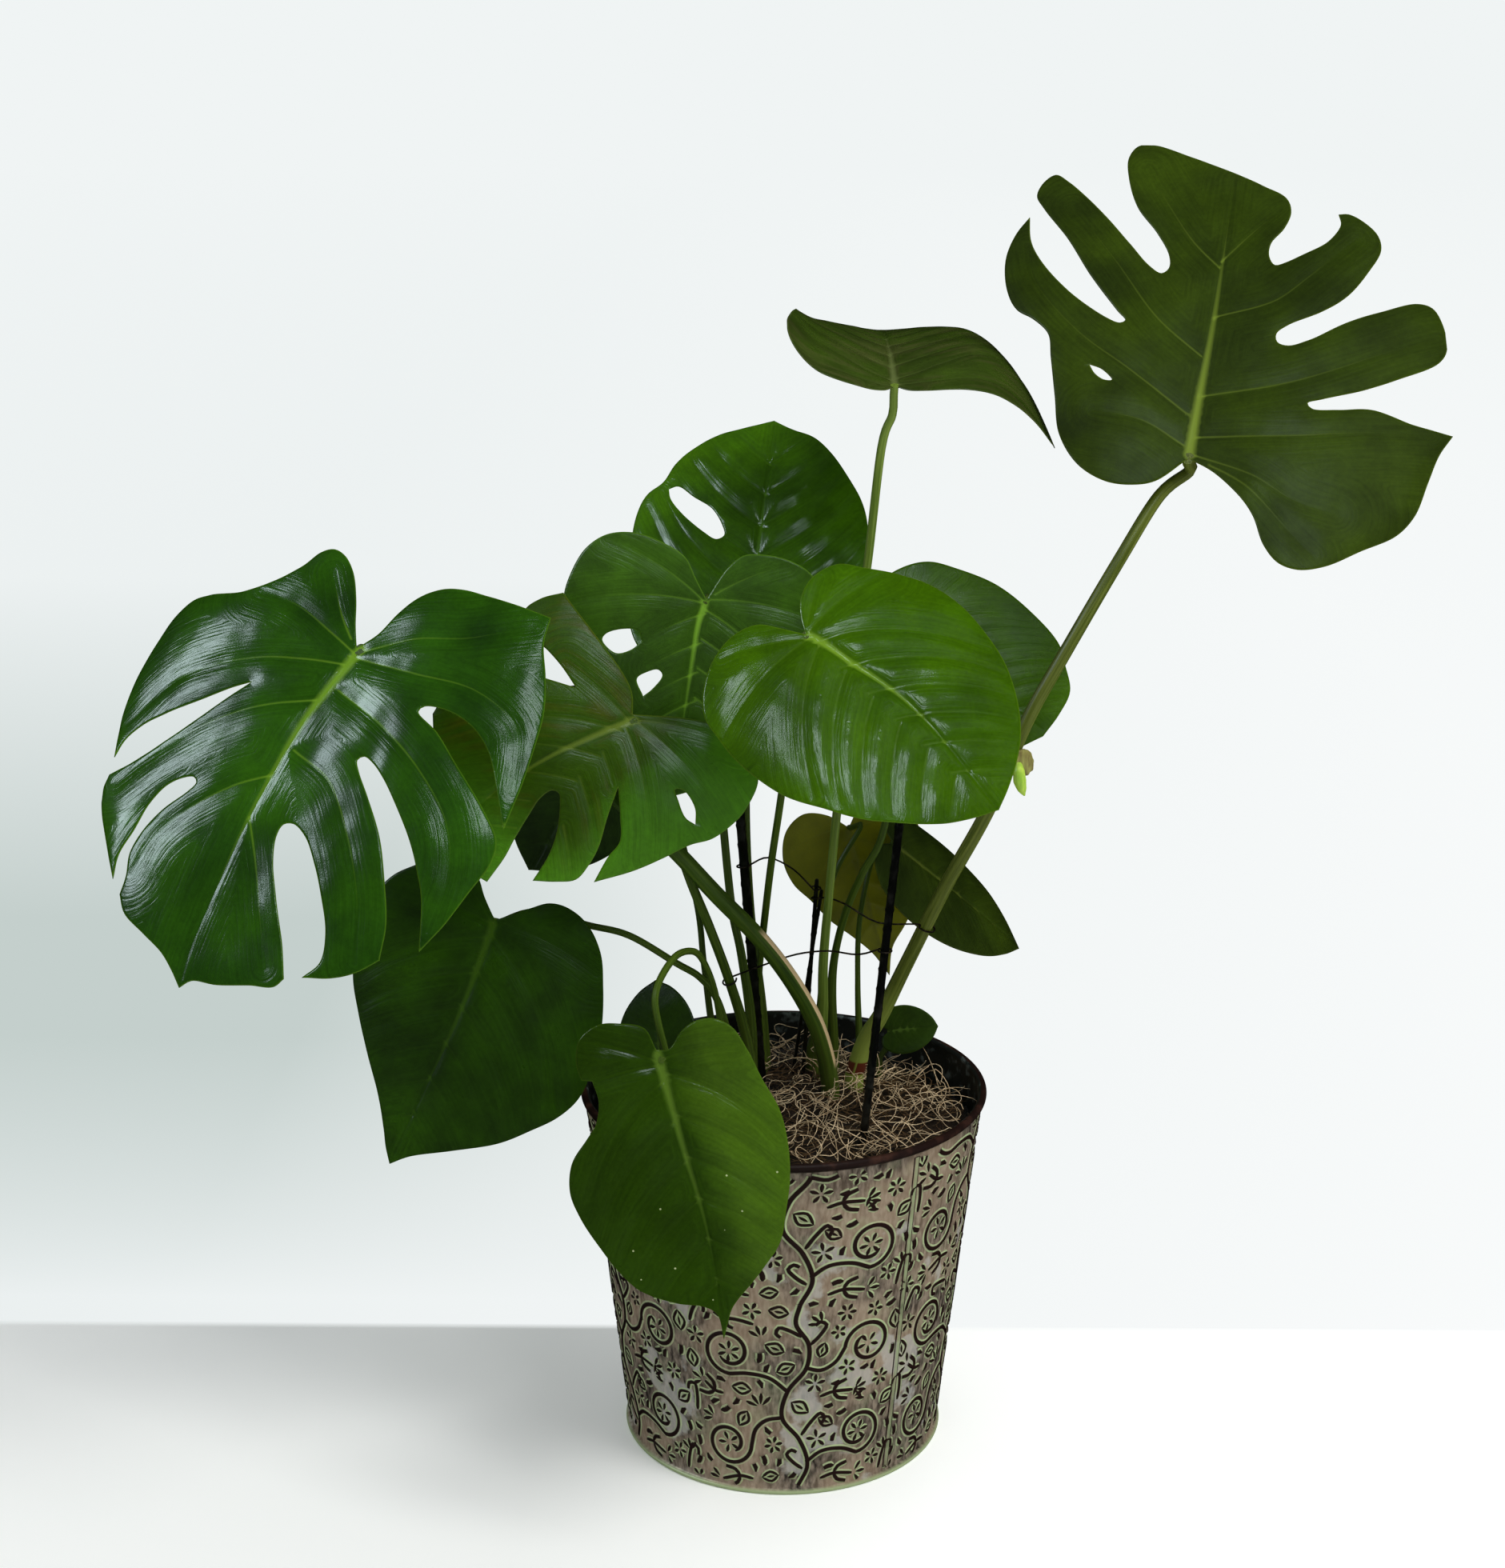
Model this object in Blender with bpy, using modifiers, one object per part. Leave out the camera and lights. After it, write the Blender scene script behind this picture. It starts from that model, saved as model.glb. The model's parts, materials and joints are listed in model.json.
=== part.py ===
"""A potted monstera: fifteen leaves on long stems, held by stakes and wire ties in a pressed metal pot.

Metres, +Z up. The origin is the middle of the pot's base, and the front of the plant faces -Y.
"""

import math

import bmesh
import bpy
from mathutils import Euler, Matrix, Vector, geometry

CM = 0.01
MM = 0.001

# Pot: a rolled sheet cone with a lock seam, a beaded rim and a beaded foot
POT_HEIGHT = 0.2366
POT_RIM_RADIUS = 0.130
POT_FOOT_RADIUS = 0.104
POT_SHEET = 1.4 * MM
RIM_BEAD_RADIUS = 2.6 * MM
FOOT_BEAD_RADIUS = 1.5 * MM
POT_SIDES = 48
SEAM_ANGLE = math.radians(-50)
SEAM_WIDTH = 4.5 * MM
SEAM_PROUD = 0.8 * MM
SEAM_LOW = 6 * MM
SEAM_HIGH = POT_HEIGHT - 8.5 * MM
SEAM_TOP_WIDTH = 0.7
SEAM_ROOT = 0.4 * POT_SHEET
RIM_CURL = (190, -80)
RIM_STEPS = 8
RIM_NECK = 1.6 * RIM_BEAD_RADIUS
FOOT_CURL = (60, -90)
FOOT_STEPS = 4
FOOT_NECK = 2.4 * FOOT_BEAD_RADIUS

# Filling: soil with a layer of dry moss on it
CLEARANCE = 0.35 * MM
SOIL_TOP = 0.183
MOSS_TOP = 0.218
MOSS_RISE = 7 * MM
MOSS_DIP = 15 * MM
MOSS_LOW_SIDE = (0.6, 0.8)
MOSS_LEVEL_SHARE = 0.35
MOSS_LUMP = 1.5 * MM
MOSS_LUMP_TURNS = (70, 64)
MOSS_LUMP_START = (1.0, 0.4)
MOSS_RINGS = 5
STEM_DEPTH = 0.130
HOLE_SIDES_LEVEL = 4
HOLE_SIDES = 12

# Blades
BLADE_THICKNESS = 0.9 * MM
RIB_THICKNESS = 2.6 * MM
RIB_HALF_WIDTH = 4 * MM
JOINT_PLAIN = 6.5 * MM
RIB_START = 15 * MM
FOLD_SOFTNESS = 10 * MM
CURL_START = 45 * MM
WAVE_COUNT = 5
RIB_SHARE = 0.82
RIB_TAPER = 0.6
GRID_STEP = {"large": 21 * MM, "medium": 19 * MM, "small": 14 * MM}
ROW_HEIGHT = 0.866
RIB_MARGIN = 0.15
GRID_MARGIN = 0.5

# Stems: straight in the soil, bent above it, and square to the blade at the knee
STEM_STRAIGHT_TOP = 0.229
STEM_KNEE = 20 * MM
KNEE_MIDDLE = 0.35
STEM_TAPER = 0.35
THIN_STEM = 4.0
SPAN_STEPS = 2
TUBE_SIDES_LEVEL = 2
THIN_SIDES_LEVEL = 1

GREEN_DEEP = (0.030, 0.080, 0.012)
GREEN_OLIVE = (0.045, 0.075, 0.010)
GREEN_FRESH = (0.085, 0.190, 0.012)
GREEN_BROWN = (0.075, 0.105, 0.015)
GREEN_STEM = (0.120, 0.190, 0.030)
GREEN_BACKLIT = (0.110, 0.110, 0.012)

# Each blade's outline in centimetres: x across and y along the midrib, from the joint round by the right
# lobe to the tip and back by the left one. A None ends a smooth stretch, so the next point is a corner.
OUTLINE_UPPER_RIGHT = [
    (0, 0), (1.5, -0.8), (3.3, -2.4), (4.2, -3.6), (5.0, -5.4), (6.0, -6.5), (7.2, -6.8), (8.7, -6.4),
    (10.7, -5.1), (12.6, -3.8), (13.6, -2.3), (14.2, 0), (14.7, 1.9), None,
    (15.4, 3.4), (13.0, 3.6), (10.5, 4.1), (8.5, 3.8), (7.0, 3.7), (6.7, 4.05), (7.5, 4.4), (10, 5.4),
    (12.2, 6.7), (14.2, 8.2), (14.6, 9.3), (14.2, 11), (13.5, 12.0), (12.6, 12.1), (10.6, 11.1), (8.5, 9.9),
    (6.4, 8.4), (5.2, 7.9), (4.5, 8.1), (4.4, 8.7), (5.0, 9.3), (7.0, 10.5), (8.4, 11.8), (9.5, 13.8),
    (10.1, 15.5), (9.8, 16.6), (8.8, 17.5), (7.9, 17.9), None,
    (7.3, 17.8), (7.5, 17.0), (6.8, 15.6), (5.5, 14.6), (4.4, 13.9), (3.8, 13.7), (3.4, 14.3), (3.4, 15.3),
    (4.1, 16.5), (4.4, 17.8), (4.0, 18.9), (2.5, 19.9), (0.2, 21.2), (-2.5, 22.3), (-4.8, 23.1),
    (-5.8, 23.0), (-6.3, 22.0), (-6.1, 20.3), (-5.2, 17.8), (-3.7, 15.8), (-2.8, 14.2), (-2.7, 13.2),
    (-3.1, 12.8), (-3.9, 13.3), (-5.3, 14.9), (-7.5, 17.5), (-9.9, 20.0), (-10.9, 20.7), (-11.6, 20.1),
    (-11.9, 19.0), (-11.3, 17.9), (-9.3, 15.2), (-7.5, 12.4), (-5.5, 9.8), (-4.9, 9.1), (-5.2, 8.9),
    (-6, 9.2), (-8.5, 11), (-10.6, 13.3), (-11.7, 15.2), None,
    (-12.1, 17.2), (-12.8, 15.9), (-13.2, 14), (-12.8, 11.6), (-11.9, 9.9), (-10.7, 9.1), (-9.6, 8.0),
    (-9.2, 6.3), (-8.6, 3.6), (-8.0, 1), (-6.6, -1.0), (-4.8, -2), (-3.2, -2.1), (-1.8, -1.7), None,
]
HOLES_UPPER_RIGHT = [[(-6.7, 5.8), (-5.9, 5.5), (-5.2, 4.8), (-5.7, 4.8), (-6.3, 5.2)]]

OUTLINE_LEFT = [
    (0.3, 0), (1.0, -1.3), (1.8, -2.9), (2.8, -4.4), (3.8, -5.2), (4.6, -5.35), (5.3, -4.9), (6.0, -3.7),
    (7.3, -2.3), (9, -1.1), (11, -0.5), (12.1, 0.1), (12.7, 1.2), (13.1, 3.3), (13.3, 5.5), (13.1, 7.8),
    (12.6, 9.3), None,
    (12.1, 10.6), (11.9, 9.4), (11.2, 8.4), (9.8, 7.3), (7.8, 5.9), (6.3, 4.7), None,
    (5.3, 4.0), (6.2, 5.3), (7.5, 7.1), (9.3, 9.3), (10.6, 10.7), None,
    (11.8, 11.7), (11.7, 12.7), (11.0, 14.0), (9.7, 15.6), None,
    (8.2, 17.4), (8.5, 16.0), (8.2, 14.4), (8.0, 12.7), (7.4, 11.4), (6.6, 10.7), (5.9, 10.45), (5.6, 10.7),
    (5.9, 11.4), (6.9, 12.7), (7.6, 14.3), (7.8, 15.7), (7.4, 17.0), None,
    (7.3, 18.1), (6.5, 19.0), (4.8, 19.7), (3.3, 20.3), (2.3, 21.0), None,
    (1.5, 21.7), (1.0, 21.1), (-0.5, 20.8), (-2.5, 20.2), (-4.0, 19.8), None,
    (-4.4, 19.2), (-3.5, 17.5), (-2.0, 15.2), (-0.9, 13.4), (-0.4, 12), (-0.5, 11.2), (-1.1, 11.0),
    (-2.2, 11.5), (-3.5, 12.8), (-4.8, 14.5), (-5.8, 16.2), (-6.1, 17.7), None,
    (-5.4, 18.8), (-7.0, 18.3), (-8.3, 17.5), None,
    (-9.3, 16.4), (-8.9, 14.5), (-7.9, 12.4), (-6.5, 10.1), (-4.8, 8.2), (-3.6, 7.0), (-3.2, 6.4),
    (-3.5, 6.1), (-4.2, 6.3), (-5.3, 7.0), (-6.8, 8.3), (-8.3, 9.8), (-9.3, 11.1), (-10.2, 12.5), None,
    (-11.2, 15.2), (-11.9, 13.4), (-12.5, 11.0), (-12.9, 9.2), (-12.7, 7.9), (-11.4, 6.6), (-8.8, 4.7),
    (-7.0, 3.4), (-5.4, 2.6), (-5.6, 2.2), (-7.2, 2.0), (-8.8, 2.4), (-10.2, 3.4), (-11.4, 5.0), None,
    (-12.8, 7.2), (-12.7, 4.5), (-12.4, 2.2), (-12.0, 0), (-11.2, -2.0), (-10.3, -3.8), None,
    (-10.0, -5.4), (-8.0, -5.4), (-6.0, -5.35), (-4.4, -5.3), (-3, -4.9), (-2, -4.1), (-1.2, -2.8),
    (-0.6, -1.2), None,
]

OUTLINE_TOP = [
    (0, 0), (1, -0.9), (3, -1.4), (5.5, -1.6), (7.8, -0.6), (9.8, 1.6), None,
    (10.8, 4.4), (10.3, 7.4), (8.7, 9.7), (6.9, 10.8), (4.9, 11.5), (2.2, 13.0), None,
    (0, 14.6), (-1.8, 12.8), (-3.4, 10.8), (-4.8, 9.5), None,
    (-5.9, 8.5), (-6.3, 5.6), (-6.6, 2.6), (-6.3, 0), (-4.4, -1.6), (-2, -1.5), (-0.6, -0.8), None,
]
OUTLINE_BACK = [
    (0, 0), (0.8, -1.5), (2.5, -2.6), (4.5, -1.8), (6.0, 1), (6.8, 4), (7.0, 6.5), (6.8, 8.5), (6.3, 10),
    (5.4, 11.5), (4, 13.4), (2.6, 14.7), (1.2, 15.3), None,
    (-0.3, 16.1), (-2.2, 15.5), (-3.8, 14.9), (-5.5, 13.7), (-6.6, 12.5), (-7.3, 11.1), (-8.3, 10.2),
    (-8.8, 8.8), (-8.9, 6), (-8.8, 2.5), (-7.8, -0.5), (-5.6, -2.5), (-3, -2.8), (-0.9, -1.5), None,
]
HOLES_BACK = [[
    (-6.8, 10.6), (-6.2, 10.8), (-5, 10.0), (-3.7, 9.2), (-2.8, 7.9), (-2.6, 7.2), (-3.1, 6.9), (-4, 7.4),
    (-5.6, 8.7), (-6.6, 9.9),
]]
OUTLINE_MIDDLE = [
    (0, 0), (0.8, -1.2), (1.6, -2.4), (3.0, -3.1), (4.8, -3.5), (6.5, -3.2), (7.7, -2.2), (8.4, -0.7),
    (8.7, 1.0), (8.2, 3.6), (7.0, 6.4), (5.6, 8.7), (4.0, 10.4), (2.2, 11.6), None,
    (0.9, 12.3), (-1.4, 11.3), (-4.0, 9.9), (-6.2, 8.0), (-7.4, 5.6), (-7.9, 3), (-7.6, 0.5), (-7, -1.2),
    (-6, -2.4), (-4.5, -3.0), (-3.0, -3.1), (-1.9, -2.9), (-1, -2), None,
]
HOLES_MIDDLE = [
    [(3.6, 3.0), (4.2, 3.6), (5.1, 3.9), (6.0, 3.2), (5.8, 2.8), (4.8, 2.4), (3.9, 2.4)],
    [(3.1, 6.3), (3.6, 5.3), (3.0, 4.8), (2.4, 4.6), (2.1, 4.9), (2.6, 5.8)],
]
OUTLINE_BROWN_GREEN = [
    (0.3, -0.2), (1.2, -1.1), (2.4, -1.6), (4.8, -2.1), (7.0, -2.5), None,
    (8.6, -2.8), (9.4, -1.6), (9.6, -0.4), (8.3, 0.4), (6.7, 0.45), (5.4, 0.6), None,
    (3.9, 0.95), (5.3, 1.6), (7.2, 2.5), (8.9, 4.2), (9.7, 6.2), None,
    (9.4, 7.9), (8.2, 9.0), (6.8, 10.2), (5.7, 11.4), (4.5, 12.7), None,
    (3.0, 13.8), (1.6, 13.4), None,
    (-0.1, 13.0), (0.1, 11.2), (0.4, 10), (0.7, 8.5), (0.9, 7.2), (0.7, 6.4), (0.3, 6.25), (-0.3, 6.8),
    (-1.2, 8.0), (-1.8, 9.4), None,
    (-2.1, 11.1), (-3.2, 10.2), (-4.0, 9.3), (-4.0, 8.2), (-3.7, 7.0), (-2.9, 5.4), None,
    (-2.1, 3.6), (-3.3, 4.7), (-4.4, 5.9), (-4.5, 7.0), None,
    (-4.9, 8.7), (-6.2, 6.6), (-7.0, 4.8), (-7.6, 3.2), (-8.3, 2), (-8.6, 0.2), (-8.5, -0.8), (-7.9, -2.4),
    (-6.4, -3.3), (-4.2, -3.2), (-2.1, -2.1), None,
]
HOLES_BROWN_GREEN = [[(-7.0, 2.1), (-6.3, 2.2), (-5.2, 1.7), (-4.7, 1.4), (-5.1, 1.1), (-6.3, 1.4)]]
OUTLINE_BRIGHT = [
    (0, 0), (0.8, -1.4), (1.5, -2.4), (2.9, -2.9), (5, -2.6), (6.7, -1.7), (7.8, -0.5), (8.2, 1.1),
    (8.4, 2.6), (8.3, 4.5), (7.9, 6.3), (7.1, 8), (6, 10.1), (4.6, 11.8), (2.7, 13.6), (1, 14.6), None,
    (-0.4, 15.2), (-1.7, 14.7), (-3.1, 14), (-4.6, 13), (-6, 11.5), (-7.3, 9.3), (-8, 6.8), (-8.2, 4.7),
    (-7.9, 2.6), (-7, 0.9), (-5.8, -0.7), (-4.8, -2), (-3.1, -2.4), (-1.5, -1.9), (-0.6, -1), None,
]
OUTLINE_BEHIND_BRIGHT = [
    (0, 0), (1, -2.6), (2.5, -3.6), (4, -3), (5.5, -1), (6.3, 1.5), (6, 4.5), (4.5, 7.5), (2.5, 9.6), None,
    (0.3, 10.8), (-1.5, 10.8), (-3.1, 10.5), (-4.3, 9.3), (-5.2, 8.2), (-5.9, 5.3), (-6, 2.8), (-5.4, 0.3),
    (-4.7, -1.4), (-3.4, -2.5), (-1.8, -3.0), (-0.6, -2.2), None,
]
OUTLINE_LOWER_LEFT = [
    (0, 0), (1.2, -1.1), (2.0, -2.0), (3.2, -2.6), (4.6, -2.3), (6, -1.1), (7, 0), (7.6, 1.6), (7.6, 4),
    (6.8, 6.6), (5.5, 8.6), (3.9, 10.7), (2.4, 12.6), (1.2, 14.5), (0.7, 15.4), None,
    (0.05, 16.3), (-0.9, 15.4), (-3.2, 14), (-5.7, 12.4), (-7.2, 10.9), (-8.4, 9.5), (-9.1, 8), (-9.2, 6.3),
    (-9, 4.5), (-8.5, 2.8), (-7.8, 1.1), (-6.8, -0.8), (-5.3, -2.1), (-3.8, -2.5), (-2.7, -2.3),
    (-1.8, -1.6), (-0.7, -0.6), None,
]
OUTLINE_OVER_POT = [
    (0.2, -0.6), (0.6, -2), (1.9, -2.6), (3.1, -2.8), (4.4, -2.2), (4.9, -0.9), None,
    (4.8, 0.1), None,
    (4.2, 0.3), (4.1, 1.5), (4.6, 2.8), (5.3, 3.5), (6.5, 4.7), (7, 6.3), (6.8, 7.8), (6.1, 9.7),
    (5.4, 11.3), (4.4, 12.8), (2.5, 14), (1, 14.6), (0.4, 15.2), None,
    (0.4, 16.8), (-0.1, 15.8), (-0.5, 15.1), (-1, 14.6), (-1.9, 13.9), (-3.1, 12.9), (-4.2, 11.8), (-5, 10),
    (-5.6, 8.4), (-6, 6.3), (-6, 4.3), (-5.4, 2.2), (-5, 0.5), (-4.4, -1), (-3.5, -1.7), (-2.5, -1.8),
    (-1.5, -1.4), (-0.5, -0.5), None,
]
OUTLINE_BACKLIT = [
    (0, 0), (1, -1.0), (2.5, -1.6), (4.2, -0.8), (5.0, 1), (5.0, 3.2), (4.0, 5.5), (2.2, 7.4), (0.8, 8.6),
    None,
    (0, 10.3), (-0.7, 8.6), (-1.7, 7.2), (-3.0, 5.6), (-3.9, 4.0), (-4.8, 2.6), (-5.1, 0.9), (-4.4, -0.9),
    (-2.9, -1.7), (-1.3, -1.2), None,
]
OUTLINE_DARK_RIGHT = [
    (0, 0), (1, -1), (2.6, -1.2), (4, -0.2), (4.7, 1.8), (4.8, 4.3), (4.3, 6.9), (3.2, 9.3), (1.8, 10.9),
    None,
    (0.2, 12.2), (-1.5, 10.9), (-3.2, 9.3), (-4.3, 7.0), (-4.7, 4.2), (-4.2, 1.4), (-3, -0.6), (-1.2, -1),
    None,
]
OUTLINE_SMALL = [
    (0, 0), (0.6, -0.8), (1.6, -0.9), (2.4, 0.2), (2.6, 1.8), (2.1, 3.4), (1.1, 4.6), None,
    (0, 5.2), (-1.1, 4.6), (-2.1, 3.4), (-2.6, 1.8), (-2.4, 0.2), (-1.6, -0.9), (-0.6, -0.8), None,
]
OUTLINE_SHADED = [
    (0, 0), (1, -1.4), (2.5, -1.7), (4.1, -0.6), (5.0, 1.6), (4.7, 4.6), (3.5, 7.3), (1.8, 9.2), None,
    (0.2, 10.4), (-2.0, 9.2), (-3.8, 7.2), (-4.9, 4.4), (-5.0, 1.6), (-4.3, -0.8), (-2.6, -1.9), (-1, -1.4),
    None,
]

# Leaves: the joint is where the stem meets the blade. Heading and rise turn the midrib, in degrees, and roll
# turns the blade about it. Bend is the fold along the midrib, the fall of the left and right halves, the
# droop of the tip, and the height of the edge waves in metres. Curl bends the outer part of each half
# further. Foot is where the stem enters the moss, via its route above, and thick its radius low, on the way
# and at the top, in millimetres.
LEAVES = {
    "upper_right": dict(
        joint=(0.244, 0.020, 0.636), heading=74, rise=57, roll=3, length=0.21,
        bend=(0.20, 2.0, 2.0, 0.12, 0.002),
        outline=OUTLINE_UPPER_RIGHT, holes=HOLES_UPPER_RIGHT, size="large", colour=GREEN_OLIVE,
        foot=(0.047, 0.034), thick=(6.8, 4.9, 3.8),
        via=[
            (0.054, 0.028, 0.255), (0.064, 0.020, 0.277), (0.078, 0.012, 0.312), (0.102, 0.000, 0.370),
            (0.127, -0.008, 0.423), (0.149, -0.010, 0.480), (0.170, -0.005, 0.519), (0.204, 0.012, 0.575),
            (0.229, 0.030, 0.611),
        ],
    ),
    "top": dict(
        joint=(0.066, 0.030, 0.679), heading=91, rise=17, roll=2, length=0.15,
        bend=(0.36, 0.5, 3.8, 0.18, 0.001),
        curl=(-22, 12),
        outline=OUTLINE_TOP, holes=[], size="medium", colour=GREEN_OLIVE,
        foot=(0.024, 0.052), thick=(4.6, 3.2, 2.8),
        via=[
            (0.026, 0.050, 0.267), (0.026, 0.048, 0.301), (0.029, 0.046, 0.344), (0.034, 0.048, 0.404),
            (0.045, 0.055, 0.514), (0.052, 0.052, 0.567), (0.059, 0.040, 0.639),
        ],
    ),
    "back": dict(
        joint=(-0.021, 0.100, 0.505), heading=81, rise=61, roll=-1, length=0.16,
        bend=(0.15, 2.0, 2.0, 0.15, 0.002),
        outline=OUTLINE_BACK, holes=HOLES_BACK, size="medium", colour=GREEN_DEEP,
        foot=(-0.012, 0.068), thick=(4.2, 3.0, 2.6),
        via=[
            (-0.015, 0.068, 0.270), (-0.022, 0.071, 0.330), (-0.025, 0.076, 0.400), (-0.023, 0.095, 0.460),
        ],
    ),
    "middle": dict(
        joint=(-0.048, 0.000, 0.552), heading=-116, rise=-74, roll=-23, length=0.123,
        bend=(0.20, 2.0, 2.0, 0.05, 0.002),
        outline=OUTLINE_MIDDLE, holes=HOLES_MIDDLE, size="medium", colour=GREEN_DEEP,
        foot=(-0.020, 0.022), thick=(4.4, 2.9, 2.6),
        via=[
            (-0.021, 0.018, 0.273), (-0.027, 0.012, 0.319), (-0.033, 0.012, 0.350), (-0.038, 0.015, 0.400),
            (-0.044, 0.020, 0.472), (-0.046, 0.023, 0.518),
        ],
    ),
    "left": dict(
        joint=(-0.245, -0.090, 0.541), heading=-126, rise=-48, roll=-16, length=0.22,
        bend=(0.20, 2.0, 2.0, 0.12, 0.002),
        outline=OUTLINE_LEFT, holes=[], size="large", colour=GREEN_DEEP,
        foot=(0.031, 0.012), thick=(6.6, 5.6, 3.9),
        via=[
            (0.027, 0.005, 0.254), (0.019, -0.004, 0.282), (0.003, -0.016, 0.315), (-0.017, -0.028, 0.346),
            (-0.041, -0.046, 0.378), (-0.066, -0.060, 0.411), (-0.090, -0.052, 0.430),
            (-0.117, -0.036, 0.448), (-0.184, -0.012, 0.482), (-0.220, -0.038, 0.509),
        ],
    ),
    "brown_green": dict(
        joint=(-0.090, -0.050, 0.489), heading=-156, rise=-42, roll=-55, length=0.15,
        bend=(0.15, 2.0, 2.0, 0.10, 0.002),
        outline=OUTLINE_BROWN_GREEN, holes=HOLES_BROWN_GREEN, size="medium", colour=GREEN_BROWN,
        foot=(-0.018, 0.003), thick=(4.5, 3.4, 2.7),
        via=[
            (-0.024, 0.001, 0.268), (-0.034, -0.011, 0.309), (-0.046, -0.026, 0.350),
            (-0.058, -0.039, 0.387), (-0.074, -0.040, 0.437),
        ],
    ),
    "bright": dict(
        joint=(0.012, -0.070, 0.546), heading=-32, rise=-33, roll=39, length=0.16,
        bend=(0.10, 2.0, 2.0, 0.10, 0.001),
        outline=OUTLINE_BRIGHT, holes=[], size="medium", colour=GREEN_FRESH,
        foot=(-0.014, 0.050), thick=(4.2, 2.6, 2.4),
        via=[
            (-0.016, 0.047, 0.262), (-0.0165, 0.043, 0.292), (-0.0125, 0.031, 0.335),
            (-0.008, 0.006, 0.382), (-0.003, -0.020, 0.425), (0.003, -0.041, 0.475), (0.009, -0.048, 0.512),
        ],
    ),
    "behind_bright": dict(
        joint=(0.074, 0.030, 0.526), heading=-19, rise=-31, roll=54, length=0.12,
        bend=(0.10, 2.0, 2.0, 0.05, 0.001),
        outline=OUTLINE_BEHIND_BRIGHT, holes=[], size="medium", colour=GREEN_FRESH,
        foot=(0.034, 0.064), thick=(4.0, 2.7, 2.4),
        via=[
            (0.032, 0.062, 0.274), (0.034, 0.061, 0.303), (0.041, 0.055, 0.335), (0.051, 0.047, 0.363),
            (0.064, 0.043, 0.394), (0.073, 0.052, 0.465),
        ],
    ),
    "lower_left": dict(
        joint=(-0.178, -0.040, 0.359), heading=-142, rise=-60, roll=-44, length=0.16,
        bend=(0.15, 2.0, 2.0, 0.05, 0.001),
        outline=OUTLINE_LOWER_LEFT, holes=[], size="medium", colour=GREEN_OLIVE,
        foot=(-0.033, 0.000), thick=(3.4, 2.3, 2.0),
        via=[
            (-0.034, -0.010, 0.264), (-0.041, -0.024, 0.300), (-0.052, -0.029, 0.318),
            (-0.067, -0.030, 0.328), (-0.096, -0.030, 0.346), (-0.122, -0.025, 0.351),
            (-0.155, -0.020, 0.358),
        ],
    ),
    "over_pot": dict(
        joint=(-0.070, -0.155, 0.314), heading=-47, rise=-70, roll=45, length=0.16,
        bend=(0.20, 2.0, 2.0, 0.05, 0.001),
        outline=OUTLINE_OVER_POT, holes=[], size="medium", colour=GREEN_DEEP,
        foot=(-0.036, -0.016), thick=(3.2, 2.1, 2.2),
        via=[
            (-0.037, -0.023, 0.264), (-0.042, -0.041, 0.311), (-0.049, -0.060, 0.340),
            (-0.056, -0.078, 0.353), (-0.066, -0.105, 0.357), (-0.075, -0.132, 0.343),
        ],
    ),
    "backlit": dict(
        joint=(0.043, 0.114, 0.373), heading=-36, rise=-72, roll=-150, length=0.10,
        bend=(0.10, 1.0, 1.0, 0.05, 0.001),
        outline=OUTLINE_BACKLIT, holes=[], size="small", colour=GREEN_BACKLIT,
        foot=(0.018, 0.072), thick=(3.2, 2.0, 1.8),
        via=[(0.024, 0.072, 0.262), (0.027, 0.074, 0.320), (0.034, 0.082, 0.352)],
    ),
    "dark_right": dict(
        joint=(0.0715, 0.080, 0.3725), heading=15, rise=-39, roll=31, length=0.12,
        bend=(0.05, 4.2, 4.2, 0.05, 0.001),
        outline=OUTLINE_DARK_RIGHT, holes=[], size="small", colour=GREEN_OLIVE,
        foot=(0.051, 0.058), thick=(3.2, 2.0, 1.8),
        via=[(0.049, 0.064, 0.280), (0.050, 0.072, 0.322)],
    ),
    "small_left": dict(
        joint=(-0.078, -0.030, 0.263), heading=102, rise=60, roll=-29, length=0.05,
        bend=(0.15, 2.0, 2.0, 0.10, 0.0005),
        outline=OUTLINE_SMALL, holes=[], size="small", colour=GREEN_OLIVE,
        foot=(-0.050, 0.020), thick=(2.6, 2.0, 1.6),
        via=[(-0.062, 0.006, 0.247)],
    ),
    "small_right": dict(
        joint=(0.070, 0.056, 0.250), heading=-8, rise=10, roll=62, length=0.05, scale=0.62,
        bend=(0.15, 2.0, 2.0, 0.10, 0.0005),
        outline=OUTLINE_SMALL, holes=[], size="small", colour=GREEN_OLIVE,
        foot=(0.064, 0.060), thick=(2.6, 2.0, 1.6),
        via=[],
    ),
    "shaded": dict(
        joint=(-0.1115, 0.035, 0.461), heading=-161, rise=-59, roll=-58, length=0.104,
        bend=(0.15, 2.0, 2.0, 0.05, 0.001),
        outline=OUTLINE_SHADED, holes=[], size="small", colour=GREEN_DEEP,
        foot=(-0.040, 0.036), thick=(3.2, 2.3, 2.0),
        via=[
            (-0.047, 0.038, 0.262), (-0.052, 0.042, 0.302), (-0.058, 0.050, 0.347), (-0.081, 0.058, 0.430),
        ],
    ),
}

# Stakes: foot and head of each rod, and its radius
STAKES = {
    "stake_left": dict(foot=(-0.0077, 0.030, 0.140), head=(-0.0312, 0.030, 0.445), radius=3.6 * MM),
    "stake_front": dict(foot=(0.0420, -0.056, 0.140), head=(0.0725, -0.058, 0.465), radius=3.0 * MM),
    "stake_thin": dict(foot=(0.0085, 0.052, 0.150), head=(0.0212, 0.052, 0.357), radius=1.6 * MM),
    "stake_thin_back": dict(foot=(-0.0037, 0.060, 0.150), head=(0.0245, 0.060, 0.347), radius=1.4 * MM),
}
STAKE_COLOUR = (0.012, 0.013, 0.014)

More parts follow.
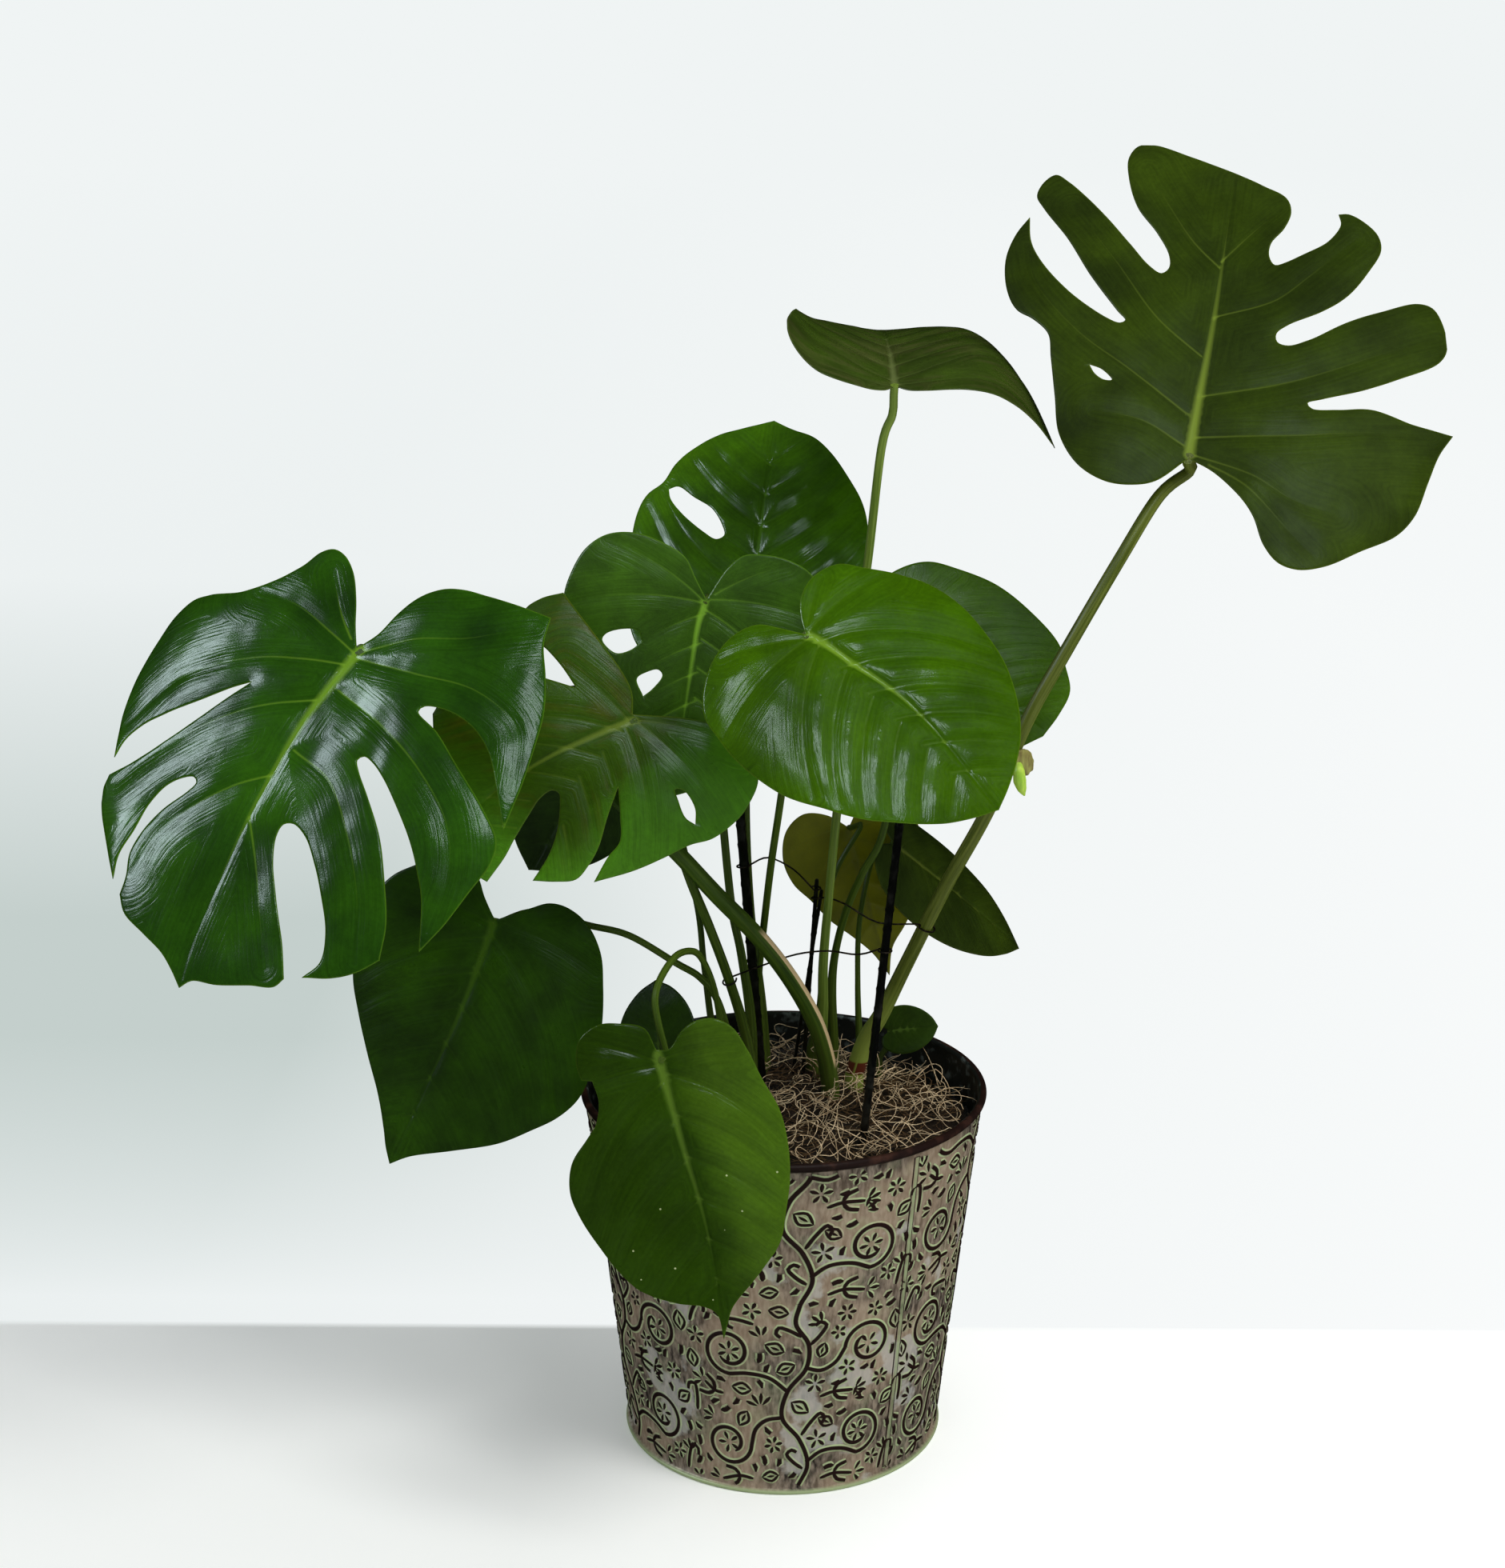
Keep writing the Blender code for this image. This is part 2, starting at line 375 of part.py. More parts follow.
WIRE_RADIUS = 0.6 * MM
WIRE_GAP = 0.5 * MM
WIRE_TURN = math.radians(290)
WIRE_TURN_STEPS = 8
WIRE_TURN_RISE = 1.2 * MM
WIRE_LEAD = math.radians(40)
WIRE_COLOUR = (0.02, 0.018, 0.015)
TIES = {
    "tie_left": dict(
        first="stake_left", z_first=0.372, last="stake_thin", z_last=0.350,
        between=[(-0.010, 0.046, 0.373), (0.006, 0.049, 0.364)],
    ),
    "tie_right": dict(
        first="stake_thin", z_first=0.343, last="upper_right", z_last=0.340,
        between=[(0.029, 0.054, 0.343), (0.040, 0.047, 0.341), (0.060, 0.026, 0.336)],
    ),
    "tie_low": dict(
        first="stake_front", z_first=0.346, last="brown_green", z_last=0.309,
        between=[
            (0.046, -0.038, 0.337), (0.028, -0.012, 0.330), (0.008, 0.004, 0.322), (-0.014, 0.002, 0.315),
        ],
    ),
}

# Sprout: a round bract, flat from front to back, and a bud with a pointed end
SPROUT_PLACE = (0.1468, -0.0144, 0.4538)
SPROUT_SIZE = (6.2 * MM, 2.4 * MM, 8.6 * MM)
SPROUT_TURN = (0, math.radians(-12), math.radians(20))
SPROUT_COLOUR = (0.30, 0.30, 0.08)
SPROUT_BUD = [
    ((0.1434, -0.0164, 0.4543), 1.6 * MM),
    ((0.1434, -0.0184, 0.4493), 3.6 * MM),
    ((0.1440, -0.0192, 0.4433), 4.0 * MM),
    ((0.1456, -0.0189, 0.4378), 2.8 * MM),
    ((0.1472, -0.0184, 0.4338), 0.5 * MM),
]


def clear_scene():
    for old in list(bpy.data.objects):
        bpy.data.objects.remove(old, do_unlink=True)


def new_collection(name):
    collection = bpy.data.collections.new(name)
    bpy.context.scene.collection.children.link(collection)
    return collection


def finish_of(name, colour, roughness, metallic=0.0):
    material = bpy.data.materials.new(name)
    material.use_nodes = True
    shader = material.node_tree.nodes["Principled BSDF"]
    shader.inputs["Base Color"].default_value = (*colour, 1.0)
    shader.inputs["Roughness"].default_value = roughness
    shader.inputs["Metallic"].default_value = metallic
    return material


def add_object(name, data, collection, material=None):
    made = bpy.data.objects.new(name, data)
    collection.objects.link(made)
    if material:
        data.materials.append(material)
    return made


def as_mesh(source):
    """The evaluated object as a plain closed mesh, with its own name kept and the source removed."""
    graph = bpy.context.evaluated_depsgraph_get()
    mesh = bpy.data.meshes.new_from_object(source.evaluated_get(graph))
    name, collection, place = source.name, source.users_collection[0], source.matrix_world.copy()
    bpy.data.objects.remove(source, do_unlink=True)
    form = bmesh.new()
    form.from_mesh(mesh)
    bmesh.ops.remove_doubles(form, verts=form.verts, dist=0.01 * MM)
    bmesh.ops.recalc_face_normals(form, faces=form.faces)
    form.to_mesh(mesh)
    form.free()
    mesh.shade_smooth()
    made = bpy.data.objects.new(name, mesh)
    made.matrix_world = place
    collection.objects.link(made)
    return made


def smooth_path(points, per_span):
    """Points along a Catmull-Rom curve through the given ones."""
    points = [Vector(p) for p in points]
    ends = [points[0] * 2 - points[1]] + points + [points[-1] * 2 - points[-2]]
    path = []
    for i in range(1, len(ends) - 2):
        a, b, c, d = ends[i - 1 : i + 3]
        for step in range(per_span):
            t = step / per_span
            path.append(
                b + 0.5 * t * ((c - a) + t * (2 * a - 5 * b + 4 * c - d) + t * t * (3 * b - a - 3 * c + d))
            )
    path.append(points[-1])
    return path


def add_tube(name, points, radii, collection, material, sides_level=TUBE_SIDES_LEVEL):
    """A tube with filled caps along the points, as a curve object."""
    curve = bpy.data.curves.new(name, "CURVE")
    curve.dimensions = "3D"
    curve.bevel_depth = 1.0
    curve.bevel_resolution = sides_level
    curve.use_fill_caps = True
    spline = curve.splines.new("POLY")
    spline.points.add(len(points) - 1)
    for place, point, radius in zip(spline.points, points, radii):
        place.co = (*point, 1.0)
        place.radius = radius
    return add_object(name, curve, collection, material)


def blade_frame(leaf):
    """The blade's own axes: across, along the midrib, and out of its upper face."""
    heading, rise, roll = (math.radians(leaf[key]) for key in ("heading", "rise", "roll"))
    along = Vector((math.cos(rise) * math.cos(heading), math.cos(rise) * math.sin(heading), math.sin(rise)))
    level = (Vector((0, 0, 1)) - along * along.z).normalized()
    out = level * math.cos(roll) + along.cross(level) * math.sin(roll)
    return along.cross(out), along, out


def blade_height(leaf, x, y):
    """How far the upper face stands out of the blade's plane."""
    fold, fall_left, fall_right, droop, wave = leaf["bend"]
    curl_left, curl_right = leaf.get("curl", (0, 0))
    side = math.sqrt(x * x + FOLD_SOFTNESS**2) - FOLD_SOFTNESS
    fall = (fall_left if x < 0 else fall_right) * x * x
    fall += (curl_left if x < 0 else curl_right) * max(abs(x) - CURL_START, 0.0) ** 2
    tip = droop * max(y, 0.0) ** 2 / leaf["length"]
    edge = (x * x + y * y) / leaf["length"] ** 2
    return fold * side - fall - tip + wave * edge * math.sin(WAVE_COUNT * math.atan2(x, y + 0.001))


def blade_point(leaf, x, y):
    across, along, out = blade_frame(leaf)
    return Vector(leaf["joint"]) + across * x + along * y + out * blade_height(leaf, x, y)


def outline_points(outline, scale):
    return [(x * CM * scale, y * CM * scale) for x, y in filter(None, outline)]


def inside(loop, x, y):
    hit = False
    for (xa, ya), (xb, yb) in zip(loop, loop[1:] + loop[:1]):
        if (ya > y) != (yb > y) and x < xa + (y - ya) * (xb - xa) / (yb - ya):
            hit = not hit
    return hit


def distance_to(loop, x, y):
    point = Vector((x, y))
    nearest = 1.0
    for a, b in zip(loop, loop[1:] + loop[:1]):
        foot, where = geometry.intersect_point_line(point, a, b)
        foot = Vector(a) if where < 0 else Vector(b) if where > 1 else foot
        nearest = min(nearest, (Vector((foot[0], foot[1])) - point).length)
    return nearest


def flat_triangles(loops, step, rib_end):
    """A flat blade split into triangles: its loops, a row of points beside the midrib and an even grid."""
    points, edges = [], []
    for loop in loops:
        first = len(points)
        points += loop
        edges += [(first + i, first + (i + 1) % len(loop)) for i in range(len(loop))]

    def clear(x, y, margin):
        if not inside(loops[0], x, y) or any(inside(hole, x, y) for hole in loops[1:]):
            return False
        return min(distance_to(loop, x, y) for loop in loops) > margin

    rows = int(rib_end / step) + 1
    heights = [JOINT_PLAIN] + [RIB_START + row * (rib_end - RIB_START) / rows for row in range(rows + 1)]
    for y in heights:
        for x in (-RIB_HALF_WIDTH, 0.0, RIB_HALF_WIDTH):
            if clear(x, y, RIB_MARGIN * step):
                points.append((x, y))
    reach = max(max(abs(x), abs(y)) for x, y in loops[0])
    count = int(reach / step) + 1
    for row in range(-count, int(count / ROW_HEIGHT) + 1):
        for column in range(-count, count + 1):
            x, y = (column + 0.5 * (row % 2)) * step, row * step * ROW_HEIGHT
            if abs(x) > RIB_HALF_WIDTH + GRID_MARGIN * step and clear(x, y, GRID_MARGIN * step):
                points.append((x, y))
    flat = geometry.delaunay_2d_cdt([Vector(p) for p in points], edges, [], 1, 1e-6)
    corners, faces = flat[0], flat[2]
    kept = []
    for face in faces:
        middle = sum((corners[i] for i in face), Vector((0, 0))) / 3
        if inside(loops[0], *middle) and not any(inside(hole, *middle) for hole in loops[1:]):
            kept.append(tuple(face))
    return corners, kept


def add_blade(name, leaf, collection):
    """The blade as one curved sheet, split into triangles, given its thickness and a rib under the midrib."""
    scale = leaf.get("scale", 1.0)
    outline = outline_points(leaf["outline"], scale)
    loops = [outline] + [outline_points(hole, scale) for hole in leaf["holes"]]
    rib_end = RIB_SHARE * max(y for x, y in outline)
    corners, faces = flat_triangles(loops, GRID_STEP[leaf["size"]], rib_end)
    used = sorted({i for face in faces for i in face})
    order = {old: new for new, old in enumerate(used)}
    mesh = bpy.data.meshes.new(name)
    mesh.from_pydata(
        [blade_point(leaf, *corners[i]) for i in used], [], [tuple(order[i] for i in face) for face in faces]
    )
    out = blade_frame(leaf)[2]
    mesh.update()
    if sum(face.normal.dot(out) for face in mesh.polygons) < 0:
        mesh.flip_normals()
    mesh.shade_smooth()
    blade = add_object(name, mesh, collection, finish_of(name, leaf["colour"], 0.35))
    rib = blade.vertex_groups.new(name="rib")
    for i in used:
        x, y = corners[i]
        if abs(x) < 0.5 * RIB_HALF_WIDTH and RIB_START - MM <= y <= rib_end:
            rib.add([order[i]], 1.0 - RIB_TAPER * y / rib_end, "REPLACE")
    solidify = blade.modifiers.new("Thickness", "SOLIDIFY")
    solidify.thickness = RIB_THICKNESS
    solidify.offset = -1.0
    solidify.vertex_group = "rib"
    solidify.thickness_vertex_group = BLADE_THICKNESS / RIB_THICKNESS
    return blade


def stem_path(leaf):
    """The stem's middle line: up out of the soil, along its route, and square to the blade's under face."""
    x, y = leaf["foot"]
    out = blade_frame(leaf)[2]
    joint = Vector(leaf["joint"])
    top = joint - out * (BLADE_THICKNESS + CLEARANCE)
    knee = joint - out * STEM_KNEE
    middle = joint - out * KNEE_MIDDLE * STEM_KNEE
    above = smooth_path([(x, y, STEM_STRAIGHT_TOP), *leaf["via"], knee, middle], SPAN_STEPS)
    return [Vector((x, y, STEM_DEPTH))] + above + [top]


def stem_radii(leaf, path):
    """Thick where it enters the moss and slimmer on the way, given by the leaf's three radii."""
    low, middle, high = (size * MM for size in leaf["thick"])
    radii = []
    for i in range(len(path)):
        t = i / (len(path) - 1)
        if t < STEM_TAPER:
            ease = 0.5 - 0.5 * math.cos(math.pi * t / STEM_TAPER)
            radii.append(low + (middle - low) * ease)
        else:
            radii.append(middle + (high - middle) * (t - STEM_TAPER) / (1 - STEM_TAPER))
    return radii


def add_stem(name, leaf, collection):
    path = stem_path(leaf)
    radii = stem_radii(leaf, path)
    level = TUBE_SIDES_LEVEL if leaf["thick"][0] > THIN_STEM else THIN_SIDES_LEVEL
    return add_tube(name, path, radii, collection, finish_of(name, GREEN_STEM, 0.45), level)


def arc(middle_x, middle_z, radius, start, end, steps):
    angles = [math.radians(start + (end - start) * i / steps) for i in range(steps + 1)]
    return [(middle_x + radius * math.cos(a), middle_z + radius * math.sin(a)) for a in angles]


def wall_radius(z):
    """Outer radius of the pot's sheet at a height."""
    low = POT_FOOT_RADIUS - 2 * FOOT_BEAD_RADIUS
    high = POT_RIM_RADIUS - RIM_BEAD_RADIUS
    return low + (high - low) * z / POT_HEIGHT


def add_turned(name, profile, collection, material, sides):
    """A profile of (radius, height) points turned about the Z axis."""
    mesh = bpy.data.meshes.new(name)
    mesh.from_pydata([(r, 0, z) for r, z in profile], [(i, i + 1) for i in range(len(profile) - 1)], [])
    turned = add_object(name, mesh, collection, material)
    screw = turned.modifiers.new("Turn", "SCREW")
    screw.steps = sides
    screw.render_steps = sides
    screw.use_merge_vertices = True
    screw.merge_threshold = 0.00001
    screw.use_smooth_shade = True
    return turned


def add_pot(collection, cutters):
    rim_z = POT_HEIGHT - RIM_BEAD_RADIUS
    rim_x = POT_RIM_RADIUS - RIM_BEAD_RADIUS
    foot_x = POT_FOOT_RADIUS - FOOT_BEAD_RADIUS
    floor = POT_SHEET
    straight_top = rim_z - RIM_NECK
    profile = [(0, floor), (wall_radius(floor) - POT_SHEET, floor)]
    profile += [(wall_radius(0.5 * POT_HEIGHT) - POT_SHEET, 0.5 * POT_HEIGHT)]
    profile += [(wall_radius(straight_top) - POT_SHEET, straight_top)]
    profile += arc(rim_x, rim_z, RIM_BEAD_RADIUS, *RIM_CURL, RIM_STEPS)
    profile += [(wall_radius(straight_top), straight_top)]
    profile += [(wall_radius(0.5 * POT_HEIGHT), 0.5 * POT_HEIGHT)]
    profile += [(wall_radius(FOOT_NECK), FOOT_NECK)]
    profile += arc(foot_x, FOOT_BEAD_RADIUS, FOOT_BEAD_RADIUS, *FOOT_CURL, FOOT_STEPS)
    profile += [(0, 0)]
    pot = as_mesh(add_turned("pot", profile, collection, None, POT_SIDES))
    pot.data.materials.append(finish_of("pot", (0.28, 0.25, 0.21), 0.42, 0.9))

    strip = add_seam_strip(cutters)
    join = pot.modifiers.new("Seam", "BOOLEAN")
    join.operation = "UNION"
    join.object = strip


def add_seam_strip(cutters):
    """The folded strip down the pot's side where the sheet's two edges lock, wider at its root."""
    form = bmesh.new()
    bmesh.ops.create_cube(form, size=1.0)
    for vert in form.verts:
        outside = vert.co.x > 0
        z = SEAM_LOW if vert.co.z < 0 else SEAM_HIGH
        width = SEAM_WIDTH * (SEAM_TOP_WIDTH if outside else 1.0)
        vert.co = (wall_radius(z) + (SEAM_PROUD if outside else -SEAM_ROOT), vert.co.y * width, z)
    bmesh.ops.rotate(form, verts=form.verts, cent=(0, 0, 0), matrix=Matrix.Rotation(SEAM_ANGLE, 3, "Z"))
    mesh = bpy.data.meshes.new("seam strip")
    form.to_mesh(mesh)
    form.free()
    strip = add_object("seam strip", mesh, cutters)
    as_cutter(strip)
    return strip


def as_cutter(guide):
    guide.hide_render = True
    guide.display_type = "WIRE"


def add_cutters(collection):
    """Plain round holes for the stems and stakes, a little wider and deeper than what stands in them."""
    cutters = []
    flat_to_corner = 1 / math.cos(math.pi / HOLE_SIDES)
    for name, leaf in LEAVES.items():
        x, y = leaf["foot"]
        path = stem_path(leaf)
        radius = (stem_radii(leaf, path)[0] + CLEARANCE) * flat_to_corner
        ends = [(x, y, STEM_DEPTH - CLEARANCE), (x, y, POT_HEIGHT)]
        cutters.append(add_tube("hole_" + name, ends, [radius, radius], collection, None, HOLE_SIDES_LEVEL))
    for name, stake in STAKES.items():
        foot, head = Vector(stake["foot"]), Vector(stake["head"])
        along = (head - foot).normalized()
        radius = (stake["radius"] + CLEARANCE) * flat_to_corner
        ends = [foot - along * CLEARANCE, foot + along * (POT_HEIGHT - foot.z)]
        cutters.append(add_tube("hole_" + name, ends, [radius, radius], collection, None, HOLE_SIDES_LEVEL))
    for cutter in cutters:
        as_cutter(as_mesh(cutter))


def cut_holes(filling, cutters):
    cut = filling.modifiers.new("Holes", "BOOLEAN")
    cut.operation = "DIFFERENCE"
    cut.operand_type = "COLLECTION"
    cut.collection = cutters


def inner_radius(z):
    return wall_radius(z) - POT_SHEET - CLEARANCE


def add_soil(collection, cutters):
    bottom = POT_SHEET + CLEARANCE
    profile = [(0, SOIL_TOP), (inner_radius(SOIL_TOP), SOIL_TOP), (inner_radius(bottom), bottom), (0, bottom)]
    soil = as_mesh(add_turned("soil", profile, collection, None, POT_SIDES))
    soil.data.materials.append(finish_of("soil", (0.022, 0.014, 0.009), 0.95))
    cut_holes(soil, cutters)


def moss_height(x, y):
    """Top of the moss: a low mound that falls away towards the right rear of the pot."""
    reach = math.hypot(x, y) / inner_radius(MOSS_TOP)
    towards = (MOSS_LOW_SIDE[0] * x + MOSS_LOW_SIDE[1] * y) / inner_radius(MOSS_TOP)
    fall = max(0.0, towards - MOSS_LEVEL_SHARE)
    turn_x = MOSS_LUMP_TURNS[0] * x + MOSS_LUMP_START[0]
    turn_y = MOSS_LUMP_TURNS[1] * y + MOSS_LUMP_START[1]
    lump = math.sin(turn_x) * math.sin(turn_y)
    return MOSS_TOP + MOSS_RISE * (1 - reach * reach) - MOSS_DIP * fall + MOSS_LUMP * lump


def add_moss(collection, cutters):
    bottom = SOIL_TOP + CLEARANCE
    top = [(inner_radius(MOSS_TOP) * i / MOSS_RINGS, MOSS_TOP) for i in range(MOSS_RINGS)]
    profile = top + [(inner_radius(MOSS_TOP - MOSS_DIP), MOSS_TOP)]
    profile += [(inner_radius(bottom), bottom), (0, bottom)]
    moss = as_mesh(add_turned("moss", profile, collection, None, POT_SIDES))
    for vert in moss.data.vertices:
        if vert.co.z > bottom + MM:
            vert.co.z = moss_height(vert.co.x, vert.co.y)
    moss.data.materials.append(finish_of("moss", (0.16, 0.105, 0.06), 0.95))
    cut_holes(moss, cutters)


def add_stakes(collection):
    for name, stake in STAKES.items():
        finish = finish_of(name, STAKE_COLOUR, 0.45)
        radius = stake["radius"]
        add_tube(name, [stake["foot"], stake["head"]], [radius, radius], collection, finish)


def held_at(name, z):
    """Middle, direction and radius of a stake or a leaf's stem at a height."""
    if name in STAKES:
        foot, head = Vector(STAKES[name]["foot"]), Vector(STAKES[name]["head"])
        return foot + (head - foot) * (z - foot.z) / (head.z - foot.z), head - foot, STAKES[name]["radius"]
    path = stem_path(LEAVES[name])
    radii = stem_radii(LEAVES[name], path)
    for i in range(len(path) - 1):
        low, high = path[i], path[i + 1]
        if low.z <= z < high.z:
            t = (z - low.z) / (high.z - low.z)
            return low + (high - low) * t, high - low, radii[i] + (radii[i + 1] - radii[i]) * t
    raise ValueError(name + " isn't that tall")


def wire_turn(middle, along, radius, start, turn):
    """An open turn of wire round a rod that runs the given way, rising a little as it goes."""
    lean = Vector((0, 0, 1)).rotation_difference(along)
    turned = []
    for i in range(WIRE_TURN_STEPS + 1):
        angle = start + turn * i / WIRE_TURN_STEPS
        rise = WIRE_TURN_RISE * i / WIRE_TURN_STEPS
        turned.append(middle + lean @ Vector((radius * math.cos(angle), radius * math.sin(angle), rise)))
    return turned


def tie_points(tie):
    """The wire's middle line: a turn round one thing, a slack run, and a turn round the other."""
    start, start_along, start_radius = held_at(tie["first"], tie["z_first"])
    end, end_along, end_radius = held_at(tie["last"], tie["z_last"])
    between = [Vector(p) for p in tie["between"]]
    way_out = (between[0] if between else end) - start
    way_in = (between[-1] if between else start) - end
    leave = math.atan2(way_out.y, way_out.x) - WIRE_LEAD
    arrive = math.atan2(way_in.y, way_in.x) + WIRE_LEAD
    reach = WIRE_RADIUS + WIRE_GAP
    points = wire_turn(start, start_along, start_radius + reach, leave - WIRE_TURN, WIRE_TURN)
    return points + between + wire_turn(end, end_along, end_radius + reach, arrive, WIRE_TURN)


def add_ties(collection):
    for name, tie in TIES.items():
        points = tie_points(tie)
        radii = [WIRE_RADIUS] * len(points)
        add_tube(name, points, radii, collection, finish_of(name, WIRE_COLOUR, 0.4, 0.6), THIN_SIDES_LEVEL)


def add_bud(collection):
    """The pale new point that hangs out of the bract."""
    places = [place for place, radius in SPROUT_BUD]
    radii = [radius for place, radius in SPROUT_BUD]
    return as_mesh(add_tube("bud", places, radii, collection, None, TUBE_SIDES_LEVEL))


def add_sprout(collection, cutters):
    """A withered round bract with a pale new point, hanging at the side of the tallest stem."""
    form = bmesh.new()
    bmesh.ops.create_uvsphere(form, u_segments=12, v_segments=8, radius=1.0)
    mesh = bpy.data.meshes.new("sprout")
    form.to_mesh(mesh)
    form.free()
    mesh.transform(Matrix.LocRotScale(Vector(SPROUT_PLACE), Euler(SPROUT_TURN), Vector(SPROUT_SIZE)))
    mesh.shade_smooth()
    sprout = add_object("sprout", mesh, collection, finish_of("sprout", SPROUT_COLOUR, 0.7))
    bud = add_bud(cutters)
    as_cutter(bud)
    join = sprout.modifiers.new("Bud", "BOOLEAN")
    join.operation = "UNION"
    join.object = bud


def main():
    clear_scene()
    plant = new_collection("potted monstera")
    cutters = new_collection("cutters")
    holes = new_collection("holes")
    add_pot(plant, cutters)
    add_cutters(holes)
    add_soil(plant, holes)
    add_moss(plant, holes)
    for name, leaf in LEAVES.items():
        add_blade("leaf_" + name, leaf, plant)
        add_stem("stem_" + name, leaf, plant)
    add_stakes(plant)
    add_ties(plant)
    add_sprout(plant, cutters)


main()
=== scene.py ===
# %% [markdown]
# # A potted monstera, dressed
#
# The frame holds the plant and its pot as plain solids at their real size. This script gives them their
# looks: veined and glossy blades, streaked stems, a pressed metal pot, dry moss, stakes, wires and a sprout.
# Sizes are in metres, +Z is up, the origin is the middle of the pot's base, and the camera looks along +Y.

# %% Load the frame
import bmesh
import bpy
import json
import math
import numpy as np
from mathutils import Euler, Matrix, Vector, geometry, noise

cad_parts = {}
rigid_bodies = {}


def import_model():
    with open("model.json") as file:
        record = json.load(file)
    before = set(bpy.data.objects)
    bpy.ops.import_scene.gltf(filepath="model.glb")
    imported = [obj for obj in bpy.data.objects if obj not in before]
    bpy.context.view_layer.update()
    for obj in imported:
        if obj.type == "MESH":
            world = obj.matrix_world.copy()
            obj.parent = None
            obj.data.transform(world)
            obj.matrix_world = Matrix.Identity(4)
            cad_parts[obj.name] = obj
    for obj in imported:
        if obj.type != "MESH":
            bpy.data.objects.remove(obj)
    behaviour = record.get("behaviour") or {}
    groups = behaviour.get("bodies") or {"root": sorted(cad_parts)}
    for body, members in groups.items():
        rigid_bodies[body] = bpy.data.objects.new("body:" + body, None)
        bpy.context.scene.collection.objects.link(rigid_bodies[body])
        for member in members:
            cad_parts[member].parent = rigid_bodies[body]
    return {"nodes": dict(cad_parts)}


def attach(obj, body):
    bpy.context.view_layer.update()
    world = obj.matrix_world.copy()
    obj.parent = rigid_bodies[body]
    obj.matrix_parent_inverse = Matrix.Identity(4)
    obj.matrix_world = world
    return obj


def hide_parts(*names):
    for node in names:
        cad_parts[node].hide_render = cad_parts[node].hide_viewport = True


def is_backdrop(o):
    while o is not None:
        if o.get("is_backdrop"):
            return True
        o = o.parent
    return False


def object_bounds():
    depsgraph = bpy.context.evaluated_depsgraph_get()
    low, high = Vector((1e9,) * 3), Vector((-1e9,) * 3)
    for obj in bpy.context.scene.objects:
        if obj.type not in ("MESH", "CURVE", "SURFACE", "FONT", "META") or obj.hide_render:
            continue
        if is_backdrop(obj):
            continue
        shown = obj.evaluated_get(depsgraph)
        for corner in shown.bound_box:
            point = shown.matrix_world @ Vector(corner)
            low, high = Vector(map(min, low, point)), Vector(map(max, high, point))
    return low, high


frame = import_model()
frame_low, frame_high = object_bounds()
print("nodes in the frame:", len(frame["nodes"]), "box:", tuple(frame_low), tuple(frame_high))

# %% [markdown]
# ## Small helpers for nodes
#
# A shader or a Geometry Nodes tree is easier to read when each node is made by one call: its kind, then what
# goes into its sockets. A socket is given a value, or another node's output, and the helper does the rest.

# %% One call for each node
CM = 0.01
MM = 0.001


def fill_sockets(tree, node, inputs):
    """Gives each input its value, or links it where the value is another node's output."""
    for key, value in dict(inputs).items():
        if isinstance(value, bpy.types.NodeSocket):
            tree.links.new(value, node.inputs[key])
        else:
            node.inputs[key].default_value = value
    return node


def add_node(tree, kind, inputs=(), **settings):
    """A node with its settings and its inputs."""
    made = tree.nodes.new(kind)
    for key, value in settings.items():
        setattr(made, key, value)
    return fill_sockets(tree, made, inputs)


def blend_colours(tree, share, first, second):
    """Two colours mixed: share 0 shows the first one and share 1 the second."""
    return add_node(tree, "ShaderNodeMix", {0: share, 6: first, 7: second}, data_type="RGBA").outputs[2]


def calculate(tree, operation, *values):
    """One step of arithmetic."""
    return add_node(tree, "ShaderNodeMath", enumerate(values), operation=operation).outputs[0]


def times(tree, first, second):
    return calculate(tree, "MULTIPLY", first, second)


def ramp(tree, value, low, high, to_low=0.0, to_high=1.0):
    """A value stretched from one range to another and kept inside it."""
    limits = {"Value": value, "From Min": low, "From Max": high, "To Min": to_low, "To Max": to_high}
    return add_node(tree, "ShaderNodeMapRange", limits).outputs[0]


def cloud_noise(tree, place, scale, detail):
    """Cloudy noise between 0 and 1."""
    inputs = {"Vector": place, "Scale": scale, "Detail": detail}
    return add_node(tree, "ShaderNodeTexNoise", inputs).outputs["Fac"]


def read_mesh(tree, name, kind="Fac"):
    """A value that the mesh carries at each of its points. Its kind is Fac for a number, or Vector."""
    return add_node(tree, "ShaderNodeAttribute", attribute_name=name).outputs[kind]


def own_place(tree):
    """Where a point lies in the piece's own axes."""
    return add_node(tree, "ShaderNodeTexCoord").outputs["Object"]


def split(tree, vector):
    """A vector's three numbers."""
    return add_node(tree, "ShaderNodeSeparateXYZ", {0: vector}).outputs


def join(tree, x, y, z):
    """A vector from three numbers."""
    return add_node(tree, "ShaderNodeCombineXYZ", {"X": x, "Y": y, "Z": z}).outputs[0]


SOCKETS = {float: "Float", int: "Int", tuple: "Vector"}


def new_tree(kind, name, inputs, output):
    """An empty tree. An input is given by its first value, or by its socket's kind where it has none."""
    tree = bpy.data.node_groups.new(name, kind)
    for title, value in inputs.items():
        plain = isinstance(value, str)
        title_kind = "NodeSocket" + (value if plain else SOCKETS[type(value)])
        socket = tree.interface.new_socket(title, in_out="INPUT", socket_type=title_kind)
        if not plain:
            socket.default_value = value
    for title, title_kind in output.items():
        tree.interface.new_socket(title, in_out="OUTPUT", socket_type="NodeSocket" + title_kind)
    return tree, tree.nodes.new("NodeGroupInput").outputs, tree.nodes.new("NodeGroupOutput").inputs


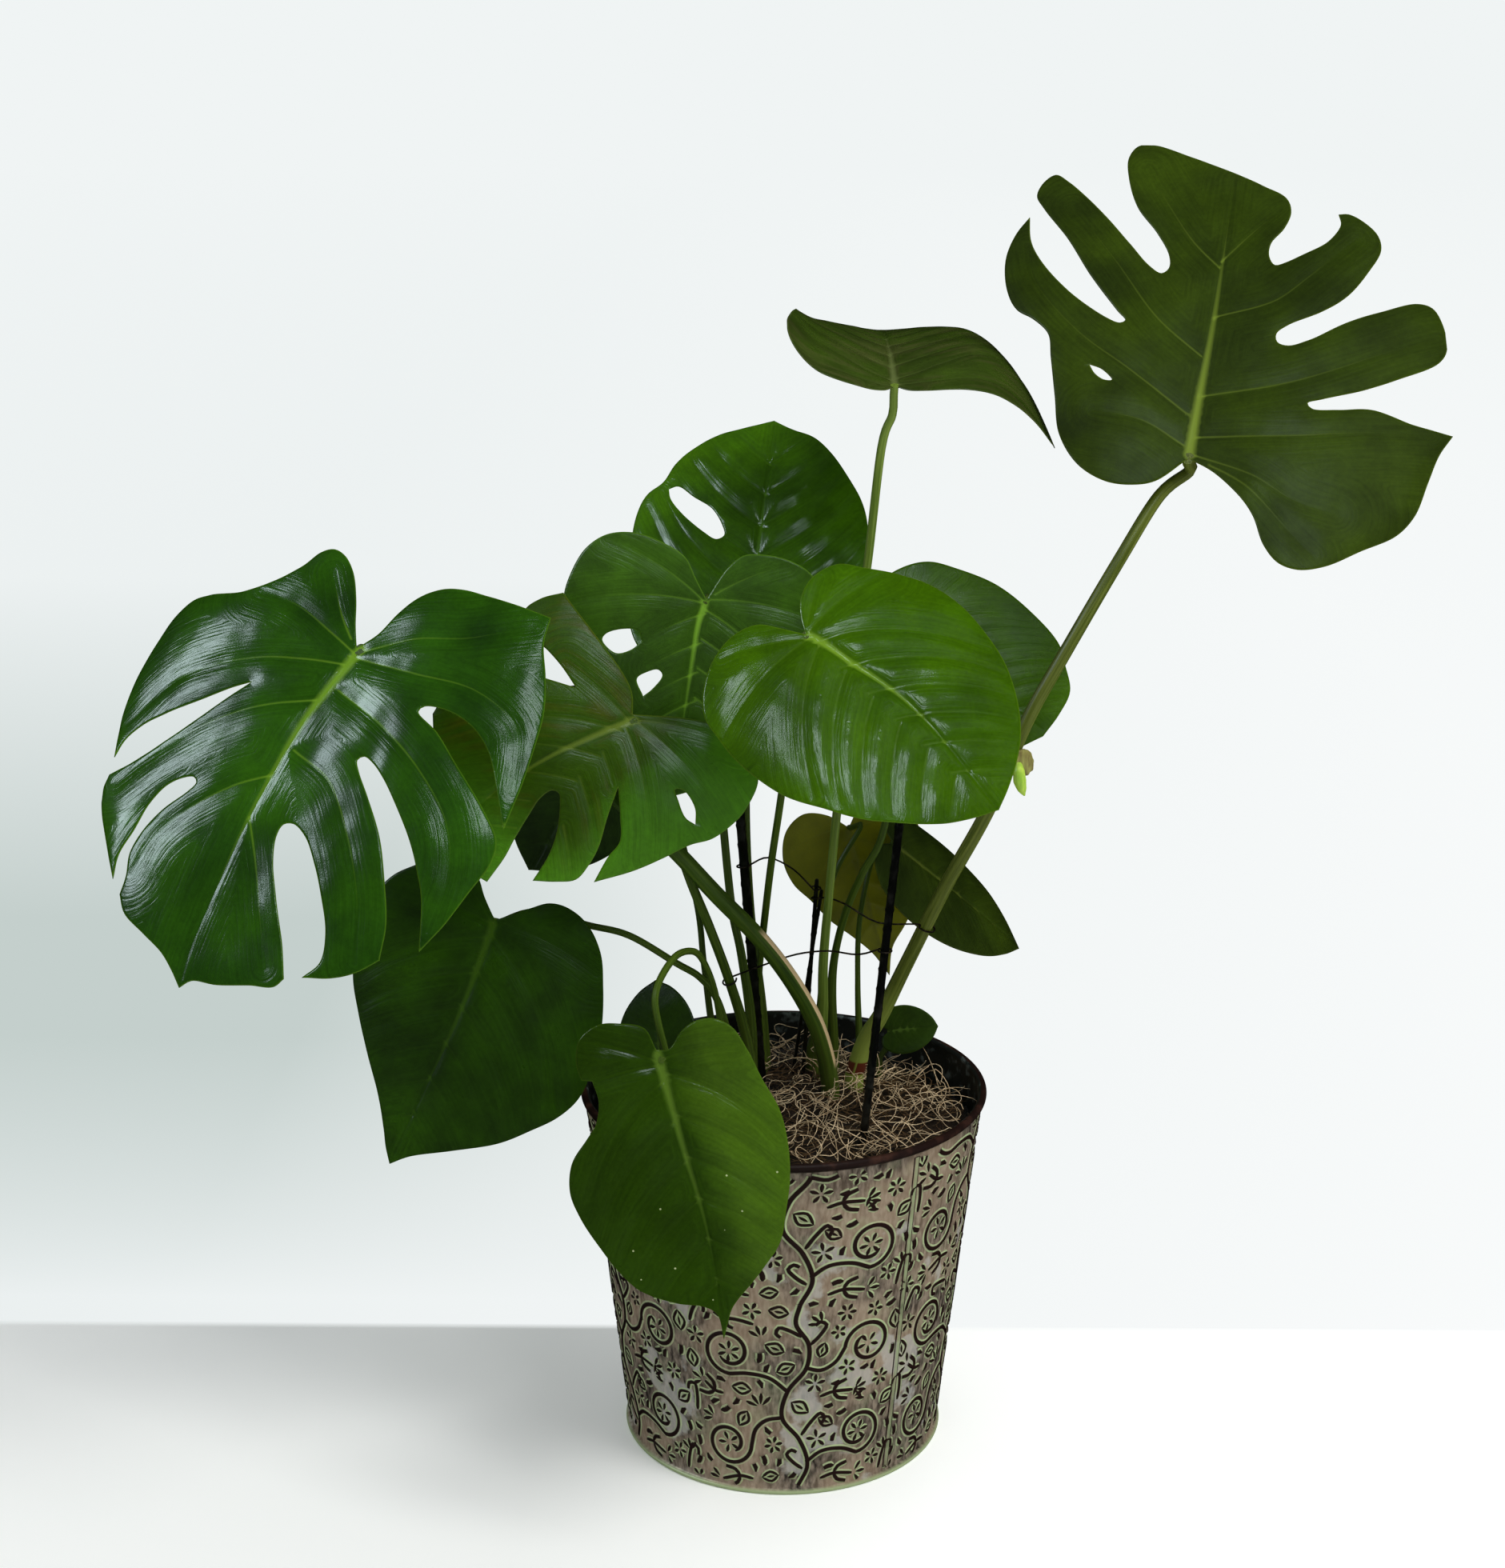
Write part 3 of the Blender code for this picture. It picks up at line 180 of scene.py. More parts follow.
def close_tree(tree, shape, finish, result):
    """The end of a Geometry Nodes tree: its copies made real, and its material set."""
    real = add_node(tree, "GeometryNodeRealizeInstances", {"Geometry": shape}).outputs[0]
    dressed = add_node(tree, "GeometryNodeSetMaterial", {"Geometry": real, "Material": finish})
    tree.links.new(dressed.outputs[0], result[0])
    return tree

# %% Colours and materials
def tone(red, green, blue):
    """A colour given as a picture shows it, 0 to 255, turned into the light values that shaders use."""
    shares = [value / 255 for value in (red, green, blue)]
    light = [s / 12.92 if s <= 0.04045 else ((s + 0.055) / 1.055) ** 2.4 for s in shares]
    return (*light, 1.0)


def new_finish(name):
    """A material and its tree."""
    finish = bpy.data.materials.new(name)
    finish.use_nodes = True
    return finish, finish.node_tree


def complete(finish, colour, roughness, bump=None, **values):
    """Colour, roughness and bump of a material. Plain values go onto the shader's own sockets."""
    tree = finish.node_tree
    named = {key.replace("_", " "): value for key, value in values.items()}
    named |= {"Base Color": colour, "Roughness": roughness}
    shader = fill_sockets(tree, tree.nodes["Principled BSDF"], named)
    if bump:
        raised = add_node(tree, "ShaderNodeBump", zip(("Strength", "Distance", "Height", "Normal"), bump))
        tree.links.new(raised.outputs["Normal"], shader.inputs["Normal"])
    return finish

# %% Meshes and pieces
def new_mesh(name, points, faces, edges=()):
    mesh = bpy.data.meshes.new(name)
    mesh.from_pydata(points, edges, faces)
    return mesh


def turn_faces_out(mesh, merge=0.0):
    """Turns all faces outwards, once points that lie closer together than merge are one."""
    form = bmesh.new()
    form.from_mesh(mesh)
    if merge:
        bmesh.ops.remove_doubles(form, verts=form.verts, dist=merge)
    bmesh.ops.recalc_face_normals(form, faces=form.faces)
    form.to_mesh(mesh)
    form.free()


def move_points(mesh, rule):
    """Moves a mesh's points by a rule that takes all their places at once."""
    places = np.empty(len(mesh.vertices) * 3)
    mesh.vertices.foreach_get("co", places)
    mesh.vertices.foreach_set("co", rule(places.reshape(-1, 3)).ravel())
    mesh.update()


def into_scene(name, data):
    made = bpy.data.objects.new(name, data)
    bpy.context.scene.collection.objects.link(made)
    return made


def add_piece(name, mesh, finishes):
    """A finished piece at the origin, with its materials."""
    for finish in finishes:
        mesh.materials.append(finish)
    return into_scene(name, mesh)


def into_mesh(source, name):
    """The source as its modifiers leave it, as a plain mesh piece. The source itself is removed."""
    graph = bpy.context.evaluated_depsgraph_get()
    mesh = bpy.data.meshes.new_from_object(source.evaluated_get(graph), depsgraph=graph)
    bpy.data.objects.remove(source, do_unlink=True)
    mesh.name = name
    return into_scene(name, mesh)

# %% [markdown]
# ## Camera and stage
#
# The camera stands about a metre and a half in front of the plant, a little above it, and looks slightly
# down, as the photograph does. The floor is one very large pale sheet. Behind the pot its tone turns a little
# greyer, which reads as the wall of a studio and hides nothing when the plant is seen from behind.

# %% The camera
CAMERA_PLACE = (0, -1.5302, 0.8696)
CAMERA_DOWN = math.radians(15.841)
CAMERA_TURN = math.radians(0.748)
CAMERA_LENS = 58.78
PICTURE_LONG_SIDE = 36
CAMERA_FAR = 2000

camera = into_scene("camera", bpy.data.cameras.new("camera"))
camera.location = CAMERA_PLACE
camera.rotation_euler = (math.pi / 2 - CAMERA_DOWN, 0, CAMERA_TURN)
camera.data.lens = CAMERA_LENS
camera.data.sensor_width = PICTURE_LONG_SIDE
camera.data.sensor_fit = "AUTO"
camera.data.clip_end = CAMERA_FAR
bpy.context.scene.camera = camera
bpy.context.scene.view_settings.view_transform = "Standard"
print("lens:", CAMERA_LENS, "mm, view:", bpy.context.scene.view_settings.view_transform)

# %% The floor and what lies far behind it
FLOOR_REACH = 600
WALL_LINE = 0.117
WALL_SOFTNESS = 4 * MM
WALL_FAR = 20.0
WALL_FADE = 0.9
FLOOR_TONE = tone(250, 251, 251)
FLOOR_GLOW = tone(124, 125, 125)
# Painted shadow: the near floor's own glow is lower on the left of the pot, where a soft shadow of the plant
# lies.
FLOOR_GLOW_IN_PAINTED_SHADOW = tone(54, 55, 55)
FLOOR_PAINTED_SHADOW_SPAN = (-0.16, 0.10)
# Painted shade behind the wall line: the glow is darker low on the left and lighter far away.
WALL_LOW_LEFT = tone(230, 236, 236)
WALL_LOW_RIGHT = tone(254, 255, 255)
WALL_HIGH = tone(240, 244, 244)
# A painted shadow of the plant on the wall, on the left.
WALL_SHADE = tone(196, 207, 204)
SHADE_RISE = (0.06, 0.34)
SHADE_FALL = (0.62, 0.42)
SHADE_LEFT = (0.0, -0.45)


def floor_finish():
    """Lit by the lamps near the pot, and by a glow of its own that holds painted shadow and painted shade."""
    finish, tree = new_finish("pale floor")
    x, y, _ = split(tree, own_place(tree))
    behind = ramp(tree, y, WALL_LINE - WALL_SOFTNESS, WALL_LINE + WALL_SOFTNESS)
    far = calculate(tree, "LOGARITHM", calculate(tree, "MAXIMUM", y, WALL_LINE), 10.0)
    high = ramp(tree, far, math.log10(WALL_LINE), math.log10(WALL_FAR))
    # Painted shade: darker low on the left, lighter far away, and a painted shadow band on the left.
    low = blend_colours(tree, ramp(tree, x, -WALL_FADE, WALL_FADE), WALL_LOW_LEFT, WALL_LOW_RIGHT)
    painted_shadow_band = times(tree, ramp(tree, high, *SHADE_RISE), ramp(tree, high, *SHADE_FALL))
    painted_shadow_band = times(tree, painted_shadow_band, ramp(tree, x, *SHADE_LEFT))
    wall = blend_colours(tree, painted_shadow_band, blend_colours(tree, high, low, WALL_HIGH), WALL_SHADE)
    # Painted shadow: the floor's glow dims towards the left of the pot.
    lit = blend_colours(tree, ramp(tree, x, *FLOOR_PAINTED_SHADOW_SPAN), FLOOR_GLOW_IN_PAINTED_SHADOW, FLOOR_GLOW)
    glow = blend_colours(tree, behind, lit, wall)
    colour = blend_colours(tree, behind, FLOOR_TONE, tone(0, 0, 0))
    return complete(finish, colour, 1.0, Emission_Color=glow, Emission_Strength=1.0, Specular_IOR_Level=0.0)


corners = [(x * FLOOR_REACH, y * FLOOR_REACH, 0) for x, y in ((-1, -1), (1, -1), (1, 1), (-1, 1))]
floor = add_piece("floor", new_mesh("floor", corners, [(0, 1, 2, 3)]), [floor_finish()])
floor.visible_glossy = False
floor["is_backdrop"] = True

# %% [markdown]
# ## Light
#
# A wide soft light from above on the right shapes the plant and lays its faint shadow to the left. It is kept
# out of reflections. The gloss comes from two cool window-like lights that are seen in reflections alone, so
# their size and place can be chosen for the highlights. The sky is pale where the camera sees it and left out
# of reflections, because a bright surrounding would lay a grey veil over dark glossy leaves.

# %% The lights
SUBJECT_MIDDLE = Vector((-0.05, -0.03, 0.45))
LIGHTS = {
    "soft light above": dict(
        way=(0.45, -0.42, 0.79), far=3.4, size=(1.6, 1.6), watts=74, colour=(1.0, 0.99, 0.95), gloss=False,
    ),
    "window on the left": dict(
        way=(-0.80, -0.18, 0.56), far=2.6, size=(0.55, 1.0), watts=33, colour=(0.78, 0.92, 1.0), gloss=True,
    ),
    "window in front": dict(
        way=(0.04, -0.63, 0.78), far=2.8, size=(0.6, 0.5), watts=13, colour=(0.82, 0.94, 1.0), gloss=True,
    ),
}

for name, light in LIGHTS.items():
    lamp = bpy.data.lights.new(name, "AREA")
    lamp.shape = "RECTANGLE"
    lamp.size, lamp.size_y = light["size"]
    lamp.energy = light["watts"]
    lamp.color = light["colour"]
    holder = into_scene(name, lamp)
    way = Vector(light["way"]).normalized()
    holder.location = SUBJECT_MIDDLE + way * light["far"]
    holder.rotation_euler = (-way).to_track_quat("-Z", "Y").to_euler()
    holder.visible_glossy = light["gloss"]
    holder.visible_diffuse = not light["gloss"]
print("lights:", len(LIGHTS))

# %% The sky
SKY_SEEN = 1.0
SKY_LIGHT = 0.62
SKY_COLOUR = WALL_HIGH

world = bpy.data.worlds.new("sky")
bpy.context.scene.world = world
world.use_nodes = True
world.cycles_visibility.glossy = False
seen = add_node(world.node_tree, "ShaderNodeLightPath").outputs["Is Camera Ray"]
glow = {"Color": SKY_COLOUR, "Strength": ramp(world.node_tree, seen, 0, 1, SKY_LIGHT, SKY_SEEN)}
fill_sockets(world.node_tree, world.node_tree.nodes["Background"], glow)
print("sky:", world.name)

# %% [markdown]
# ## Effects that several materials share
#
# Real surfaces are never one even colour. Three small node groups are made once and used in many materials:
# soft patches, long streaks that follow a stem or a brushed sheet, and small specks.

# %% Shader groups: patches, streaks and specks
def make_patches():
    group, given, result = new_tree("ShaderNodeTree", "patches", {
        "Place": "Vector", "Scale": 30.0, "Detail": 4.0, "Low": 0.35, "High": 0.65,
    }, {"Mask": "Float"})
    cloud = cloud_noise(group, given["Place"], given["Scale"], given["Detail"])
    group.links.new(ramp(group, cloud, given["Low"], given["High"]), result["Mask"])
    return group


def make_streaks():
    group, given, result = new_tree("ShaderNodeTree", "streaks", {
        "Place": "Vector", "Stretch": (1.0, 1.0, 1.0), "Low": 0.35, "High": 0.65,
    }, {"Mask": "Float", "Height": "Float"})
    both = {0: given["Place"], 1: given["Stretch"]}
    pulled = add_node(group, "ShaderNodeVectorMath", both, operation="MULTIPLY").outputs[0]
    grain = cloud_noise(group, pulled, 1.0, 5.0)
    group.links.new(ramp(group, grain, given["Low"], given["High"]), result["Mask"])
    group.links.new(grain, result["Height"])
    return group


def make_specks():
    group, given, result = new_tree("ShaderNodeTree", "specks", {
        "Place": "Vector", "Scale": 300.0, "Size": 0.15, "Share": 0.3,
    }, {"Mask": "Float"})
    sizes = {"Vector": given["Place"], "Scale": given["Scale"]}
    cells = add_node(group, "ShaderNodeTexVoronoi", sizes).outputs
    near = calculate(group, "LESS_THAN", cells["Distance"], given["Size"])
    drawn = add_node(group, "ShaderNodeSeparateColor", {0: cells["Color"]}).outputs[0]
    chosen = calculate(group, "LESS_THAN", drawn, given["Share"])
    group.links.new(times(group, near, chosen), result["Mask"])
    return group


PATCHES, STREAKS, SPECKS = make_patches(), make_streaks(), make_specks()


def use_group(tree, group, **inputs):
    made = add_node(tree, "ShaderNodeGroup", node_tree=group)
    return fill_sockets(tree, made, {title.capitalize(): value for title, value in inputs.items()}).outputs


def patches(tree, place, scale, detail, low, high):
    """Soft patches: a noise's values from low to high are stretched to 0 and 1."""
    return use_group(tree, PATCHES, place=place, scale=scale, detail=detail, low=low, high=high)["Mask"]


def streaks(tree, place, stretch, low, high):
    """Long streaks, as a mask and as a height."""
    made = use_group(tree, STREAKS, place=place, stretch=stretch, low=low, high=high)
    return made["Mask"], made["Height"]


print("shader groups:", PATCHES.name, STREAKS.name, SPECKS.name)

# %% [markdown]
# ## The fifteen leaves
#
# A monstera's leaf starts as a plain heart and splits as it grows, so each blade has an outline of its own.
# An outline is a list of points in centimetres, with the joint at (0, 0) and the midrib along +Y. None means
# that the next point is a corner. Heading, rise and roll turn the blade in degrees. Bend holds the fold along
# the midrib, the fall of the two halves, the droop of the tip and the height of the waves. Curl makes the two
# halves fall more steeply near their edges, and scale makes the whole blade smaller. Where the photograph
# shows the side veins well they are given too; elsewhere a rule lays them out. Foot, thick and route belong
# to the stem: where it stands, its radii in millimetres, and the points that it passes.

# %% A table for the leaves
LEAVES = {}


def add_leaf(name, **facts):
    """A leaf has no holes, no curl and full size unless its facts say so."""
    LEAVES[name] = dict(holes=[], veins=[], curl=(0, 0), scale=1) | facts

# %% The tall leaf on the upper right
add_leaf("upper_right", joint=(0.244, 0.02, 0.636), heading=74, rise=57, roll=3, length=0.21,
         bend=(0.2, 2, 2, 0.12, 0.002), outline=[
    (0, 0), (1.5, -0.8), (3.3, -2.4), (4.2, -3.6), (5, -5.4), (6, -6.5), (7.2, -6.8), (8.7, -6.4),
    (10.7, -5.1), (12.6, -3.8), (13.6, -2.3), (14.2, 0), (14.7, 1.9), None, (15.4, 3.4), (13, 3.6),
    (10.5, 4.1), (8.5, 3.8), (7, 3.7), (6.7, 4.05), (7.5, 4.4), (10, 5.4), (12.2, 6.7), (14.2, 8.2),
    (14.6, 9.3), (14.2, 11), (13.5, 12), (12.6, 12.1), (10.6, 11.1), (8.5, 9.9), (6.4, 8.4), (5.2, 7.9),
    (4.5, 8.1), (4.4, 8.7), (5, 9.3), (7, 10.5), (8.4, 11.8), (9.5, 13.8), (10.1, 15.5), (9.8, 16.6),
    (8.8, 17.5), (7.9, 17.9), None, (7.3, 17.8), (7.5, 17), (6.8, 15.6), (5.5, 14.6), (4.4, 13.9),
    (3.8, 13.7), (3.4, 14.3), (3.4, 15.3), (4.1, 16.5), (4.4, 17.8), (4, 18.9), (2.5, 19.9), (0.2, 21.2),
    (-2.5, 22.3), (-4.8, 23.1), (-5.8, 23), (-6.3, 22), (-6.1, 20.3), (-5.2, 17.8), (-3.7, 15.8),
    (-2.8, 14.2), (-2.7, 13.2), (-3.1, 12.8), (-3.9, 13.3), (-5.3, 14.9), (-7.5, 17.5), (-9.9, 20),
    (-10.9, 20.7), (-11.6, 20.1), (-11.9, 19), (-11.3, 17.9), (-9.3, 15.2), (-7.5, 12.4), (-5.5, 9.8),
    (-4.9, 9.1), (-5.2, 8.9), (-6, 9.2), (-8.5, 11), (-10.6, 13.3), (-11.7, 15.2), None, (-12.1, 17.2),
    (-12.8, 15.9), (-13.2, 14), (-12.8, 11.6), (-11.9, 9.9), (-10.7, 9.1), (-9.6, 8), (-9.2, 6.3),
    (-8.6, 3.6), (-8, 1), (-6.6, -1), (-4.8, -2), (-3.2, -2.1), (-1.8, -1.7), None,
], holes=[
    [(-6.7, 5.8), (-5.9, 5.5), (-5.2, 4.8), (-5.7, 4.8), (-6.3, 5.2)],
], midrib=[(0, 0), (0.2, 4), (0.5, 9.8), (0.6, 20.5)], veins=[
    [(0.2, 1.4), (6, 1.8), (9, 2.3), (14, 3.2)],
    [(0.2, 4.2), (5, 5.2), (8, 6.5), (14, 10)],
    [(0.5, 9.8), (4, 11), (6, 13), (8.5, 16)],
    [(-0.5, 0.9), (-3, 2.2), (-6, 2.7)],
    [(-0.5, 3), (-4, 5.5), (-7.5, 8), (-11, 12), (-12, 15)],
    [(0, 7), (-3, 9.5), (-6, 13.5), (-9.5, 18)],
    [(0.1, 0.3), (4, -1), (6.5, -2.4), (9, -3)],
    [(0, 0.2), (3.5, -1.6), (6.5, -4.5), (8, -5.8)],
    [(0.4, 13.5), (-1.5, 15.5), (-3.5, 18.5), (-5, 21)],
    [(0.5, 14), (2.5, 16.5), (3.8, 18)],
], foot=(0.047, 0.034), thick=(6.8, 4.9, 3.8), route=[
    (0.054, 0.028, 0.255), (0.064, 0.02, 0.277), (0.078, 0.012, 0.312), (0.102, 0, 0.37),
    (0.127, -0.008, 0.423), (0.149, -0.01, 0.48), (0.17, -0.005, 0.519), (0.204, 0.012, 0.575),
    (0.229, 0.03, 0.611),
])

# %% The leaf at the top, seen from its edge
add_leaf("top", joint=(0.066, 0.03, 0.679), heading=91, rise=17, roll=2, length=0.15,
         bend=(0.36, 0.5, 3.8, 0.18, 0.001), curl=(-22, 12), outline=[
    (0, 0), (1, -0.9), (3, -1.4), (5.5, -1.6), (7.8, -0.6), (9.8, 1.6), None, (10.8, 4.4), (10.3, 7.4),
    (8.7, 9.7), (6.9, 10.8), (4.9, 11.5), (2.2, 13), None, (0, 14.6), (-1.8, 12.8), (-3.4, 10.8),
    (-4.8, 9.5), None, (-5.9, 8.5), (-6.3, 5.6), (-6.6, 2.6), (-6.3, 0), (-4.4, -1.6), (-2, -1.5),
    (-0.6, -0.8), None,
], midrib=[(0, 0), (0, 14.6)], foot=(0.024, 0.052), thick=(4.6, 3.2, 2.8), route=[
    (0.026, 0.05, 0.267), (0.026, 0.048, 0.301), (0.029, 0.046, 0.344), (0.034, 0.048, 0.404),
    (0.045, 0.055, 0.514), (0.052, 0.052, 0.567), (0.059, 0.04, 0.639),
])

# %% The leaf at the back, with one hole
add_leaf("back", joint=(-0.021, 0.1, 0.505), heading=81, rise=61, roll=-1, length=0.16,
         bend=(0.15, 2, 2, 0.15, 0.002), outline=[
    (0, 0), (0.8, -1.5), (2.5, -2.6), (4.5, -1.8), (6, 1), (6.8, 4), (7, 6.5), (6.8, 8.5), (6.3, 10),
    (5.4, 11.5), (4, 13.4), (2.6, 14.7), (1.2, 15.3), None, (-0.3, 16.1), (-2.2, 15.5), (-3.8, 14.9),
    (-5.5, 13.7), (-6.6, 12.5), (-7.3, 11.1), (-8.3, 10.2), (-8.8, 8.8), (-8.9, 6), (-8.8, 2.5),
    (-7.8, -0.5), (-5.6, -2.5), (-3, -2.8), (-0.9, -1.5), None,
], holes=[
    [(-6.8, 10.6), (-6.2, 10.8), (-5, 10), (-3.7, 9.2), (-2.8, 7.9), (-2.6, 7.2), (-3.1, 6.9), (-4, 7.4),
     (-5.6, 8.7), (-6.6, 9.9)],
], midrib=[(0, 0), (-0.2, 4), (-0.2, 11.5), (-0.3, 16)],
         foot=(-0.012, 0.068), thick=(4.2, 3, 2.6), route=[
    (-0.015, 0.068, 0.27), (-0.022, 0.071, 0.33), (-0.025, 0.076, 0.4), (-0.023, 0.095, 0.46),
])

# %% The middle leaf, with two holes
add_leaf("middle", joint=(-0.048, 0, 0.552), heading=-116, rise=-74, roll=-23, length=0.123,
         bend=(0.2, 2, 2, 0.05, 0.002), outline=[
    (0, 0), (0.8, -1.2), (1.6, -2.4), (3, -3.1), (4.8, -3.5), (6.5, -3.2), (7.7, -2.2), (8.4, -0.7),
    (8.7, 1), (8.2, 3.6), (7, 6.4), (5.6, 8.7), (4, 10.4), (2.2, 11.6), None, (0.9, 12.3), (-1.4, 11.3),
    (-4, 9.9), (-6.2, 8), (-7.4, 5.6), (-7.9, 3), (-7.6, 0.5), (-7, -1.2), (-6, -2.4), (-4.5, -3),
    (-3, -3.1), (-1.9, -2.9), (-1, -2), None,
], holes=[
    [(3.6, 3), (4.2, 3.6), (5.1, 3.9), (6, 3.2), (5.8, 2.8), (4.8, 2.4), (3.9, 2.4)],
    [(3.1, 6.3), (3.6, 5.3), (3, 4.8), (2.4, 4.6), (2.1, 4.9), (2.6, 5.8)],
], midrib=[(0, 0), (0.3, 1.5), (0.4, 4), (0.5, 7), (0.8, 12)],
         foot=(-0.02, 0.022), thick=(4.4, 2.9, 2.6), route=[
    (-0.021, 0.018, 0.273), (-0.027, 0.012, 0.319), (-0.033, 0.012, 0.35), (-0.038, 0.015, 0.4),
    (-0.044, 0.02, 0.472), (-0.046, 0.023, 0.518),
])

# %% The large split leaf on the left
add_leaf("left", joint=(-0.245, -0.09, 0.541), heading=-126, rise=-48, roll=-16, length=0.22,
         bend=(0.2, 2, 2, 0.12, 0.002), outline=[
    (0.3, 0), (1, -1.3), (1.8, -2.9), (2.8, -4.4), (3.8, -5.2), (4.6, -5.35), (5.3, -4.9), (6, -3.7),
    (7.3, -2.3), (9, -1.1), (11, -0.5), (12.1, 0.1), (12.7, 1.2), (13.1, 3.3), (13.3, 5.5), (13.1, 7.8),
    (12.6, 9.3), None, (12.1, 10.6), (11.9, 9.4), (11.2, 8.4), (9.8, 7.3), (7.8, 5.9), (6.3, 4.7), None,
    (5.3, 4), (6.2, 5.3), (7.5, 7.1), (9.3, 9.3), (10.6, 10.7), None, (11.8, 11.7), (11.7, 12.7),
    (11, 14), (9.7, 15.6), None, (8.2, 17.4), (8.5, 16), (8.2, 14.4), (8, 12.7), (7.4, 11.4), (6.6, 10.7),
    (5.9, 10.45), (5.6, 10.7), (5.9, 11.4), (6.9, 12.7), (7.6, 14.3), (7.8, 15.7), (7.4, 17), None,
    (7.3, 18.1), (6.5, 19), (4.8, 19.7), (3.3, 20.3), (2.3, 21), None, (1.5, 21.7), (1, 21.1),
    (-0.5, 20.8), (-2.5, 20.2), (-4, 19.8), None, (-4.4, 19.2), (-3.5, 17.5), (-2, 15.2), (-0.9, 13.4),
    (-0.4, 12), (-0.5, 11.2), (-1.1, 11), (-2.2, 11.5), (-3.5, 12.8), (-4.8, 14.5), (-5.8, 16.2),
    (-6.1, 17.7), None, (-5.4, 18.8), (-7, 18.3), (-8.3, 17.5), None, (-9.3, 16.4), (-8.9, 14.5),
    (-7.9, 12.4), (-6.5, 10.1), (-4.8, 8.2), (-3.6, 7), (-3.2, 6.4), (-3.5, 6.1), (-4.2, 6.3), (-5.3, 7),
    (-6.8, 8.3), (-8.3, 9.8), (-9.3, 11.1), (-10.2, 12.5), None, (-11.2, 15.2), (-11.9, 13.4),
    (-12.5, 11), (-12.9, 9.2), (-12.7, 7.9), (-11.4, 6.6), (-8.8, 4.7), (-7, 3.4), (-5.4, 2.6),
    (-5.6, 2.2), (-7.2, 2), (-8.8, 2.4), (-10.2, 3.4), (-11.4, 5), None, (-12.8, 7.2), (-12.7, 4.5),
    (-12.4, 2.2), (-12, 0), (-11.2, -2), (-10.3, -3.8), None, (-10, -5.4), (-8, -5.4), (-6, -5.35),
    (-4.4, -5.3), (-3, -4.9), (-2, -4.1), (-1.2, -2.8), (-0.6, -1.2), None,
], midrib=[(0, 0), (0.5, 2.2), (1.1, 5), (1.5, 9), (1.7, 13), (1.8, 17), (1.8, 20), (1.5, 21.7)], veins=[
    [(0.5, 1.2), (3, 1.7), (6, 2.6), (10, 5), (12.3, 8.5)],
    [(0.4, 0.3), (2, -0.3), (5, -1.3), (8, -1.5)],
    [(0.3, 0.1), (2, -1.5), (4, -4)],
    [(1.1, 3.8), (4, 5.2), (6.5, 7), (9.5, 10), (11, 12)],
    [(1.5, 8.8), (3.5, 10.3), (6.5, 14), (7.2, 17)],
    [(0, 2.8), (-3.5, 4), (-7, 5.8), (-9.7, 8), (-11, 10.5), (-11.3, 14)],
    [(0.9, 7), (-2, 8), (-4.5, 10.5), (-6.6, 13.5), (-8, 17)],
    [(0.4, 0.6), (-4, 0.5), (-8, 0.3), (-11, 1.5), (-12.4, 5)],
    [(0.3, 0.4), (-3, -1.5), (-6, -2.5), (-9.5, -4.5)],
    [(1.6, 11.5), (0.3, 13.5), (-1.5, 16.5), (-3, 19)],
], foot=(0.031, 0.012), thick=(6.6, 5.6, 3.9), route=[
    (0.027, 0.005, 0.254), (0.019, -0.004, 0.282), (0.003, -0.016, 0.315), (-0.017, -0.028, 0.346),
    (-0.041, -0.046, 0.378), (-0.066, -0.06, 0.411), (-0.09, -0.052, 0.43), (-0.117, -0.036, 0.448),
    (-0.184, -0.012, 0.482), (-0.22, -0.038, 0.509),
])

# %% The brown and green split leaf
add_leaf("brown_green", joint=(-0.09, -0.05, 0.489), heading=-156, rise=-42, roll=-55, length=0.15,
         bend=(0.15, 2, 2, 0.1, 0.002), outline=[
    (0.3, -0.2), (1.2, -1.1), (2.4, -1.6), (4.8, -2.1), (7, -2.5), None, (8.6, -2.8), (9.4, -1.6),
    (9.6, -0.4), (8.3, 0.4), (6.7, 0.45), (5.4, 0.6), None, (3.9, 0.95), (5.3, 1.6), (7.2, 2.5),
    (8.9, 4.2), (9.7, 6.2), None, (9.4, 7.9), (8.2, 9), (6.8, 10.2), (5.7, 11.4), (4.5, 12.7), None,
    (3, 13.8), (1.6, 13.4), None, (-0.1, 13), (0.1, 11.2), (0.4, 10), (0.7, 8.5), (0.9, 7.2), (0.7, 6.4),
    (0.3, 6.25), (-0.3, 6.8), (-1.2, 8), (-1.8, 9.4), None, (-2.1, 11.1), (-3.2, 10.2), (-4, 9.3),
    (-4, 8.2), (-3.7, 7), (-2.9, 5.4), None, (-2.1, 3.6), (-3.3, 4.7), (-4.4, 5.9), (-4.5, 7), None,
    (-4.9, 8.7), (-6.2, 6.6), (-7, 4.8), (-7.6, 3.2), (-8.3, 2), (-8.6, 0.2), (-8.5, -0.8), (-7.9, -2.4),
    (-6.4, -3.3), (-4.2, -3.2), (-2.1, -2.1), None,
], holes=[
    [(-7, 2.1), (-6.3, 2.2), (-5.2, 1.7), (-4.7, 1.4), (-5.1, 1.1), (-6.3, 1.4)],
], midrib=[(0, 0), (0.4, 0.8), (1.2, 2.6), (2.1, 4.8), (2.9, 7.5), (3.3, 10), (3.2, 13.5)],
         foot=(-0.018, 0.003), thick=(4.5, 3.4, 2.7), route=[
    (-0.024, 0.001, 0.268), (-0.034, -0.011, 0.309), (-0.046, -0.026, 0.35), (-0.058, -0.039, 0.387),
    (-0.074, -0.04, 0.437),
])

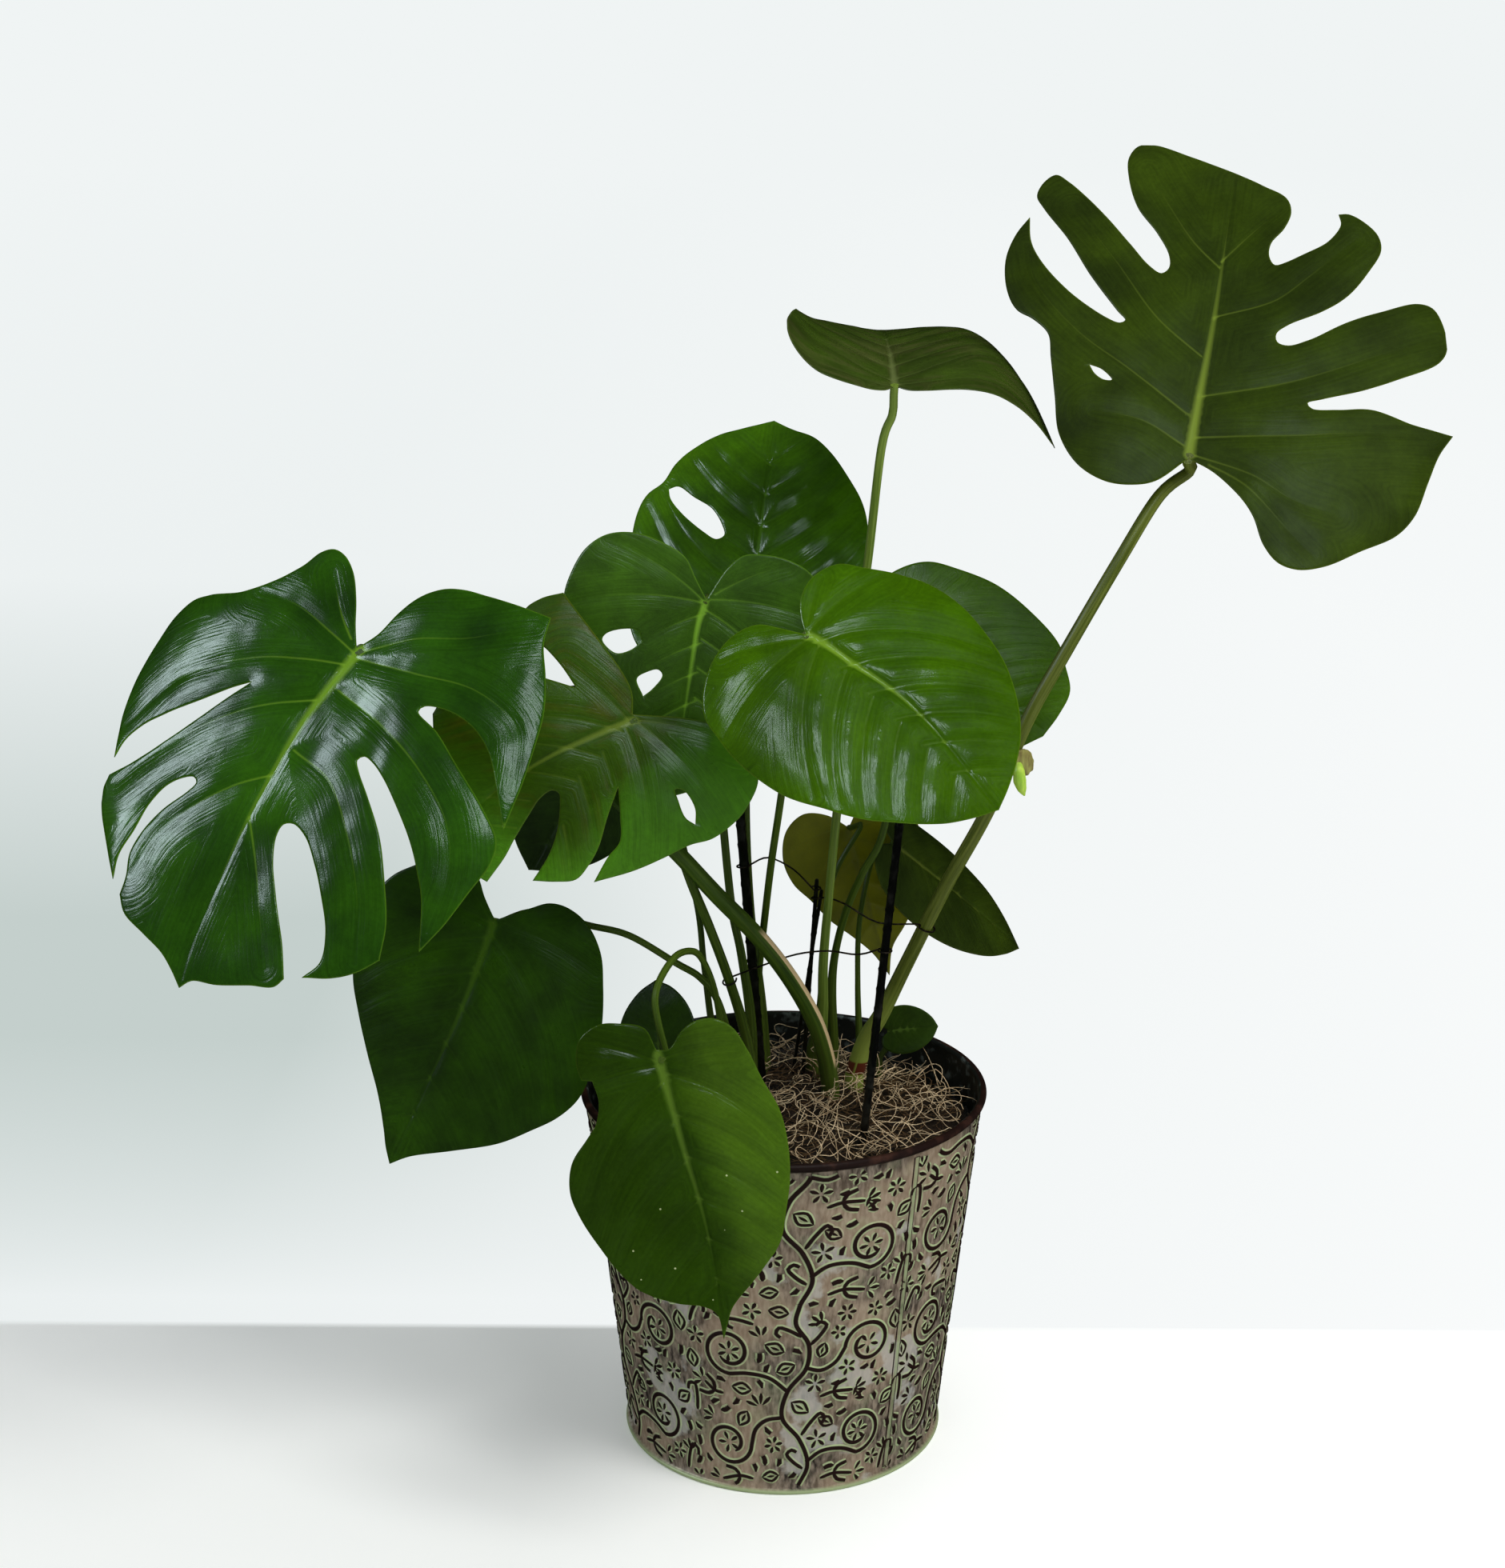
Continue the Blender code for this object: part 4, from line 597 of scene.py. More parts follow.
# %% The bright leaf in front
add_leaf("bright", joint=(0.012, -0.07, 0.546), heading=-32, rise=-33, roll=39, length=0.16,
         bend=(0.1, 2, 2, 0.1, 0.001), outline=[
    (0, 0), (0.8, -1.4), (1.5, -2.4), (2.9, -2.9), (5, -2.6), (6.7, -1.7), (7.8, -0.5), (8.2, 1.1),
    (8.4, 2.6), (8.3, 4.5), (7.9, 6.3), (7.1, 8), (6, 10.1), (4.6, 11.8), (2.7, 13.6), (1, 14.6), None,
    (-0.4, 15.2), (-1.7, 14.7), (-3.1, 14), (-4.6, 13), (-6, 11.5), (-7.3, 9.3), (-8, 6.8), (-8.2, 4.7),
    (-7.9, 2.6), (-7, 0.9), (-5.8, -0.7), (-4.8, -2), (-3.1, -2.4), (-1.5, -1.9), (-0.6, -1), None,
], midrib=[(0, 0), (-0.2, 0.5), (-0.6, 3), (-1.2, 7), (-0.4, 15.2)],
         foot=(-0.014, 0.05), thick=(4.2, 2.6, 2.4), route=[
    (-0.016, 0.047, 0.262), (-0.0165, 0.043, 0.292), (-0.0125, 0.031, 0.335), (-0.008, 0.006, 0.382),
    (-0.003, -0.02, 0.425), (0.003, -0.041, 0.475), (0.009, -0.048, 0.512),
])

# %% The leaf behind the bright one
add_leaf("behind_bright", joint=(0.074, 0.03, 0.526), heading=-19, rise=-31, roll=54, length=0.12,
         bend=(0.1, 2, 2, 0.05, 0.001), outline=[
    (0, 0), (1, -2.6), (2.5, -3.6), (4, -3), (5.5, -1), (6.3, 1.5), (6, 4.5), (4.5, 7.5), (2.5, 9.6),
    None, (0.3, 10.8), (-1.5, 10.8), (-3.1, 10.5), (-4.3, 9.3), (-5.2, 8.2), (-5.9, 5.3), (-6, 2.8),
    (-5.4, 0.3), (-4.7, -1.4), (-3.4, -2.5), (-1.8, -3), (-0.6, -2.2), None,
], midrib=[(0, 0), (0, 10.8)], foot=(0.034, 0.064), thick=(4, 2.7, 2.4), route=[
    (0.032, 0.062, 0.274), (0.034, 0.061, 0.303), (0.041, 0.055, 0.335), (0.051, 0.047, 0.363),
    (0.064, 0.043, 0.394), (0.073, 0.052, 0.465),
])

# %% The lower left leaf
add_leaf("lower_left", joint=(-0.178, -0.04, 0.359), heading=-142, rise=-60, roll=-44, length=0.16,
         bend=(0.15, 2, 2, 0.05, 0.001), outline=[
    (0, 0), (1.2, -1.1), (2, -2), (3.2, -2.6), (4.6, -2.3), (6, -1.1), (7, 0), (7.6, 1.6), (7.6, 4),
    (6.8, 6.6), (5.5, 8.6), (3.9, 10.7), (2.4, 12.6), (1.2, 14.5), (0.7, 15.4), None, (0.05, 16.3),
    (-0.9, 15.4), (-3.2, 14), (-5.7, 12.4), (-7.2, 10.9), (-8.4, 9.5), (-9.1, 8), (-9.2, 6.3), (-9, 4.5),
    (-8.5, 2.8), (-7.8, 1.1), (-6.8, -0.8), (-5.3, -2.1), (-3.8, -2.5), (-2.7, -2.3), (-1.8, -1.6),
    (-0.7, -0.6), None,
], midrib=[(0, 0), (-0.3, 6), (0, 14), (0.05, 16.2)], foot=(-0.033, 0), thick=(3.4, 2.3, 2), route=[
    (-0.034, -0.01, 0.264), (-0.041, -0.024, 0.3), (-0.052, -0.029, 0.318), (-0.067, -0.03, 0.328),
    (-0.096, -0.03, 0.346), (-0.122, -0.025, 0.351), (-0.155, -0.02, 0.358),
])

# %% The leaf that hangs over the pot
add_leaf("over_pot", joint=(-0.07, -0.155, 0.314), heading=-47, rise=-70, roll=45, length=0.16,
         bend=(0.2, 2, 2, 0.05, 0.001), outline=[
    (0.2, -0.6), (0.6, -2), (1.9, -2.6), (3.1, -2.8), (4.4, -2.2), (4.9, -0.9), None, (4.8, 0.1), None,
    (4.2, 0.3), (4.1, 1.5), (4.6, 2.8), (5.3, 3.5), (6.5, 4.7), (7, 6.3), (6.8, 7.8), (6.1, 9.7),
    (5.4, 11.3), (4.4, 12.8), (2.5, 14), (1, 14.6), (0.4, 15.2), None, (0.4, 16.8), (-0.1, 15.8),
    (-0.5, 15.1), (-1, 14.6), (-1.9, 13.9), (-3.1, 12.9), (-4.2, 11.8), (-5, 10), (-5.6, 8.4), (-6, 6.3),
    (-6, 4.3), (-5.4, 2.2), (-5, 0.5), (-4.4, -1), (-3.5, -1.7), (-2.5, -1.8), (-1.5, -1.4), (-0.5, -0.5),
    None,
], midrib=[(0.2, -0.6), (0, 5), (-0.2, 10), (0.2, 16)],
         foot=(-0.036, -0.016), thick=(3.2, 2.1, 2.2), route=[
    (-0.037, -0.023, 0.264), (-0.042, -0.041, 0.311), (-0.049, -0.06, 0.34), (-0.056, -0.078, 0.353),
    (-0.066, -0.105, 0.357), (-0.075, -0.132, 0.343),
])

# %% The leaf with light behind it
add_leaf("backlit", joint=(0.043, 0.114, 0.373), heading=-36, rise=-72, roll=-150, length=0.1,
         bend=(0.1, 1, 1, 0.05, 0.001), outline=[
    (0, 0), (1, -1), (2.5, -1.6), (4.2, -0.8), (5, 1), (5, 3.2), (4, 5.5), (2.2, 7.4), (0.8, 8.6), None,
    (0, 10.3), (-0.7, 8.6), (-1.7, 7.2), (-3, 5.6), (-3.9, 4), (-4.8, 2.6), (-5.1, 0.9), (-4.4, -0.9),
    (-2.9, -1.7), (-1.3, -1.2), None,
], midrib=[(0, 0), (0, 10.3)], foot=(0.018, 0.072), thick=(3.2, 2, 1.8), route=[
    (0.024, 0.072, 0.262), (0.027, 0.074, 0.32), (0.034, 0.082, 0.352),
])

# %% The dark leaf on the right
add_leaf("dark_right", joint=(0.0715, 0.08, 0.3725), heading=15, rise=-39, roll=31, length=0.12,
         bend=(0.05, 4.2, 4.2, 0.05, 0.001), outline=[
    (0, 0), (1, -1), (2.6, -1.2), (4, -0.2), (4.7, 1.8), (4.8, 4.3), (4.3, 6.9), (3.2, 9.3), (1.8, 10.9),
    None, (0.2, 12.2), (-1.5, 10.9), (-3.2, 9.3), (-4.3, 7), (-4.7, 4.2), (-4.2, 1.4), (-3, -0.6),
    (-1.2, -1), None,
], midrib=[(0, 0), (0, 12.2)], foot=(0.051, 0.058), thick=(3.2, 2, 1.8), route=[
    (0.049, 0.064, 0.28), (0.05, 0.072, 0.322),
])

# %% The small leaf on the left
SMALL_OUTLINE = [
    (0, 0), (0.6, -0.8), (1.6, -0.9), (2.4, 0.2), (2.6, 1.8), (2.1, 3.4), (1.1, 4.6), None, (0, 5.2),
    (-1.1, 4.6), (-2.1, 3.4), (-2.6, 1.8), (-2.4, 0.2), (-1.6, -0.9), (-0.6, -0.8), None,
]
add_leaf("small_left", joint=(-0.078, -0.03, 0.263), heading=102, rise=60, roll=-29, length=0.05,
         bend=(0.15, 2, 2, 0.1, 0.0005), outline=SMALL_OUTLINE, midrib=[(0, 0), (0, 5.2)],
         foot=(-0.05, 0.02), thick=(2.6, 2, 1.6), route=[
    (-0.062, 0.006, 0.247),
])

# %% The small leaf at the rim
add_leaf("small_right", joint=(0.07, 0.056, 0.25), heading=-8, rise=10, roll=62, length=0.05,
         bend=(0.15, 2, 2, 0.1, 0.0005), scale=0.62, outline=SMALL_OUTLINE, midrib=[(0, 0), (0, 5.2)],
         foot=(0.064, 0.06), thick=(2.6, 2, 1.6), route=[])

# %% The leaf in the shade
add_leaf("shaded", joint=(-0.1115, 0.035, 0.461), heading=-161, rise=-59, roll=-58, length=0.104,
         bend=(0.15, 2, 2, 0.05, 0.001), outline=[
    (0, 0), (1, -1.4), (2.5, -1.7), (4.1, -0.6), (5, 1.6), (4.7, 4.6), (3.5, 7.3), (1.8, 9.2), None,
    (0.2, 10.4), (-2, 9.2), (-3.8, 7.2), (-4.9, 4.4), (-5, 1.6), (-4.3, -0.8), (-2.6, -1.9), (-1, -1.4),
    None,
], midrib=[(0, 0), (0, 10.4)], foot=(-0.04, 0.036), thick=(3.2, 2.3, 2), route=[
    (-0.047, 0.038, 0.262), (-0.052, 0.042, 0.302), (-0.058, 0.05, 0.347), (-0.081, 0.058, 0.43),
])

# %% [markdown]
# ## From outline to blade
#
# The flat outline is rounded, filled with small triangles whose edges follow the veins, and then bent. The
# bend is the same formula as the solid's, so the detailed blade lies exactly where the plain one is. Relief
# comes on top of it: the skin swells between the veins and sinks along them.

# %% The blade's own axes and its bend
FOLD_SOFTNESS = 10 * MM
CURL_START = 45 * MM
WAVE_COUNT = 5


def blade_frame(leaf):
    """The blade's own directions: across, along the midrib, and out of its upper face."""
    heading, rise, roll = (math.radians(leaf[key]) for key in ("heading", "rise", "roll"))
    along = Vector((math.cos(rise) * math.cos(heading), math.cos(rise) * math.sin(heading), math.sin(rise)))
    level = (Vector((0, 0, 1)) - along * along.z).normalized()
    out = level * math.cos(roll) + along.cross(level) * math.sin(roll)
    return along.cross(out), along, out


def blade_height(leaf, x, y):
    """How far the upper face stands out of the blade's plane, for whole arrays of points at once."""
    fold, fall_left, fall_right, droop, wave = leaf["bend"]
    curl_left, curl_right = leaf["curl"]
    left = x < 0
    side = np.sqrt(x * x + FOLD_SOFTNESS**2) - FOLD_SOFTNESS
    fall = np.where(left, fall_left, fall_right) * x * x
    fall += np.where(left, curl_left, curl_right) * np.maximum(np.abs(x) - CURL_START, 0) ** 2
    tip = droop * np.maximum(y, 0) ** 2 / leaf["length"]
    edge = (x * x + y * y) / leaf["length"] ** 2
    return fold * side - fall - tip + wave * edge * np.sin(WAVE_COUNT * np.arctan2(x, y + 0.001))

# %% Rounded outlines
OUTLINE_STEP = 2.0 * MM


def round_stretch(points, step):
    """A smooth run through the points, which also keeps its shape where their distances differ."""
    points = [np.array(p, float) for p in points]
    gaps = [math.sqrt(max(np.linalg.norm(b - a), 1e-9)) for a, b in zip(points, points[1:])]
    slopes = [(b - a) / g for a, b, g in zip(points, points[1:], gaps)]
    tangents = [slopes[0]]
    for before, after, gap_before, gap_after in zip(slopes, slopes[1:], gaps, gaps[1:]):
        tangents.append((before * gap_after + after * gap_before) / (gap_before + gap_after))
    tangents.append(slopes[-1])
    run = []
    for i, gap in enumerate(gaps):
        count = max(1, round(np.linalg.norm(points[i + 1] - points[i]) / step))
        for t in np.arange(count) / count:
            rise = t * t * (3 - 2 * t)
            run.append(
                points[i] * (1 - rise) + points[i + 1] * rise
                + tangents[i] * gap * t * (1 - t) ** 2 - tangents[i + 1] * gap * t * t * (1 - t)
            )
    return run + [points[-1]]


def round_outline(outline, scale, step):
    """A closed loop in metres, rounded between its corners."""
    stretches, current = [], []
    for point in outline:
        if point is None:
            stretches.append(current)
            current = []
        else:
            current.append((point[0] * CM * scale, point[1] * CM * scale))
    if current:
        closed = current + [current[0]]
        return np.array(round_stretch(closed, step)[:-1])
    loop = []
    for i, stretch in enumerate(stretches):
        corner = stretches[(i + 1) % len(stretches)][0]
        loop += round_stretch(stretch + [corner], step)[:-1]
    return np.array(loop)


def loop_edges(loops):
    """Start and end of each edge of closed loops."""
    return np.concatenate(loops), np.concatenate([np.roll(loop, -1, axis=0) for loop in loops])


def run_edges(lines):
    """Start and end of each edge of open lines."""
    return np.concatenate([line[:-1] for line in lines]), np.concatenate([line[1:] for line in lines])


def inside(loop, points):
    """Which of the points lie inside the closed loop."""
    hit = np.zeros(len(points), bool)
    x, y = points[:, 0], points[:, 1]
    for (xa, ya), (xb, yb) in zip(loop, np.roll(loop, -1, axis=0)):
        if ya == yb:
            continue
        crosses = (ya > y) != (yb > y)
        hit ^= crosses & (x < xa + (y - ya) * (xb - xa) / (yb - ya))
    return hit


def on_blade(loops, points):
    """Which of the points lie inside the outline and outside the holes."""
    keep = inside(loops[0], points)
    for hole in loops[1:]:
        keep &= ~inside(hole, points)
    return keep


def distance_to(points, starts, ends):
    """Each point's distance to the nearest of many straight pieces, and that piece's number."""
    nearest = np.full(len(points), 1.0)
    number = np.zeros(len(points), int)
    for i, (a, b) in enumerate(zip(starts, ends)):
        way = b - a
        share = np.clip(((points - a) @ way) / max(way @ way, 1e-12), 0, 1)
        gap = np.linalg.norm(points - a - share[:, None] * way, axis=1)
        closer = gap < nearest
        nearest[closer] = gap[closer]
        number[closer] = i
    return nearest, number

# %% [markdown]
# ## Veins
#
# The midrib runs to the tip, and side veins leave it at a wide angle, bend towards the tip and fade out near
# the edge. The veins become edges of the mesh, so that their grooves stay crisp at any distance.

# %% Lines of the midrib and the side veins
VEIN_STEP = 2.5 * MM
VEIN_PAIRS = 6
VEIN_FIRST = 0.05
VEIN_LAST = 0.78
VEIN_OPEN = 66
VEIN_OPEN_STEP = 2
VEIN_CLOSE = 30
VEIN_REACH = 1.3
LOBE_VEINS = (97, 128)
LOBE_VEIN_BEND = 30
VEIN_STAGGER = 0.02
VEIN_STRIDE = 6 * MM
EDGE_CLEAR = 2.2 * MM


def rule_veins(loop):
    """Side veins laid out by rule: pairs along the midrib and two in each lobe behind the joint."""
    length = loop[:, 1].max()
    width = np.abs(loop[:, 0]).max()
    veins = []
    for side in (-1, 1):
        shares = [VEIN_FIRST + (VEIN_LAST - VEIN_FIRST) * i / (VEIN_PAIRS - 1) for i in range(VEIN_PAIRS)]
        starts = [(share, VEIN_OPEN - VEIN_OPEN_STEP * i) for i, share in enumerate(shares)]
        starts += [(0.0, angle) for angle in LOBE_VEINS]
        for share, angle in starts:
            share += VEIN_STAGGER * (side > 0)
            place = np.array((0.0, share * length))
            vein = [place]
            travelled = 0.0
            closing = VEIN_CLOSE - angle if angle < 90 else -LOBE_VEIN_BEND
            while travelled < VEIN_REACH * width:
                heading = math.radians(angle + closing * min(1, travelled / width))
                place = place + VEIN_STRIDE * np.array((side * math.sin(heading), math.cos(heading)))
                travelled += VEIN_STRIDE
                vein.append(place)
            veins.append(vein)
    return veins


def blade_lines(leaf, loops):
    """The midrib and the side veins as runs of points that end before the edge."""
    scale = leaf["scale"]
    drawn = [[(x * CM * scale, y * CM * scale) for x, y in line] for line in (leaf["midrib"], *leaf["veins"])]
    if not leaf["veins"]:
        drawn += rule_veins(loops[0])
    lines = []
    for line in drawn:
        run = np.array(round_stretch(line, VEIN_STEP))
        gap, _ = distance_to(run, *loop_edges(loops))
        free = on_blade(loops, run) & (gap > EDGE_CLEAR)
        first = int(np.argmax(free)) if free.any() else len(run)
        stop = first
        while stop < len(run) and free[stop]:
            stop += 1
        if stop - first > 3:
            lines.append(run[first:stop])
    return lines

# %% The flat net of triangles
GRID_STEP = {"large": 3.5 * MM, "medium": 3.1 * MM, "small": 2.6 * MM}
LARGE_BLADE = 0.030
SMALL_BLADE = 0.011
VEIN_BANK = 1.2 * MM
ROW_HEIGHT = 0.866
GRID_SCATTER = 0.12
MIDRIB_BANKS = (1.0 * MM, 2.2 * MM)
RIM_BANKS = (1.3 * MM, 3.2 * MM)
# Room that the inner points keep from the rim and from the veins
GRID_FROM_RIM = 0.4
GRID_FROM_VEIN = 0.8
RIM_FROM_RIM = 0.85
RIM_FROM_VEIN = 1.3
BANK_FROM_RIM = 0.5 * MM
BANK_FROM_VEIN = 0.8


def enclosed_area(loop):
    x, y = loop[:, 0], loop[:, 1]
    return 0.5 * abs(np.dot(x, np.roll(y, -1)) - np.dot(y, np.roll(x, -1)))


def bank_points(line, offset):
    """Points at both sides of a vein, so that its groove has a floor and two banks."""
    way = np.gradient(line, axis=0)
    way /= np.linalg.norm(way, axis=1)[:, None] + 1e-12
    square = np.stack([way[:, 1], -way[:, 0]], axis=1)
    return np.concatenate([line + square * offset, line - square * offset])


def fill_blade(loops, lines, seed):
    """The blade's outline, holes and veins filled with small triangles."""
    draw = np.random.default_rng(seed)
    area = enclosed_area(loops[0])
    step = GRID_STEP["large" if area > LARGE_BLADE else "small" if area < SMALL_BLADE else "medium"]
    reach = np.abs(loops[0]).max() + step
    count = int(reach / step) + 2
    upwards, sideways = np.arange(-count, int(count / ROW_HEIGHT) + 1), np.arange(-count, count + 1)
    rows, columns = np.meshgrid(upwards, sideways)
    grid = np.stack([(columns + 0.5 * (rows % 2)) * step, rows * step * ROW_HEIGHT], axis=-1).reshape(-1, 2)
    grid += draw.uniform(-GRID_SCATTER, GRID_SCATTER, grid.shape) * step
    rims = np.concatenate([bank_points(loop, offset) for loop in loops for offset in RIM_BANKS])
    banks = np.concatenate([bank_points(line, VEIN_BANK) for line in lines[1:]])
    midrib_banks = np.concatenate([bank_points(lines[0], offset) for offset in MIDRIB_BANKS])

    def free(points, edge_gap, vein_gap):
        points = points[on_blade(loops, points)]
        points = points[distance_to(points, *loop_edges(loops))[0] > edge_gap]
        return points[distance_to(points, *run_edges(lines))[0] > vein_gap]

    grid = free(grid, RIM_BANKS[1] + GRID_FROM_RIM * step, GRID_FROM_VEIN * step)
    rims = free(rims, RIM_FROM_RIM * RIM_BANKS[0], RIM_FROM_VEIN * VEIN_BANK)
    banks = free(banks, BANK_FROM_RIM, BANK_FROM_VEIN * VEIN_BANK)
    midrib_banks = free(midrib_banks, BANK_FROM_RIM, BANK_FROM_VEIN * MIDRIB_BANKS[0])
    edges, first = [], 0
    for number, line in enumerate([*loops, *lines]):
        steps = len(line) if number < len(loops) else len(line) - 1
        edges += [(first + i, first + (i + 1) % len(line)) for i in range(steps)]
        first += len(line)
    points = np.concatenate([*loops, *lines, banks, midrib_banks, rims, grid])
    net = geometry.delaunay_2d_cdt([Vector(p) for p in points], edges, [], 1, 1e-6)
    corners = np.array([tuple(p) for p in net[0]])
    faces = np.array([tuple(face) for face in net[2]])
    faces = faces[on_blade(loops, corners[faces].mean(axis=1))]
    used, renumbered = np.unique(faces, return_inverse=True)
    return corners[used], renumbered.reshape(-1, 3)

# %% [markdown]
# ## Relief and thickness
#
# Seen close by, the skin is quilted: it swells between the veins and dips at each one, and a faint
# corrugation runs out towards the edge. A Solidify modifier then gives the sheet its thickness. It is driven
# by a vertex group, so the midrib stands out on the underside as a round rib, as on the real leaf.

# %% Relief over the blade
QUILT_HEIGHT = 1.3 * MM
QUILT_REACH = 9 * MM
QUILT_EDGE = 16 * MM
QUILT_POWER = 1.5
GROOVE_DEPTH = 0.30 * MM
GROOVE_WIDTH = 1.0 * MM
MIDRIB_DEPTH = 0.7 * MM
MIDRIB_WIDTH = 3.0 * MM
RIPPLE_HEIGHT = 0.30 * MM
RIPPLES = (90, 60)
PUCKER_HEIGHT = 0.9 * MM
PUCKERS = 26
FULL_LENGTH = 0.15
VEIN_FADE = 0.75
EDGE_REACH = 6 * MM
SHEET_THICKNESS = 0.55 * MM
RIB_THICKNESS = 2.4 * MM
RIB_TAPER = 0.9
RIB_SLIMMEST = 0.15
RIB_WIDEST = 1.3
VEIN_RIB = 0.25
HOLE_STEP = 0.6 * OUTLINE_STEP


def make_blade(name, leaf, finishes, seed, swell):
    """One blade with its veins, relief and thickness, in its place on the plant. Swell scales the relief."""
    scale = leaf["scale"]
    loops = [round_outline(leaf["outline"], scale, OUTLINE_STEP)]
    loops += [round_outline(hole, scale, HOLE_STEP) for hole in leaf["holes"]]
    lines = blade_lines(leaf, loops)
    corners, faces = fill_blade(loops, lines, seed)
    x, y = corners[:, 0], corners[:, 1]
    length = loops[0][:, 1].max()

    midrib_gap, _ = distance_to(corners, *run_edges(lines[:1]))
    fade = np.concatenate([1 - VEIN_FADE * np.arange(len(line) - 1) / (len(line) - 1) for line in lines[1:]])
    vein_gap, vein_number = distance_to(corners, *run_edges(lines[1:]))
    edge_gap, _ = distance_to(corners, *loop_edges(loops))

    slim = np.clip(1 - RIB_TAPER * y / length, RIB_SLIMMEST, 1)
    rib = np.exp(-((midrib_gap / (MIDRIB_WIDTH * slim * min(RIB_WIDEST, length / FULL_LENGTH))) ** 2))
    vein = np.exp(-((vein_gap / GROOVE_WIDTH) ** 2)) * fade[vein_number]
    gap = np.minimum(vein_gap, midrib_gap)
    size = min(1, length / FULL_LENGTH)
    from_edge = np.clip(edge_gap / QUILT_EDGE, 0, 1)
    from_edge = from_edge * (2 - from_edge)
    quilt = QUILT_HEIGHT * size * (1 - np.exp(-((gap / (QUILT_REACH * size)) ** QUILT_POWER))) * from_edge
    ripple, pucker = np.zeros(len(corners)), np.zeros(len(corners))
    for i, (px, py) in enumerate(corners):
        ripple[i] = noise.noise(Vector((px * RIPPLES[0] + seed, py * RIPPLES[1], seed)))
        pucker[i] = noise.noise(Vector((px * PUCKERS, py * PUCKERS, 7.3 * seed)))
    relief = swell * (quilt - GROOVE_DEPTH * vein + RIPPLE_HEIGHT * ripple + PUCKER_HEIGHT * size * pucker)
    relief -= MIDRIB_DEPTH * size * rib

    across, along, out = (np.array(way) for way in blade_frame(leaf))
    height = blade_height(leaf, x, y) + relief
    places = np.array(leaf["joint"]) + np.outer(x, across) + np.outer(y, along) + np.outer(height, out)
    mesh = new_mesh(name, places.tolist(), faces.tolist())
    mesh.update()
    if sum(face.normal.dot(Vector(out)) for face in mesh.polygons) < 0:
        mesh.flip_normals()
    mesh.shade_smooth()
    edge = np.minimum(1, edge_gap / EDGE_REACH)
    for title, values in (("rib", rib), ("vein", vein), ("edge", edge), ("gap", gap)):
        mesh.attributes.new(title, "FLOAT", "POINT").data.foreach_set("value", values.astype(np.float32))
    flat = np.stack([x, y, np.full(len(x), seed * 0.37)], axis=1).astype(np.float32)
    mesh.attributes.new("blade place", "FLOAT_VECTOR", "POINT").data.foreach_set("vector", flat.ravel())

    sheet = add_piece("sheet " + name, mesh, finishes)
    group = sheet.vertex_groups.new(name="rib")
    for i, share in enumerate(np.clip(rib * slim + VEIN_RIB * vein, 0, 1)):
        group.add([i], float(share), "REPLACE")
    thick = sheet.modifiers.new("thickness", "SOLIDIFY")
    thick.thickness = RIB_THICKNESS
    thick.offset = -1
    thick.vertex_group = "rib"
    thick.thickness_vertex_group = SHEET_THICKNESS / RIB_THICKNESS
    thick.material_offset = 1
    piece = into_mesh(sheet, name)
    move_points(piece.data, lambda places: np.clip(places, frame_low, frame_high))
    return piece

# %% [markdown]
# ## The finish of a leaf
#
# The upper face is dark green with a waxy gloss. Its veins are paler, above all the midrib, and soft patches
# of a second tone lie between them. Fine ripples run beside the veins and break the gloss into streaks: the
# mesh carries each point's distance from the nearest vein, and noise that is stretched by that distance
# follows the veins by itself. The underside is paler and duller. Each leaf has its own colours, since young
# leaves are bright and old ones are deep green or turn brown.

# %% Colours of the leaves
def leaf_look(main, second, vein, gloss, lines, swell, **more):
    """Tones between the veins and on them, roughness, how far the side veins show, and strength of relief."""
    return dict(main=main, second=second, vein=vein, gloss=gloss, lines=lines, swell=swell) | more


